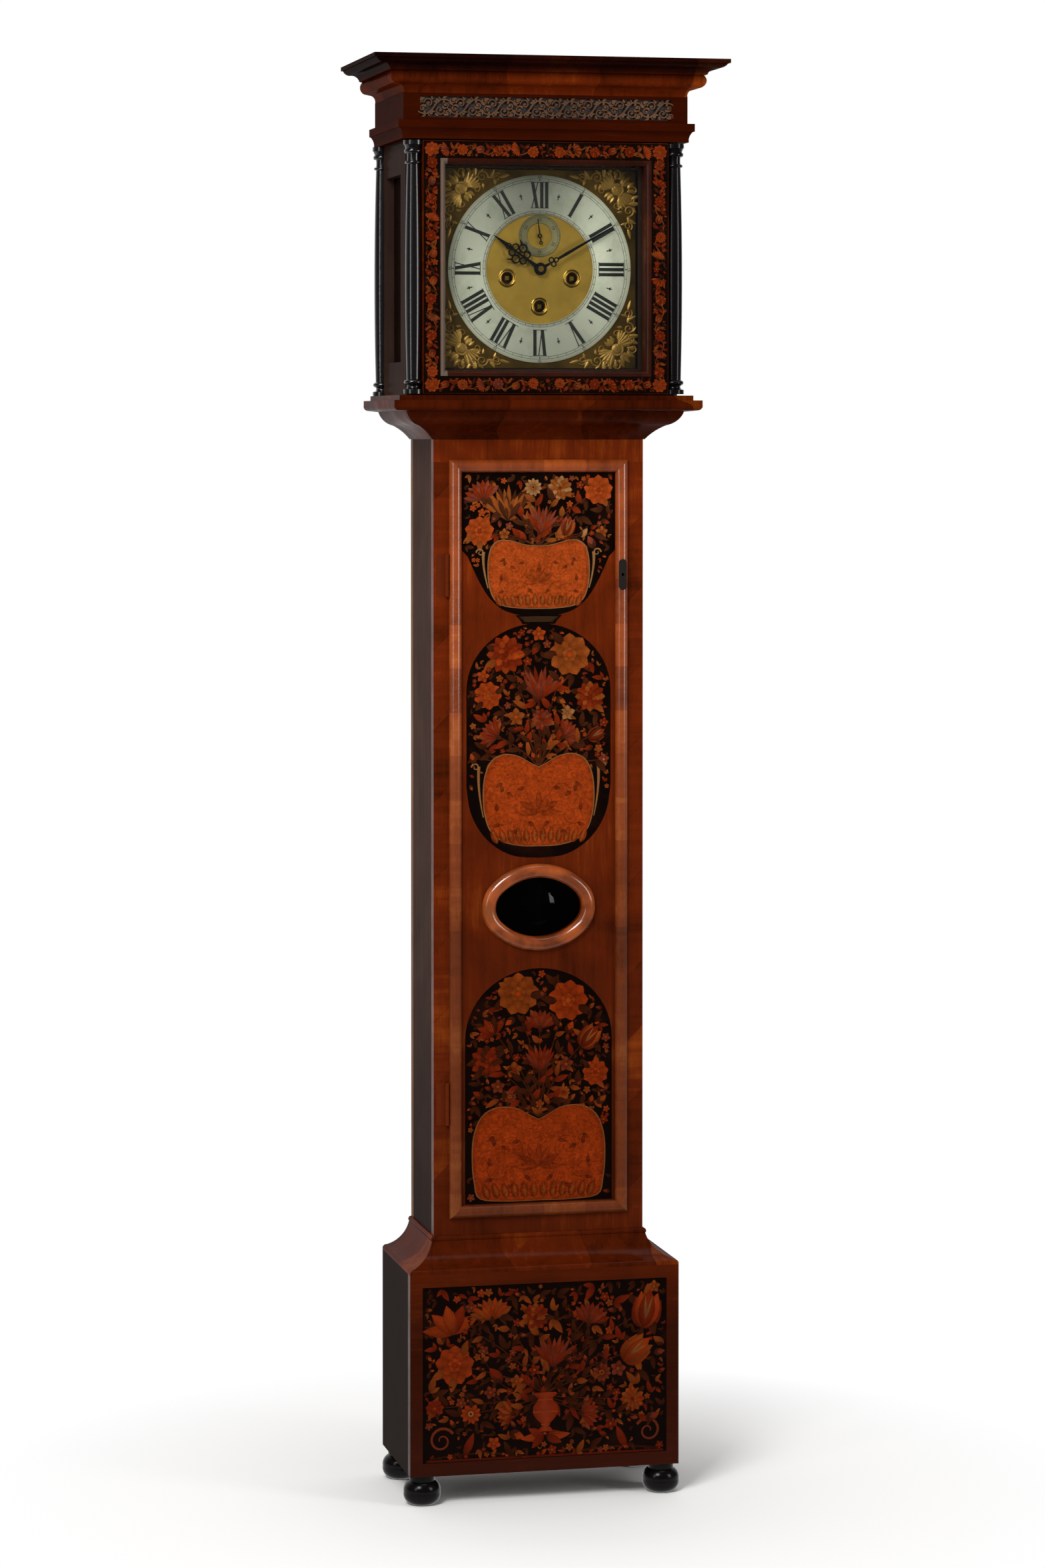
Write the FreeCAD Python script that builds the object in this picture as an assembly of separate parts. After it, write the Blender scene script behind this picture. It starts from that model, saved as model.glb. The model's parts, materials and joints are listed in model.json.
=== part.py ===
import FreeCAD, Part
import math
import os

V = FreeCAD.Vector

# A walnut longcase clock with a three-train, seconds-beating movement.
# Frame: +X to the viewer's right, the front faces -Y, +Z up, millimetres.
# The origin is under the middle of the clock, on the floor.
# Depths are measured forward from the back plane of the case.

# Case boards
BOARD = 16.0
TRUNK_WIDTH = 305.0
TRUNK_DEPTH = 163.0
TRUNK_HEIGHT = 1128.0
TRUNK_STILE = 26.0
DOOR_LOWER_RAIL = 27.0
DOOR_UPPER_RAIL = 32.0
TRUNK_INTO_BASE = 30.0
BACKBOARD_BELOW_TOP = 57.0

# Base, moulding and feet
FOOT_HEIGHT = 42.0
FOOT_RADIUS = 26.0
FOOT_NECK_RADIUS = 18.0
FOOT_SOLE_RADIUS = 14.0
FOOT_INSET = 21.0
FOOT_BACK_INSET = 28.0
BASE_STEP = 42.5
BASE_PANEL_HEIGHT = 285.0
BASE_MOULDING_HEIGHT = 47.0
FLOOR_BOARD = 14.0

# Throat moulding between the trunk and the hood
THROAT_HEIGHT = 55.0
THROAT_SHELF = 10.0

# Trunk door
DOOR_GAP = 1.0
BEAD_WIDTH = 18.0
BEAD_OVERLAP = 3.5
LENTICLE_HALF_LONG = 62.5
LENTICLE_HALF_SHORT = 42.0
LENTICLE_END_RADIUS = 28.0
LENTICLE_BEAD_WIDTH = 20.0
LENTICLE_REBATE = 4.0
LENTICLE_GLASS = 3.0
LENTICLE_FRONT_SKIN = 9.0
BULLSEYE_RADIUS = 26.0
BULLSEYE_RISE = 5.0

# Trunk door hinges
KNUCKLE_RADIUS = 3.0
KNUCKLE_LENGTH = 60.0
KNUCKLE_GAP = 0.3
HINGE_PIN_RADIUS = 1.2
HINGE_LEAF = 1.2
HINGE_LEAF_WIDTH = 15.0
HINGE_LIFT = 0.2
HINGE_CLEAR = 0.6
HINGE_FROM_END = 130.0

# Trunk lock
LOCK_WIDTH = 36.0
LOCK_HEIGHT = 60.0
LOCK_DEPTH = 7.5
LOCK_BELOW_DOOR_TOP = 164.0
BOLT_LENGTH = 22.0
BOLT_HEIGHT = 18.0
BOLT_THICKNESS = 3.5
BOLT_CLEAR = 0.2
ESCUTCHEON_WIDTH = 11.0
ESCUTCHEON_HEIGHT = 44.0
ESCUTCHEON_THICKNESS = 2.2
ESCUTCHEON_PROUD = 0.6
KEYHOLE_RADIUS = 2.2

# Hood
HOOD_DEPTH = 212.0
HOOD_SIDE = 14.0
HOOD_SIDE_SETBACK = 8.0
SILL_HEIGHT = 7.0
SILL_LIP = 7.0
SILL_FRONT_WIDTH = 45.0
SIDE_CLEAR = 1.0
FRIEZE_OVERHANG = 5.0
FRIEZE_BOARD = 16.0
ARCHITRAVE_HEIGHT = 26.0
ARCHITRAVE_OUT = 8.5
FRIEZE_HEIGHT = 38.0
CORNICE_HEIGHT = 51.0
CORNICE_OUT = 50.0
TOP_BOARD = 12.0
TOP_BOARD_DOWN = 2.0
WINDOW_FROM_BACK = 46.0
WINDOW_FROM_FRONT = 34.0
WINDOW_FROM_OPENING = 12.0
WINDOW_REBATE = 5.0
WINDOW_GLASS = 2.5
MASK_BOARD = 7.0
MASK_CLEAR = 1.0
RUNNER_WIDTH = 10.0
RUNNER_HEIGHT = 12.0
RUNNER_GAP = 2.0

# Fret in the frieze
FRET_HALF = 184.0
FRET_MARGIN = 1.5
FRET_BOARD = 3.5
SILK = 0.5
FRET_UNITS = 16

# Hood door
HOOD_DOOR_BOARD = 23.0
HOOD_FRAME = 33.0
HOOD_DOOR_GAP = 2.0
SIGHT_MARGIN = 4.0
SIGHT_BEAD = 8.0
GLASS = 3.0
GLASS_REBATE = 4.0
GLASS_CLEAR = 0.5
PIVOT_RADIUS = 2.5
PIVOT_LENGTH = 6.0
RUN = 0.05

# Columns
COLUMN_RADIUS = 11.5
COLUMN_RING = 2.5
COLUMN_CLEAR = 1.0
COLUMN_FRONT_SETBACK = 0.5
REAR_COLUMN_FROM_BACK = 14.0

# Dial
DIAL_SIZE = 280.0
DIAL_PLATE = 2.5
DIAL_SETBACK = 21.0
CHAPTER_OUTER = 133.0
CHAPTER_INNER = 77.5
CHAPTER_THICKNESS = 1.5
SECONDS_UP = 47.0
SECONDS_OUTER = 30.0
SECONDS_INNER = 18.0
SECONDS_THICKNESS = 1.2
SPANDREL_GAP = 3.0
SPANDREL_SIZE = 66.0
SPANDREL_EDGE = 4.0
SPANDREL_THICKNESS = 3.0
WINDING_HOLE = 8.0
WINDING_X = 47.0
WINDING_DROP = 13.0
GOING_DROP = 53.0

# Hands, told at ten past ten
HOUR_ANGLE = 305.0
MINUTE_ANGLE = 60.0
SECONDS_ANGLE = 352.0
HOUR_LENGTH = 82.0
MINUTE_LENGTH = 122.0
SECONDS_LENGTH = 24.0
HAND_PLATE = 1.2
SECONDS_HAND_PLATE = 0.8
SECONDS_HAND_LIFT = 2.4
HOUR_HAND_LIFT = 4.7
MINUTE_HAND_LIFT = 8.2

# Movement frame
DIAL_FOOT_LENGTH = 22.5
DIAL_FOOT_RADIUS = 3.5
DIAL_FOOT_X = 88.0
DIAL_FOOT_Z = 52.0
PLATE = 2.5
PILLAR_LENGTH = 59.5
PILLAR_RADIUS = 4.5
PLATE_HALF = 98.0
PLATE_BELOW = 106.0
PLATE_ABOVE = 95.0
LOWER_PILLAR = (88.0, -98.0)
UPPER_PILLAR = (66.0, 84.0)
SEAT_BOARD = 20.0
SEAT_BACK = 40.0
SEAT_FRONT_PAST_PLATE = 3.0
PENDULUM_SLOT_HALF = 17.0

# Going train
LEAVES = 8
GREAT_TEETH = 96
CENTRE_TEETH = 64
THIRD_TEETH = 60
ESCAPE_TEETH = 30
CANNON_TEETH = 40
MINUTE_LEAVES = 6
HOUR_TEETH = 72
CENTRE_MODULE = 0.8
THIRD_MODULE = 0.75
MOTION_MODULE = 0.8
BARREL_TEETH = 84
BARREL_MODULE = 1.0
ADDENDUM = 0.8
DEDENDUM = 1.25
ROOT_SHARE = 0.21
TIP_SHARE = 0.08
WHEEL = 2.0
GREAT_WHEEL = 3.0
RIM = 3.5
SPOKE = 4.5
ARBOR_RADIUS = 2.0
PIVOT_PIN_RADIUS = 1.5
CANNON_RADIUS = 4.1
HOUR_PIPE_RADIUS = 5.5
CANNON_RUN = 0.1
ESCAPE_RADIUS = 20.0
ESCAPE_TOOTH = 4.5

# Winding barrels, lines, pulleys and weights
# The two shares are of the width from the trunk's middle to the inside of its side.
BARREL_SHARE = 44 / 273
BARREL_FLANGE_RISE = 3.0
BARREL_LENGTH = 34.0
BARREL_FLANGE_WIDTH = 2.0
BARREL_ARBOR = 4.0
WINDING_SQUARE = 5.6
LINE_RADIUS = 1.0
LINE_GAP = 0.3
LINE_HOLE = 5.0
KNOT_RADIUS = 3.2
KNOT_HEIGHT = 3.0
PULLEY_BELOW_SEAT = 600.0
PULLEY_WIDTH = 7.0
PULLEY_RIM_RISE = 4.0
PULLEY_BOSS = 5.0
STIRRUP_PLATE = 2.0
STIRRUP_WIDTH = 8.0
STIRRUP_CLEAR = 0.3
HOOK_LENGTH = 12.0
WEIGHT_SHARE = 54 / 273
WEIGHT_LENGTH = 200.0

# Pendulum and escapement
SUSPENSION_UP = 88.0
PENDULUM_LENGTH = 994.0
PENDULUM_DEPTH = 52.0
PENDULUM_ROD = 2.5
SPRING_LENGTH = 22.0
SPRING_THICKNESS = 0.4
SPRING_WIDTH = 8.0
SPRING_GAP = 0.5
BOB_RADIUS = 52.0
BOB_EDGE = 5.0
BOB_THICKNESS = 28.0
RATING_NUT_RADIUS = 9.0
RATING_NUT_HEIGHT = 6.0
CRUTCH_LENGTH = 128.0
CRUTCH_WIDTH = 5.0
CRUTCH_PLATE = 3.0
CRUTCH_BEHIND_PLATE = 12.0
FORK_CLEAR = 0.4
FORK_RADIUS = 1.2
PALLET_CLEAR = 1.8
PALLET_WIDTH = 4.0
COCK_HALF = 26.0
COCK_HEIGHT = 22.0
COCK_BAR = 6.0
COCK_LEG = 8.0

# Bells and hammers
HOUR_BELL_X = -40.0
HOUR_BELL_RADIUS = 46.0
CHIME_BELL_X = 50.0
CHIME_BELL_RADIUS = 34.0
BELL_LIFT = 24.0
BELL_WALL = 2.5
BELL_STAND_RADIUS = 3.0
BELL_STAND_CLEAR = 2.0
BELL_FOOT = 16.0
HAMMER_X = 84.0
HAMMER_Z = 68.0
HAMMER_HEAD_RADIUS = 6.0
HAMMER_HEAD_LENGTH = 12.0
HAMMER_GAP = 2.0

# Wall fixing hole through the backboard
WALL_HOLE_RADIUS = 3.0
WALL_HOLE_X = 60.0
WALL_HOLE_BELOW_SEAT = 70.0

# Heights worked out from the sizes above
Z_BASE = FOOT_HEIGHT
Z_BASE_TOP = Z_BASE + BASE_PANEL_HEIGHT
Z_TRUNK = Z_BASE_TOP + BASE_MOULDING_HEIGHT
Z_THROAT = Z_TRUNK + TRUNK_HEIGHT
Z_SHELF = Z_THROAT + THROAT_HEIGHT
Z_SILL = Z_SHELF + SILL_HEIGHT
Z_HOOD_DOOR = Z_SILL + HOOD_DOOR_GAP
Z_OPENING = Z_HOOD_DOOR + HOOD_FRAME
Z_OPENING_TOP = Z_OPENING + DIAL_SIZE + 2 * SIGHT_MARGIN
Z_HOOD_DOOR_TOP = Z_OPENING_TOP + HOOD_FRAME
Z_ARCHITRAVE = Z_HOOD_DOOR_TOP + HOOD_DOOR_GAP
Z_FRIEZE = Z_ARCHITRAVE + ARCHITRAVE_HEIGHT
Z_CORNICE = Z_FRIEZE + FRIEZE_HEIGHT
Z_TOP = Z_CORNICE + CORNICE_HEIGHT
Z_DIAL = (Z_OPENING + Z_OPENING_TOP) / 2
Z_SEAT_TOP = Z_DIAL - PLATE_BELOW
Z_SEAT = Z_SEAT_TOP - SEAT_BOARD
Z_SUSPENSION = Z_DIAL + SUSPENSION_UP
Z_BOB = Z_SUSPENSION - PENDULUM_LENGTH
Z_PULLEY = Z_SEAT - PULLEY_BELOW_SEAT

# Widths and depths worked out from the sizes above
TRUNK_HALF = TRUNK_WIDTH / 2
BASE_HALF = TRUNK_HALF + BASE_STEP
BASE_DEPTH = TRUNK_DEPTH + BASE_STEP
OPENING_HALF = DIAL_SIZE / 2 + SIGHT_MARGIN
HOOD_DOOR_HALF = OPENING_HALF + HOOD_FRAME
COLUMN_X = HOOD_DOOR_HALF + COLUMN_RADIUS
COLUMN_D = HOOD_DEPTH - COLUMN_RADIUS - COLUMN_FRONT_SETBACK
COLUMN_RING_RADIUS = COLUMN_RADIUS + COLUMN_RING
HOOD_HALF = COLUMN_X + COLUMN_RADIUS + FRIEZE_OVERHANG
HOOD_SIDE_OUT = HOOD_HALF - HOOD_SIDE_SETBACK
HOOD_SIDE_IN = HOOD_SIDE_OUT - HOOD_SIDE
HOOD_SIDE_FRONT = COLUMN_D - COLUMN_RING_RADIUS - COLUMN_CLEAR
HOOD_DOOR_BACK = HOOD_DEPTH - HOOD_DOOR_BOARD
SILL_HALF = HOOD_HALF + SILL_LIP
SILL_DEPTH = HOOD_DEPTH + SILL_LIP
THROAT_OUT = SILL_HALF + THROAT_SHELF - TRUNK_HALF
BACK_Y = (HOOD_DEPTH + CORNICE_OUT) / 2
DOOR_OPENING_HALF = TRUNK_HALF - TRUNK_STILE
DOOR_HALF = DOOR_OPENING_HALF - DOOR_GAP
BEAD_HALF = DOOR_OPENING_HALF + BEAD_OVERLAP
Z_DOOR_OPENING = Z_TRUNK + DOOR_LOWER_RAIL
Z_DOOR_OPENING_TOP = Z_THROAT - DOOR_UPPER_RAIL
BEAD_RADIUS = BEAD_WIDTH / 2
TRUNK_FRONT_BACK = TRUNK_DEPTH - BOARD
HINGE_X = -(BEAD_HALF + KNUCKLE_RADIUS + HINGE_CLEAR)
HINGE_D = TRUNK_DEPTH + KNUCKLE_RADIUS + HINGE_LIFT
Z_LOCK = Z_DOOR_OPENING_TOP + BEAD_OVERLAP - LOCK_BELOW_DOOR_TOP
LOCK_RIGHT = DOOR_HALF - 1.5 * DOOR_GAP
KEYHOLE_X = BEAD_HALF - BEAD_RADIUS
DIAL_FRONT = HOOD_DOOR_BACK - DIAL_SETBACK
DIAL_BACK = DIAL_FRONT - DIAL_PLATE
FRONT_PLATE = DIAL_BACK - DIAL_FOOT_LENGTH - PLATE
BACK_PLATE = FRONT_PLATE - PILLAR_LENGTH
BACK_PLATE_REAR = BACK_PLATE - PLATE
MID_DEPTH = (FRONT_PLATE + BACK_PLATE) / 2
LINE_DEPTH = MID_DEPTH - 2.0
TRUNK_INSIDE = TRUNK_HALF - BOARD
BARREL_RADIUS = TRUNK_INSIDE * BARREL_SHARE
BARREL_FLANGE = BARREL_RADIUS + BARREL_FLANGE_RISE
WEIGHT_RADIUS = TRUNK_INSIDE * WEIGHT_SHARE
LINE_OFFSET = BARREL_RADIUS + LINE_RADIUS + LINE_GAP
PULLEY_GROOVE = LINE_OFFSET - LINE_RADIUS - LINE_GAP
PULLEY_RIM = PULLEY_GROOVE + PULLEY_RIM_RISE

# Arbor places, measured from the middle of the dial as (right, up)
CENTRE = (0.0, 0.0)
ESCAPE = (0.0, SECONDS_UP)
PALLETS = (0.0, SUSPENSION_UP)
GOING = (0.0, -GOING_DROP)
STRIKE = (-WINDING_X, -WINDING_DROP)
CHIME = (WINDING_X, -WINDING_DROP)
GREAT_MODULE = 2 * GOING_DROP / (GREAT_TEETH + LEAVES)
CENTRE_TO_THIRD = CENTRE_MODULE * (CENTRE_TEETH + LEAVES) / 2
THIRD_TO_ESCAPE = THIRD_MODULE * (THIRD_TEETH + LEAVES) / 2
THIRD_UP = (CENTRE_TO_THIRD ** 2 - THIRD_TO_ESCAPE ** 2 + SECONDS_UP ** 2) / (2 * SECONDS_UP)
THIRD = (math.sqrt(CENTRE_TO_THIRD ** 2 - THIRD_UP ** 2), THIRD_UP)
MOTION_DISTANCE = MOTION_MODULE * (HOUR_TEETH + MINUTE_LEAVES) / 2
CANNON_MODULE = MOTION_DISTANCE / CANNON_TEETH
MOTION_ANGLE = math.radians(-60)
MOTION = (MOTION_DISTANCE * math.cos(MOTION_ANGLE), MOTION_DISTANCE * math.sin(MOTION_ANGLE))

# Depths of the wheels, each the wheel's back face
GREAT_WHEEL_D = FRONT_PLATE - 12.5
CENTRE_WHEEL_D = FRONT_PLATE - 6.5
THIRD_WHEEL_D = FRONT_PLATE - 20.5
ESCAPE_WHEEL_D = BACK_PLATE + 20.0
SIDE_GREAT_WHEEL_D = BACK_PLATE + 3.0
SIDE_BARREL_D = BACK_PLATE + 9.0
GOING_BARREL_D = BACK_PLATE + 11.0
CANNON_WHEEL_D = FRONT_PLATE + PLATE + 3.0
HOUR_WHEEL_D = CANNON_WHEEL_D + 5.0
MINUTE_HAND_D = DIAL_FRONT + MINUTE_HAND_LIFT
HOUR_HAND_D = DIAL_FRONT + HOUR_HAND_LIFT
SECONDS_HAND_D = DIAL_FRONT + SECONDS_HAND_LIFT


# Small makers


def at(x, depth, z):
    """A point from its place across, its depth from the back plane and its height."""
    return V(x, BACK_Y - depth, z)


def box(x0, x1, d0, d1, z0, z1):
    """A box between two places across, two depths and two heights."""
    return Part.makeBox(x1 - x0, d1 - d0, z1 - z0, at(x0, d1, z0))


def both(x0, x1, d0, d1, z0, z1):
    """A box and its mirror image on the other side of the clock."""
    right = box(x0, x1, d0, d1, z0, z1)
    return [mirrored(right), right]


def mirrored(shape):
    """The shape on the other side of the clock's middle plane."""
    return shape.mirror(V(0, 0, 0), V(1, 0, 0))


def rod(x, z, d0, d1, radius):
    """A round bar that runs from front to back."""
    return Part.makeCylinder(radius, d1 - d0, at(x, d1, z), V(0, 1, 0))


def post(x, depth, z0, z1, radius):
    """A round upright bar."""
    return Part.makeCylinder(radius, z1 - z0, at(x, depth, z0), V(0, 0, 1))


def fused(shapes):
    """One solid from shapes that overlap."""
    whole = shapes[0].multiFuse(shapes[1:])
    return whole.removeSplitter()


def outline(steps, place):
    """A flat face. A step of two numbers is a straight run to that point.
    A step of four numbers is an arc through the first point to the second."""
    edges = []
    start = place(*steps[0])
    here = start
    for step in steps[1:]:
        end = place(*step[-2:])
        if len(step) == 4:
            edges.append(Part.Arc(here, place(*step[:2]), end).toShape())
        else:
            edges.append(Part.LineSegment(here, end).toShape())
        here = end
    edges.append(Part.LineSegment(here, start).toShape())
    return Part.Face(Part.Wire(edges))


def upright_turning(steps, x, depth):
    """A turned piece about an upright axis, from steps of radius and height."""
    face = outline(steps, lambda r, z: at(x + r, depth, z))
    return face.revolve(at(x, depth, 0), V(0, 0, 1), 360)


def level_turning(steps, x, z):
    """A turned piece about a front-to-back axis, from steps of radius and depth."""
    face = outline(steps, lambda r, d: at(x + r, d, z))
    return face.revolve(at(x, 0, z), V(0, 1, 0), 360)


def plan_block(points, z0, z1):
    """An upright block from its plan, given as places across and depths."""
    corners = [at(x, d, z0) for x, d in points]
    return Part.Face(Part.makePolygon(corners + corners[:1])).extrude(V(0, 0, z1 - z0))


def front_block(points, d0, d1):
    """A block from its outline seen from the front, between two depths."""
    corners = [at(x, d1, z) for x, z in points]
    return Part.Face(Part.makePolygon(corners + corners[:1])).extrude(V(0, d1 - d0, 0))


def case_moulding(steps, half, depth, z0):
    """Left, front and right lengths of a moulding, mitred at the two front corners.
    Steps are how far the moulding stands out and how high it is."""
    inner = min(step[-2] for step in steps)
    reach = max(step[-2] for step in steps) + BOARD
    top = z0 + max(step[-1] for step in steps) + BOARD
    face = outline(steps, lambda p, h: at(-half - reach, depth + p, z0 + h))
    front = face.extrude(V(2 * (half + reach), 0, 0))
    front_plan = [
        (-half - inner, depth + inner),
        (-half - reach, depth + reach),
        (half + reach, depth + reach),
        (half + inner, depth + inner),
    ]
    front = front.common(plan_block(front_plan, z0 - BOARD, top))
    face = outline(steps, lambda p, h: at(half + p, 0, z0 + h))
    side = face.extrude(V(0, -(depth + reach), 0))
    side_plan = [
        (half + inner, 0),
        (half + reach, 0),
        (half + reach, depth + reach),
        (half + inner, depth + inner),
    ]
    side = side.common(plan_block(side_plan, z0 - BOARD, top))
    return [mirrored(side), front, side]


def picture_frame(steps, half, z0, z1, depth):
    """Bottom, top, left and right lengths of a mitred frame about x = 0.
    Steps are the distance in from the outer edge and the height above its back."""
    width = max(step[-2] for step in steps)
    tall = max(max(step[1::2]) for step in steps)
    low = min(min(step[1::2]) for step in steps)
    middle = (z0 + z1) / 2
    face = outline(steps, lambda p, h: at(-half, depth + h, z0 + p))
    corners = [(-half, z0), (half, z0), (half - width, z0 + width), (-half + width, z0 + width)]
    limits = front_block(corners, depth + low, depth + tall)
    bottom = face.extrude(V(2 * half, 0, 0)).common(limits)
    face = outline(steps, lambda p, h: at(-half + p, depth + h, z0))
    corners = [(-half, z0), (-half + width, z0 + width), (-half + width, z1 - width), (-half, z1)]
    limits = front_block(corners, depth + low, depth + tall)
    left = face.extrude(V(0, 0, z1 - z0)).common(limits)
    top = bottom.mirror(V(0, 0, middle), V(0, 0, 1))
    return [bottom, top, left, mirrored(left)]


def oval_arcs(half_long, half_short, end_radius):
    """The four arcs of an oval as (centre across, centre up, radius, start, sweep)."""
    reach = half_long - end_radius
    side_radius = (reach ** 2 + half_short ** 2 - end_radius ** 2) / (2 * (half_short - end_radius))
    drop = side_radius - half_short
    turn = math.atan2(drop, reach)
    return [
        (reach, 0.0, end_radius, -turn, 2 * turn),
        (0.0, -drop, side_radius, turn, math.pi - 2 * turn),
        (-reach, 0.0, end_radius, math.pi - turn, 2 * turn),
        (0.0, drop, side_radius, math.pi + turn, math.pi - 2 * turn),
    ]


def oval_block(offset, d0, d1):
    """A block of the lenticle's oval, grown by an offset."""
    edges = []
    for x, up, radius, start, sweep in LENTICLE:
        points = []
        for share in (0.0, 0.5, 1.0):
            angle = start + share * sweep
            across = x + (radius + offset) * math.cos(angle)
            points.append(at(across, d1, Z_BOB + up + (radius + offset) * math.sin(angle)))
        edges.append(Part.Arc(*points).toShape())
    return Part.Face(Part.Wire(edges)).extrude(V(0, d1 - d0, 0))


LENTICLE = oval_arcs(LENTICLE_HALF_LONG, LENTICLE_HALF_SHORT, LENTICLE_END_RADIUS)


def toothed(teeth, module, phase, place, d0, thickness):
    """A gear wheel's solid blank. One tooth points along the phase angle."""
    pitch = 2 * math.pi / teeth
    root = module * (teeth / 2 - DEDENDUM)
    tip = module * (teeth / 2 + ADDENDUM)
    corners = ((root, -ROOT_SHARE), (tip, -TIP_SHARE), (tip, TIP_SHARE), (root, ROOT_SHARE))
    points = []
    for tooth in range(teeth):
        for radius, share in corners:
            angle = phase + (tooth + share) * pitch
            across = place[0] + radius * math.cos(angle)
            points.append((across, Z_DIAL + place[1] + radius * math.sin(angle)))
    return front_block(points, d0, d0 + thickness)


def crossed_out(wheel, place, d0, thickness, rim_radius, hub_radius):
    """The wheel with four openings cut between its rim, hub and four spokes."""
    z = Z_DIAL + place[1]
    ring = rod(place[0], z, d0, d0 + thickness, rim_radius)
    ring = ring.cut(rod(place[0], z, d0, d0 + thickness, hub_radius))
    half = SPOKE / 2
    far = rim_radius + SPOKE
    level = box(place[0] - far, place[0] + far, d0, d0 + thickness, z - half, z + half)
    upright = box(place[0] - half, place[0] + half, d0, d0 + thickness, z - far, z + far)
    return wheel.cut(ring.cut(level.fuse(upright)))


def wheel_in_mesh(teeth, module, place, toward, d0, thickness, hub):
    """A crossed-out wheel with a tooth pointing at the arbor it drives."""
    phase = math.atan2(toward[1] - place[1], toward[0] - place[0])
    blank = toothed(teeth, module, phase, place, d0, thickness)
    rim_radius = module * (teeth / 2 - DEDENDUM) - RIM
    return crossed_out(blank, place, d0, thickness, rim_radius, hub)


def pinion_in_mesh(leaves, module, place, toward, d0, thickness):
    """A pinion with a gap between two leaves facing the wheel that drives it."""
    phase = math.atan2(toward[1] - place[1], toward[0] - place[0]) + math.pi / leaves
    return toothed(leaves, module, phase, place, d0, thickness)


def arbor(place, d0, d1, radius):
    """A round bar on an arbor's place on the movement."""
    return rod(place[0], Z_DIAL + place[1], d0, d1, radius)


# Case


def back_boards():
    """The backboard, the two ears behind the hood and the two strips behind the base."""
    top = Z_TOP - BACKBOARD_BELOW_TOP
    main = box(-TRUNK_HALF, TRUNK_HALF, 0, BOARD, Z_BASE, top)
    main = main.cut(rod(WALL_HOLE_X, Z_SEAT - WALL_HOLE_BELOW_SEAT, 0, BOARD, WALL_HOLE_RADIUS))
    ears = both(TRUNK_HALF, HOOD_SIDE_IN - SIDE_CLEAR, 0, BOARD, Z_SILL + RUNNER_GAP, top)
    strips = both(TRUNK_HALF, BASE_HALF - BOARD, 0, BOARD, Z_BASE, Z_BASE_TOP)
    return [main] + ears + strips


def trunk_sides():
    """The two long sides of the trunk and the two strips that keep the hood down."""
    bottom = Z_BASE_TOP - TRUNK_INTO_BASE
    sides = both(TRUNK_HALF - BOARD, TRUNK_HALF, BOARD, TRUNK_FRONT_BACK, bottom, Z_SEAT)
    low = Z_SILL + RUNNER_GAP
    out = TRUNK_HALF + RUNNER_WIDTH
    return sides + both(TRUNK_HALF, out, BOARD, TRUNK_FRONT_BACK, low, low + RUNNER_HEIGHT)


def trunk_front_frame():
    """Two stiles and two rails around the trunk door, with seats for the hinge leaves."""
    bottom = Z_BASE_TOP - TRUNK_INTO_BASE
    left, right = both(DOOR_OPENING_HALF, TRUNK_HALF, TRUNK_FRONT_BACK, TRUNK_DEPTH, bottom, Z_SHELF)
    for z in hinge_heights():
        seat = hinge_case_plate(z)
        left = left.cut(seat)
    width = DOOR_OPENING_HALF
    lower = box(-width, width, TRUNK_FRONT_BACK, TRUNK_DEPTH, bottom, Z_DOOR_OPENING)
    upper = box(-width, width, TRUNK_FRONT_BACK, TRUNK_DEPTH, Z_DOOR_OPENING_TOP, Z_SHELF)
    return [left, right, lower, upper]


def throat_moulding():
    """The moulding that carries the hood: a cyma under a rounded shelf."""
    out = THROAT_OUT
    high = THROAT_HEIGHT
    steps = [
        (0, 0),
        (0.03 * out, 0),
        (0.15 * out, 0.16 * high, 0.39 * out, 0.36 * high),
        (0.59 * out, 0.50 * high, 0.69 * out, 0.71 * high),
        (0.91 * out, 0.74 * high),
        (0.985 * out, 0.79 * high, out, 0.88 * high),
        (out, high),
        (0, high),
    ]
    return case_moulding(steps, TRUNK_HALF, TRUNK_DEPTH, Z_THROAT)


def base_moulding():
    """The moulding between the trunk and the base: a cavetto over a rounded edge."""
    out = BASE_STEP
    high = BASE_MOULDING_HEIGHT
    steps = [
        (0, 0),
        (out, 0),
        (out, 0.06 * high),
        (0.96 * out, 0.12 * high, 0.86 * out, 0.15 * high),
        (0.36 * out, 0.40 * high, 0.08 * out, 0.85 * high),
        (0.08 * out, 0.97 * high, 0, high),
    ]
    return case_moulding(steps, TRUNK_HALF, TRUNK_DEPTH, Z_BASE_TOP)


def base_front_panel():
    """The front board of the base."""
    return [box(-BASE_HALF, BASE_HALF, BASE_DEPTH - BOARD, BASE_DEPTH, Z_BASE, Z_BASE_TOP)]


def base_carcass():
    """The two side boards and the bottom board of the base."""
    front = BASE_DEPTH - BOARD
    inside = BASE_HALF - BOARD
    sides = both(inside, BASE_HALF, 0, front, Z_BASE, Z_BASE_TOP)
    floor = box(-inside, inside, BOARD, front, Z_BASE, Z_BASE + FLOOR_BOARD)
    return sides + [floor]


def bun_feet():
    """Four turned bun feet under the base."""
    belly = 0.42 * FOOT_HEIGHT
    shoulder = 0.80 * FOOT_HEIGHT
    steps = [
        (0, 0),
        (FOOT_SOLE_RADIUS, 0),
        (0.93 * FOOT_RADIUS, 0.4 * belly, FOOT_RADIUS, belly),
        (0.92 * FOOT_RADIUS, 0.67 * FOOT_HEIGHT, FOOT_NECK_RADIUS, shoulder),
        (FOOT_NECK_RADIUS, FOOT_HEIGHT),
        (0, FOOT_HEIGHT),
    ]
    feet = []
    for depth in (FOOT_BACK_INSET, BASE_DEPTH - FOOT_INSET):
        for side in (-1, 1):
            feet.append(upright_turning(steps, side * (BASE_HALF - FOOT_INSET), depth))
    return feet


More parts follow.
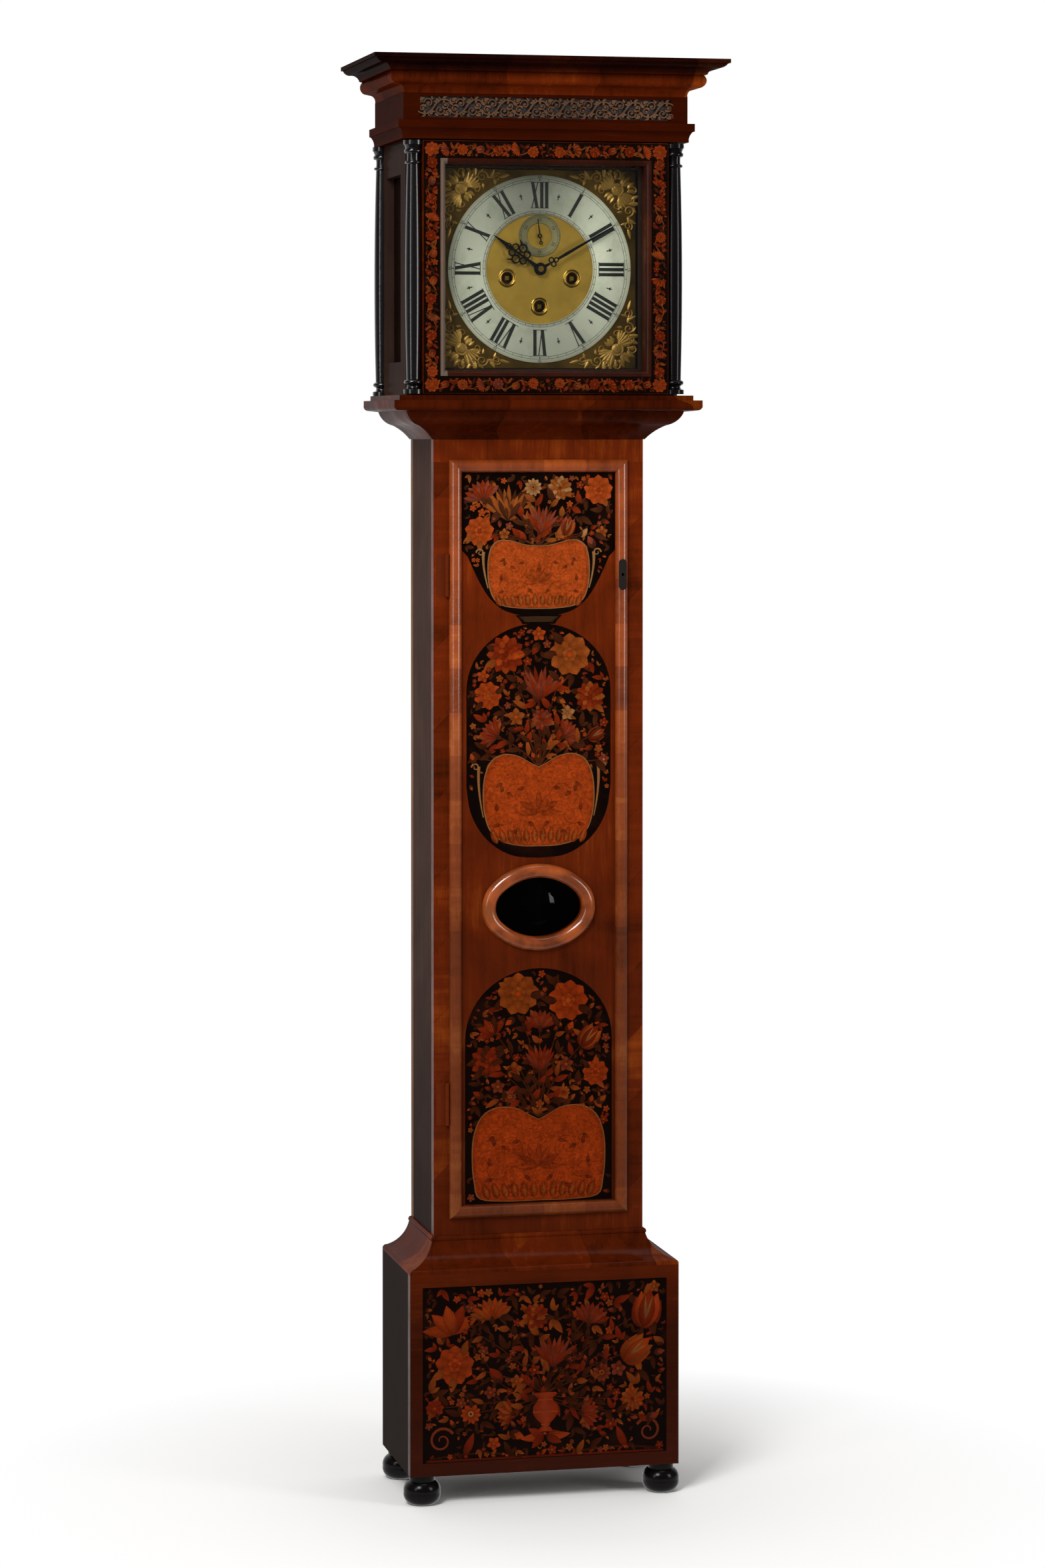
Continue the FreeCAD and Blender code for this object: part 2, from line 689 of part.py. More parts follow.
def line_places():
    """Each line as (barrel place, across where it leaves the barrel, across where it is tied)."""
    return [
        (GOING, -LINE_OFFSET, LINE_OFFSET),
        (STRIKE, STRIKE[0] - LINE_OFFSET, STRIKE[0] - 3 * LINE_OFFSET),
        (CHIME, CHIME[0] + LINE_OFFSET, CHIME[0] + 3 * LINE_OFFSET),
    ]


def seatboard():
    """The board that carries the movement, with holes for the lines and a pendulum slot."""
    front = FRONT_PLATE + PLATE + SEAT_FRONT_PAST_PLATE
    board = box(-TRUNK_HALF, TRUNK_HALF, SEAT_BACK, front, Z_SEAT, Z_SEAT_TOP)
    slot_front = BACK_PLATE_REAR - SEAT_FRONT_PAST_PLATE
    slot = box(-PENDULUM_SLOT_HALF, PENDULUM_SLOT_HALF, SEAT_BACK, slot_front, Z_SEAT, Z_SEAT_TOP)
    board = board.cut(slot)
    for place, leaves_at, tied_at in line_places():
        board = board.cut(post(leaves_at, LINE_DEPTH, Z_SEAT, Z_SEAT_TOP, LINE_HOLE))
        tie_hole = LINE_RADIUS + LINE_GAP
        board = board.cut(post(tied_at, LINE_DEPTH, Z_SEAT, Z_SEAT_TOP, tie_hole))
    return [board]


# Trunk door


def hinge_heights():
    """The lower end of each trunk hinge."""
    low = Z_DOOR_OPENING + HINGE_FROM_END
    high = Z_DOOR_OPENING_TOP - HINGE_FROM_END - KNUCKLE_LENGTH
    return [low, high]


def hinge_case_plate(z):
    """The leaf that lies in the stile beside the door."""
    right = HINGE_X
    left = right - HINGE_LEAF_WIDTH
    return box(left, right, TRUNK_DEPTH - HINGE_LEAF, TRUNK_DEPTH, z, z + KNUCKLE_LENGTH)


def hinge_barrel(z0, z1):
    """One knuckle, bored for its pin."""
    barrel = post(HINGE_X, HINGE_D, z0, z1, KNUCKLE_RADIUS)
    return barrel.cut(post(HINGE_X, HINGE_D, z0, z1, HINGE_PIN_RADIUS + RUN))


def trunk_hinge_case_leaves():
    """Two leaves with their outer knuckles, and the two hinge pins."""
    solids = []
    third = KNUCKLE_LENGTH / 3
    left = HINGE_X - KNUCKLE_RADIUS
    web_right = HINGE_X - HINGE_PIN_RADIUS - 2 * RUN
    for z in hinge_heights():
        pieces = [hinge_case_plate(z)]
        for z0 in (z, z + 2 * third):
            web = box(left, web_right, TRUNK_DEPTH - HINGE_LEAF, HINGE_D, z0, z0 + third)
            pieces += [web, hinge_barrel(z0, z0 + third)]
        solids.append(fused(pieces))
        solids.append(post(HINGE_X, HINGE_D, z, z + KNUCKLE_LENGTH, HINGE_PIN_RADIUS))
    return solids


def hinge_door_plate(z):
    """The leaf that lies under the door's edge bead."""
    third = KNUCKLE_LENGTH / 3
    low = z + third + KNUCKLE_GAP
    high = z + 2 * third - KNUCKLE_GAP
    back = TRUNK_DEPTH + HINGE_LIFT
    right = HINGE_X + KNUCKLE_RADIUS + HINGE_LEAF_WIDTH
    return box(HINGE_X + HINGE_PIN_RADIUS + RUN, right, back, back + HINGE_LEAF, low, high)


def trunk_hinge_door_leaves():
    """Two leaves with their middle knuckle."""
    solids = []
    third = KNUCKLE_LENGTH / 3
    for z in hinge_heights():
        barrel = hinge_barrel(z + third + KNUCKLE_GAP, z + 2 * third - KNUCKLE_GAP)
        solids.append(fused([barrel, hinge_door_plate(z)]))
    return solids


def escutcheon_plate():
    """The round-ended keyhole plate let into the crown of the edge bead."""
    front = TRUNK_DEPTH + BEAD_RADIUS + ESCUTCHEON_PROUD
    back = front - ESCUTCHEON_THICKNESS
    half = ESCUTCHEON_WIDTH / 2
    low = Z_LOCK - ESCUTCHEON_HEIGHT / 2 + half
    high = Z_LOCK + ESCUTCHEON_HEIGHT / 2 - half
    pieces = [box(KEYHOLE_X - half, KEYHOLE_X + half, back, front, low, high)]
    pieces += [rod(KEYHOLE_X, z, back, front, half) for z in (low, high)]
    return fused(pieces)


def keyhole():
    """The round hole that the key goes through."""
    return rod(KEYHOLE_X, Z_LOCK, TRUNK_FRONT_BACK - LOCK_DEPTH / 2, HOOD_DEPTH, KEYHOLE_RADIUS)


def trunk_door_panel():
    """The door board, with the oval window and a rebate behind for its glass."""
    low = Z_DOOR_OPENING + DOOR_GAP
    high = Z_DOOR_OPENING_TOP - DOOR_GAP
    board = box(-DOOR_HALF, DOOR_HALF, TRUNK_FRONT_BACK, TRUNK_DEPTH, low, high)
    board = board.cut(oval_block(0, TRUNK_FRONT_BACK, TRUNK_DEPTH))
    rebate_front = TRUNK_DEPTH - LENTICLE_FRONT_SKIN
    board = board.cut(oval_block(LENTICLE_REBATE, TRUNK_FRONT_BACK, rebate_front))
    return [board.cut(keyhole())]


def trunk_door_beading():
    """The mitred half-round bead round the door's edge and the oval bead round its window."""
    radius = BEAD_RADIUS
    steps = [(0, 0), (radius, radius, BEAD_WIDTH, 0)]
    low = Z_DOOR_OPENING - BEAD_OVERLAP
    high = Z_DOOR_OPENING_TOP + BEAD_OVERLAP
    bottom, top, left, right = picture_frame(steps, BEAD_HALF, low, high, TRUNK_DEPTH)
    for z in hinge_heights():
        plate = hinge_door_plate(z).BoundBox
        front = TRUNK_DEPTH + HINGE_LIFT + HINGE_LEAF
        left = left.cut(box(-BEAD_HALF, plate.XMax, TRUNK_DEPTH, front, plate.ZMin, plate.ZMax))
    right = right.cut(escutcheon_plate()).cut(keyhole())
    return [bottom, top, left, right, lenticle_bead()]


def lenticle_bead():
    """The oval half-round bead round the door's window."""
    radius = LENTICLE_BEAD_WIDTH / 2
    arcs = []
    for x, up, arc_radius, start, sweep in LENTICLE:
        cos = math.cos(start)
        sin = math.sin(start)
        z = Z_BOB + up
        steps = [(0, 0), (radius, radius, 2 * radius, 0)]

        def place(out, height):
            reach = arc_radius + out
            return at(x + reach * cos, TRUNK_DEPTH + height, z + reach * sin)

        face = outline(steps, place)
        arcs.append(face.revolve(at(x, 0, z), V(0, -1, 0), math.degrees(sweep)))
    return fused(arcs)


def lenticle_glass():
    """The window's glass, with a raised bullseye."""
    front = TRUNK_DEPTH - LENTICLE_FRONT_SKIN
    plate = oval_block(LENTICLE_REBATE - GLASS_CLEAR, front - LENTICLE_GLASS, front)
    sphere_radius = (BULLSEYE_RADIUS ** 2 + BULLSEYE_RISE ** 2) / (2 * BULLSEYE_RISE)
    middle = front + BULLSEYE_RISE - sphere_radius
    ball = Part.makeSphere(sphere_radius, at(0, middle, Z_BOB))
    half = BULLSEYE_RADIUS + BULLSEYE_RISE
    keep = box(-half, half, front - LENTICLE_GLASS / 2, TRUNK_DEPTH, Z_BOB - half, Z_BOB + half)
    return [fused([plate, ball.common(keep)])]


def bolt_space(clear):
    """The space that the lock's bolt takes, grown by a clearance."""
    left = LOCK_RIGHT - BOLT_LENGTH
    mid = TRUNK_FRONT_BACK - LOCK_DEPTH / 2
    half = BOLT_THICKNESS / 2 + clear
    low = Z_LOCK - BOLT_HEIGHT / 2 - clear
    return box(left - clear, LOCK_RIGHT, mid - half, mid + half, low, low + BOLT_HEIGHT + 2 * clear)


def trunk_lock_case():
    """The lock's iron case inside the door, and its keyhole plate outside."""
    low = Z_LOCK - LOCK_HEIGHT / 2
    back = TRUNK_FRONT_BACK - LOCK_DEPTH
    case = box(LOCK_RIGHT - LOCK_WIDTH, LOCK_RIGHT, back, TRUNK_FRONT_BACK, low, low + LOCK_HEIGHT)
    case = case.cut(bolt_space(BOLT_CLEAR))
    front_half = rod(KEYHOLE_X, Z_LOCK, TRUNK_FRONT_BACK - LOCK_DEPTH / 4, TRUNK_FRONT_BACK, KEYHOLE_RADIUS)
    return [case.cut(front_half), escutcheon_plate().cut(keyhole())]


def trunk_lock_bolt():
    """The bolt, drawn back into its case."""
    return [bolt_space(0)]


# Hood


def pivot_places():
    """The lower and upper hood door pivots as (low end, high end)."""
    low = Z_HOOD_DOOR
    high = Z_HOOD_DOOR_TOP
    reach = HOOD_DOOR_GAP + PIVOT_LENGTH
    return [(low - reach, low), (high, high + reach)]


def pivot_hole(z0, z1):
    """The bearing hole for one hood door pivot."""
    return post(COLUMN_X, COLUMN_D, z0 - RUN, z1 + RUN, PIVOT_RADIUS + RUN)


def hood_base_frame():
    """The hood's bottom frame: two side rails that slide on the shelf, and a front rail."""
    joint = SILL_DEPTH - SILL_FRONT_WIDTH
    inner = TRUNK_HALF + SIDE_CLEAR
    left, right = both(inner, SILL_HALF, 0, joint, Z_SHELF, Z_SILL)
    front = box(-SILL_HALF, SILL_HALF, joint, SILL_DEPTH, Z_SHELF, Z_SILL)
    front = front.cut(pivot_hole(*pivot_places()[0]))
    return [left, right, front]


def hood_carcass():
    """The hood's two sides with window openings, its top board and the mask round the dial."""
    side = box(HOOD_SIDE_IN, HOOD_SIDE_OUT, 0, HOOD_SIDE_FRONT, Z_SILL, Z_ARCHITRAVE)
    d0, d1, z0, z1 = window()
    side = side.cut(box(HOOD_SIDE_IN, HOOD_SIDE_OUT, d0, d1, z0, z1))
    grow = WINDOW_REBATE
    rebate = WINDOW_GLASS + GLASS_CLEAR
    side = side.cut(box(HOOD_SIDE_IN, HOOD_SIDE_IN + rebate, d0 - grow, d1 + grow, z0 - grow, z1 + grow))
    inside = HOOD_HALF - FRIEZE_BOARD
    top_front = HOOD_DEPTH - FRIEZE_BOARD
    top = Z_TOP - TOP_BOARD_DOWN
    board = box(-inside, inside, 0, top_front, top - TOP_BOARD, top)
    return [mirrored(side), side, board] + hood_mask()


def window():
    """The hood's side window as two depths and two heights."""
    back = WINDOW_FROM_BACK
    front = HOOD_SIDE_FRONT - WINDOW_FROM_FRONT
    return back, front, Z_OPENING + WINDOW_FROM_OPENING, Z_OPENING_TOP - WINDOW_FROM_OPENING


def hood_mask():
    """The thin frame behind the hood door that closes round the dial."""
    half = DIAL_SIZE / 2 + MASK_CLEAR
    back = HOOD_SIDE_FRONT - MASK_BOARD
    front = HOOD_SIDE_FRONT
    stiles = both(half, HOOD_SIDE_IN, back, front, Z_SILL, Z_ARCHITRAVE)
    lower = box(-half, half, back, front, Z_SILL, Z_DIAL - half)
    upper = box(-half, half, back, front, Z_DIAL + half, Z_ARCHITRAVE)
    return stiles + [lower, upper]


def hood_side_glass():
    """The panes of the two side windows."""
    d0, d1, z0, z1 = window()
    grow = WINDOW_REBATE - GLASS_CLEAR
    x0 = HOOD_SIDE_IN + GLASS_CLEAR
    return both(x0, x0 + WINDOW_GLASS, d0 - grow, d1 + grow, z0 - grow, z1 + grow)


def column_steps(z0, z1):
    """A turned column: moulded base, swelling shaft and moulded capital."""
    ring = COLUMN_RING_RADIUS
    shaft = COLUMN_RADIUS
    neck = shaft - COLUMN_RING
    middle = (z0 + z1) / 2
    return [
        (0, z0),
        (ring, z0),
        (ring, z0 + 6),
        (shaft, z0 + 7),
        (neck, z0 + 10, shaft, z0 + 13),
        (ring - 0.5, z0 + 16, shaft, z0 + 19),
        (neck + 0.8, z0 + 20),
        (neck + 0.8, z0 + 24),
        (shaft, middle - 20, neck, z1 - 34),
        (neck, z1 - 33),
        (shaft + 0.5, z1 - 31, neck, z1 - 29),
        (neck - 0.4, z1 - 24, neck, z1 - 18),
        (shaft, z1 - 18),
        (shaft + 1.5, z1 - 15, shaft, z1 - 12),
        (shaft - 0.5, z1 - 11),
        (ring - 1, z1 - 6),
        (ring, z1 - 6),
        (ring, z1),
        (0, z1),
    ]


def hood_rear_columns():
    """Half columns on the back edges of the hood's sides."""
    depth = REAR_COLUMN_FROM_BACK
    whole = upright_turning(column_steps(Z_SILL, Z_ARCHITRAVE), HOOD_SIDE_OUT, depth)
    reach = COLUMN_RING_RADIUS + COLUMN_CLEAR
    inner = box(HOOD_SIDE_OUT - reach, HOOD_SIDE_OUT, depth - reach, depth + reach, Z_SILL, Z_ARCHITRAVE)
    right = whole.cut(inner)
    return [mirrored(right), right]


def hood_architrave():
    """The moulded rail over the hood door."""
    out = ARCHITRAVE_OUT
    high = ARCHITRAVE_HEIGHT
    inner = HOOD_SIDE_IN - HOOD_HALF
    steps = [
        (inner, 0),
        (0.2 * out, 0),
        (0.35 * out, 0.38 * high, 0.8 * out, 0.58 * high),
        (out, 0.58 * high),
        (out, high),
        (inner, high),
    ]
    lengths = case_moulding(steps, HOOD_HALF, HOOD_DEPTH, Z_ARCHITRAVE)
    hole = pivot_hole(*pivot_places()[1])
    return [length.cut(hole) for length in lengths]


def fret_space(d0, d1):
    """A slab of the frieze's fret, between two depths."""
    return box(-FRET_HALF, FRET_HALF, d0, d1, Z_FRIEZE + FRET_MARGIN, Z_CORNICE - FRET_MARGIN)


def hood_frieze():
    """The frieze boards, with a recess in front for the fret."""
    inside = HOOD_HALF - FRIEZE_BOARD
    back = HOOD_DEPTH - FRIEZE_BOARD
    left, right = both(inside, HOOD_HALF, 0, back, Z_FRIEZE, Z_CORNICE)
    front = box(-HOOD_HALF, HOOD_HALF, back, HOOD_DEPTH, Z_FRIEZE, Z_CORNICE)
    front = front.cut(fret_space(HOOD_DEPTH - FRET_BOARD - SILK, HOOD_DEPTH))
    return [left, right, front]


def leaf_block(x0, z0, x1, z1, bulge, d0, d1):
    """A leaf-shaped block between two points, with a bulge to each side."""
    mid_x = (x0 + x1) / 2
    mid_z = (z0 + z1) / 2
    length = math.hypot(x1 - x0, z1 - z0)
    side_x = -(z1 - z0) / length * bulge
    side_z = (x1 - x0) / length * bulge
    start = at(x0, d1, z0)
    end = at(x1, d1, z1)
    first = Part.Arc(start, at(mid_x + side_x, d1, mid_z + side_z), end).toShape()
    second = Part.Arc(end, at(mid_x - side_x, d1, mid_z - side_z), start).toShape()
    return Part.Face(Part.Wire([first, second])).extrude(V(0, d1 - d0, 0))


def hood_fret():
    """The pierced fret: repeated crosses of four leaves with round holes between."""
    d0 = HOOD_DEPTH - FRET_BOARD
    d1 = HOOD_DEPTH
    plate = fret_space(d0, d1)
    unit = 2 * FRET_HALF / FRET_UNITS
    middle = (Z_FRIEZE + Z_CORNICE) / 2
    high = (FRIEZE_HEIGHT - 2 * FRET_MARGIN) / 2
    holes = []
    for i in range(FRET_UNITS):
        x = -FRET_HALF + (i + 0.5) * unit
        for side in (-1, 1):
            for up in (-1, 1):
                x0 = x + side * 0.10 * unit
                x1 = x + side * 0.40 * unit
                z0 = middle + up * 0.24 * high
                z1 = middle + up * 0.80 * high
                holes.append(leaf_block(x0, z0, x1, z1, 0.11 * unit, d0, d1))
            holes.append(rod(x, middle + side * 0.72 * high, d0, d1, 0.09 * unit))
        holes.append(rod(x, middle, d0, d1, 0.085 * unit))
    for i in range(1, FRET_UNITS):
        x = -FRET_HALF + i * unit
        holes.append(leaf_block(x, middle - 0.38 * high, x, middle + 0.38 * high, 0.14 * unit, d0, d1))
    return [plate.cut(Part.makeCompound(holes))]


def fret_silk():
    """The silk behind the fret."""
    front = HOOD_DEPTH - FRET_BOARD
    return [fret_space(front - SILK, front)]


def hood_cornice():
    """The cornice: a small cove, a bold rounded band, a cyma and a top fillet."""
    out = CORNICE_OUT
    high = CORNICE_HEIGHT
    inner = -FRIEZE_BOARD
    steps = [
        (inner, 0),
        (0, 0),
        (0.03 * out, 0.15 * high, 0.11 * out, 0.21 * high),
        (0.32 * out, 0.25 * high),
        (0.44 * out, 0.41 * high, 0.38 * out, 0.58 * high),
        (0.46 * out, 0.60 * high),
        (0.54 * out, 0.72 * high, 0.70 * out, 0.77 * high),
        (0.86 * out, 0.80 * high, 0.94 * out, 0.89 * high),
        (out, 0.89 * high),
        (out, high),
        (inner, high),
    ]
    return case_moulding(steps, HOOD_HALF, HOOD_DEPTH, Z_CORNICE)


# Hood door


def hood_door_frame():
    """The mitred frame of the glazed door, rounded at its sight edge and rebated behind."""
    bead = SIGHT_BEAD
    thick = HOOD_DOOR_BOARD
    width = HOOD_FRAME
    cos45 = math.sqrt(0.5)
    steps = [
        (0, 0),
        (0, thick),
        (width - bead, thick),
        (width - bead + bead * cos45, thick - bead * (1 - cos45), width, thick - bead),
        (width, GLASS_REBATE),
        (width - GLASS_REBATE, GLASS_REBATE),
        (width - GLASS_REBATE, 0),
    ]
    return picture_frame(steps, HOOD_DOOR_HALF, Z_HOOD_DOOR, Z_HOOD_DOOR_TOP, HOOD_DOOR_BACK)


def hood_door_glass():
    """The square pane in front of the dial."""
    half = OPENING_HALF + GLASS_REBATE - GLASS_CLEAR
    front = HOOD_DOOR_BACK + GLASS_REBATE
    return [box(-half, half, front - GLASS, front, Z_DIAL - half, Z_DIAL + half)]


def hood_door_columns():
    """The two columns on the door's edges, and the pivots on which the door swings."""
    whole = upright_turning(column_steps(Z_HOOD_DOOR, Z_HOOD_DOOR_TOP), COLUMN_X, COLUMN_D)
    reach = COLUMN_RING_RADIUS + COLUMN_CLEAR
    flat = box(
        COLUMN_X - reach, HOOD_DOOR_HALF, COLUMN_D - reach, COLUMN_D + reach, Z_HOOD_DOOR, Z_HOOD_DOOR_TOP
    )
    right = whole.cut(flat)
    pivots = [post(COLUMN_X, COLUMN_D, z0, z1, PIVOT_RADIUS) for z0, z1 in pivot_places()]
    return [mirrored(right), right] + pivots


# Dial


def dial_plate():
    """The square brass plate with its holes, and turned rings round the winding holes."""
    half = DIAL_SIZE / 2
    plate = box(-half, half, DIAL_BACK, DIAL_FRONT, Z_DIAL - half, Z_DIAL + half)
    rings = []
    for place in (GOING, STRIKE, CHIME):
        for radius in (WINDING_HOLE + 1.5, WINDING_HOLE + 4.5):
            z = Z_DIAL + place[1]
            steps = [
                (radius - 0.8, DIAL_FRONT - 0.5),
                (radius - 0.8, DIAL_FRONT),
                (radius, DIAL_FRONT + 0.8, radius + 0.8, DIAL_FRONT),
                (radius + 0.8, DIAL_FRONT - 0.5),
            ]
            rings.append(level_turning(steps, place[0], z))
    plate = fused([plate] + rings)
    for place in (GOING, STRIKE, CHIME):
        plate = plate.cut(arbor(place, DIAL_BACK, DIAL_FRONT + 2, WINDING_HOLE))
    plate = plate.cut(arbor(CENTRE, DIAL_BACK, DIAL_FRONT, HOUR_PIPE_RADIUS + 1.5))
    return [plate.cut(arbor(ESCAPE, DIAL_BACK, DIAL_FRONT, 2 * PIVOT_PIN_RADIUS))]


def dial_ring(place, inner, outer, thickness):
    """A flat ring on the dial plate, with its two front edges eased."""
    front = DIAL_FRONT + thickness
    ease = 0.3
    steps = [
        (inner, DIAL_FRONT),
        (inner, front - ease),
        (inner + ease, front),
        (outer - ease, front),
        (outer, front - ease),
        (outer, DIAL_FRONT),
    ]
    return level_turning(steps, place[0], Z_DIAL + place[1])


def dial_rings():
    """The silvered chapter ring and the small seconds ring."""
    chapter = dial_ring(CENTRE, CHAPTER_INNER, CHAPTER_OUTER, CHAPTER_THICKNESS)
    seconds = dial_ring(ESCAPE, SECONDS_INNER, SECONDS_OUTER, SECONDS_THICKNESS)
    return [chapter, seconds]


def spandrels():
    """Four cast corner pieces outside the chapter ring."""
    outer = DIAL_SIZE / 2 - SPANDREL_EDGE
    inner = outer - SPANDREL_SIZE
    front = DIAL_FRONT + SPANDREL_THICKNESS
    corners = []
    for side in (-1, 1):
        for up in (-1, 1):
            x0, x1 = sorted((side * inner, side * outer))
            z0, z1 = sorted((Z_DIAL + up * inner, Z_DIAL + up * outer))
            block = box(x0, x1, DIAL_FRONT, front, z0, z1)
            corners.append(block.cut(arbor(CENTRE, DIAL_FRONT, front, CHAPTER_OUTER + SPANDREL_GAP)))
    return corners


def bar(x0, z0, x1, z1, width0, width1, d0, d1):
    """A flat tapering bar on the dial, between two places from the dial's middle."""
    length = math.hypot(x1 - x0, z1 - z0)
    side = (-(z1 - z0) / length / 2, (x1 - x0) / length / 2)
    points = [
        (x0 + side[0] * width0, Z_DIAL + z0 + side[1] * width0),
        (x1 + side[0] * width1, Z_DIAL + z1 + side[1] * width1),
        (x1 - side[0] * width1, Z_DIAL + z1 - side[1] * width1),
        (x0 - side[0] * width0, Z_DIAL + z0 - side[1] * width0),
    ]
    return front_block(points, d0, d1)


def loop(x, z, outer, inner, d0, d1):
    """A flat ring on the dial, at a place from the dial's middle."""
    whole = rod(x, Z_DIAL + z, d0, d1, outer)
    return whole.cut(rod(x, Z_DIAL + z, d0, d1, inner))


def turned_hand(pieces, place, degrees, bore, d0, d1):
    """A hand made pointing up from the dial's middle, bored, set on its arbor and turned."""
    hand = fused(pieces)
    hand = hand.cut(rod(0, Z_DIAL, d0, d1, bore))
    hand.rotate(V(0, 0, Z_DIAL), V(0, 1, 0), degrees)
    hand.translate(V(place[0], 0, place[1]))
    return [hand]


def minute_hand():
    """The long hand: a pierced root of three loops and a slender blade."""
    d0 = MINUTE_HAND_D
    d1 = d0 + HAND_PLATE
    pieces = [rod(0, Z_DIAL, d0, d1, CANNON_RADIUS + 3.5)]
    pieces.append(bar(0, 5, 0, 16, 5, 3, d0, d1))
    for side in (-1, 1):
        pieces.append(loop(side * 3.4, 19.5, 4.2, 2.4, d0, d1))
    pieces.append(loop(0, 26, 3.8, 2.0, d0, d1))
    pieces.append(bar(0, 28.5, 0, 44, 3.6, 4.6, d0, d1))
    pieces.append(bar(0, 43, 0, MINUTE_LENGTH, 4.6, 1.2, d0, d1))
    return turned_hand(pieces, CENTRE, MINUTE_ANGLE, CANNON_RADIUS, d0, d1)


def hour_hand():
    """The short hand: a wide pierced head of loops and a pointed tip."""
    d0 = HOUR_HAND_D
    d1 = d0 + HAND_PLATE
    pieces = [rod(0, Z_DIAL, d0, d1, HOUR_PIPE_RADIUS + 3.5)]
    pieces.append(bar(0, 6, 0, 24, 6, 3.4, d0, d1))
    for side in (-1, 1):
        pieces.append(loop(side * 5.2, 27, 5.6, 3.4, d0, d1))
        pieces.append(loop(side * 9.2, 37, 6.6, 4.3, d0, d1))
        pieces.append(loop(side * 4.6, 47, 5.4, 3.3, d0, d1))
        pieces.append(bar(side * 13.5, 42, side * 17, 48, 3.2, 1, d0, d1))
    pieces.append(bar(0, 22, 0, 58, 2.6, 3.0, d0, d1))
    pieces.append(loop(0, 56, 4.4, 2.4, d0, d1))
    pieces.append(bar(0, 58, 0, HOUR_LENGTH, 6.0, 1.0, d0, d1))
    return turned_hand(pieces, CENTRE, HOUR_ANGLE, HOUR_PIPE_RADIUS, d0, d1)


def seconds_hand():
    """The small seconds hand with a counterpoise tail."""
    d0 = SECONDS_HAND_D
    d1 = d0 + SECONDS_HAND_PLATE
    pieces = [rod(0, Z_DIAL, d0, d1, PIVOT_PIN_RADIUS + 1.5)]
    pieces.append(bar(0, 0, 0, SECONDS_LENGTH, 2.0, 0.7, d0, d1))
    pieces.append(bar(0, 0, 0, -9, 1.6, 1.2, d0, d1))
    pieces.append(loop(0, -10, 2.6, 1.3, d0, d1))
    return turned_hand(pieces, ESCAPE, SECONDS_ANGLE, PIVOT_PIN_RADIUS, d0, d1)


# Movement


def hammer_places():
    """Each hammer as (side, bell centre across, bell radius)."""
    return [(-1, HOUR_BELL_X, HOUR_BELL_RADIUS), (1, CHIME_BELL_X, CHIME_BELL_RADIUS)]


def movement_plates():
    """The front and back plates with their pivot holes, and the back cock."""
    low = Z_DIAL - PLATE_BELOW
    high = Z_DIAL + PLATE_ABOVE
    front = box(-PLATE_HALF, PLATE_HALF, FRONT_PLATE, FRONT_PLATE + PLATE, low, high)
    back = box(-PLATE_HALF, PLATE_HALF, BACK_PLATE_REAR, BACK_PLATE, low, high)
    fine = PIVOT_PIN_RADIUS + RUN
    hammers = [(side * HAMMER_X, HAMMER_Z) for side, bell_x, radius in hammer_places()]
    through_both = [(THIRD, fine), (hammers[0], fine), (hammers[1], fine)]
    through_both += [(place, BARREL_ARBOR + RUN) for place in (GOING, STRIKE, CHIME)]
    through_both += [(CENTRE, ARBOR_RADIUS + RUN), (ESCAPE, fine)]
    for place, radius in through_both:
        front = front.cut(arbor(place, FRONT_PLATE, FRONT_PLATE + PLATE, radius))
        back = back.cut(arbor(place, BACK_PLATE_REAR, BACK_PLATE, radius))
    front = front.cut(arbor(PALLETS, FRONT_PLATE, FRONT_PLATE + PLATE, fine))
    front = front.cut(arbor(MOTION, FRONT_PLATE, FRONT_PLATE + PLATE, fine))
    back = back.cut(arbor(PALLETS, BACK_PLATE_REAR, BACK_PLATE, 3 * ARBOR_RADIUS))
    return [front, back, back_cock()]


def back_cock():
    """The bridge behind the back plate that carries the pallets and the pendulum."""
    low = Z_SUSPENSION - COCK_HEIGHT / 2
    high = Z_SUSPENSION + COCK_HEIGHT / 2
    bar_back = PENDULUM_DEPTH + SPRING_WIDTH / 2
    bar_front = bar_back + COCK_BAR
    legs = both(COCK_HALF - COCK_LEG, COCK_HALF, bar_back, BACK_PLATE_REAR, low, high)
    bridge = box(-COCK_HALF, COCK_HALF, bar_back, bar_front, low, high)
    bridge = bridge.cut(rod(0, Z_SUSPENSION, bar_back, bar_front, PIVOT_PIN_RADIUS + RUN))
    nose_back = PENDULUM_DEPTH - SPRING_WIDTH / 2
    nose = box(-SPRING_WIDTH, SPRING_WIDTH, nose_back, bar_back, Z_SUSPENSION, high)
    return fused(legs + [bridge, nose])


def plate_pillars():
    """The turned pillars between the plates and the feet behind the dial."""
    pillars = []
    for across, up in (LOWER_PILLAR, UPPER_PILLAR):
        right = level_turning(
            [
                (0, BACK_PLATE),
                (PILLAR_RADIUS, BACK_PLATE),
                (PILLAR_RADIUS, BACK_PLATE + 6),
                (0.7 * PILLAR_RADIUS, BACK_PLATE + 10),
                (PILLAR_RADIUS, MID_DEPTH, 0.7 * PILLAR_RADIUS, FRONT_PLATE - 10),
                (PILLAR_RADIUS, FRONT_PLATE - 6),
                (PILLAR_RADIUS, FRONT_PLATE),
                (0, FRONT_PLATE),
            ],
            across,
            Z_DIAL + up,
        )
        pillars += [mirrored(right), right]
    for up in (-DIAL_FOOT_Z, DIAL_FOOT_Z):
        right = rod(DIAL_FOOT_X, Z_DIAL + up, FRONT_PLATE + PLATE, DIAL_BACK, DIAL_FOOT_RADIUS)
        pillars += [mirrored(right), right]
    return pillars


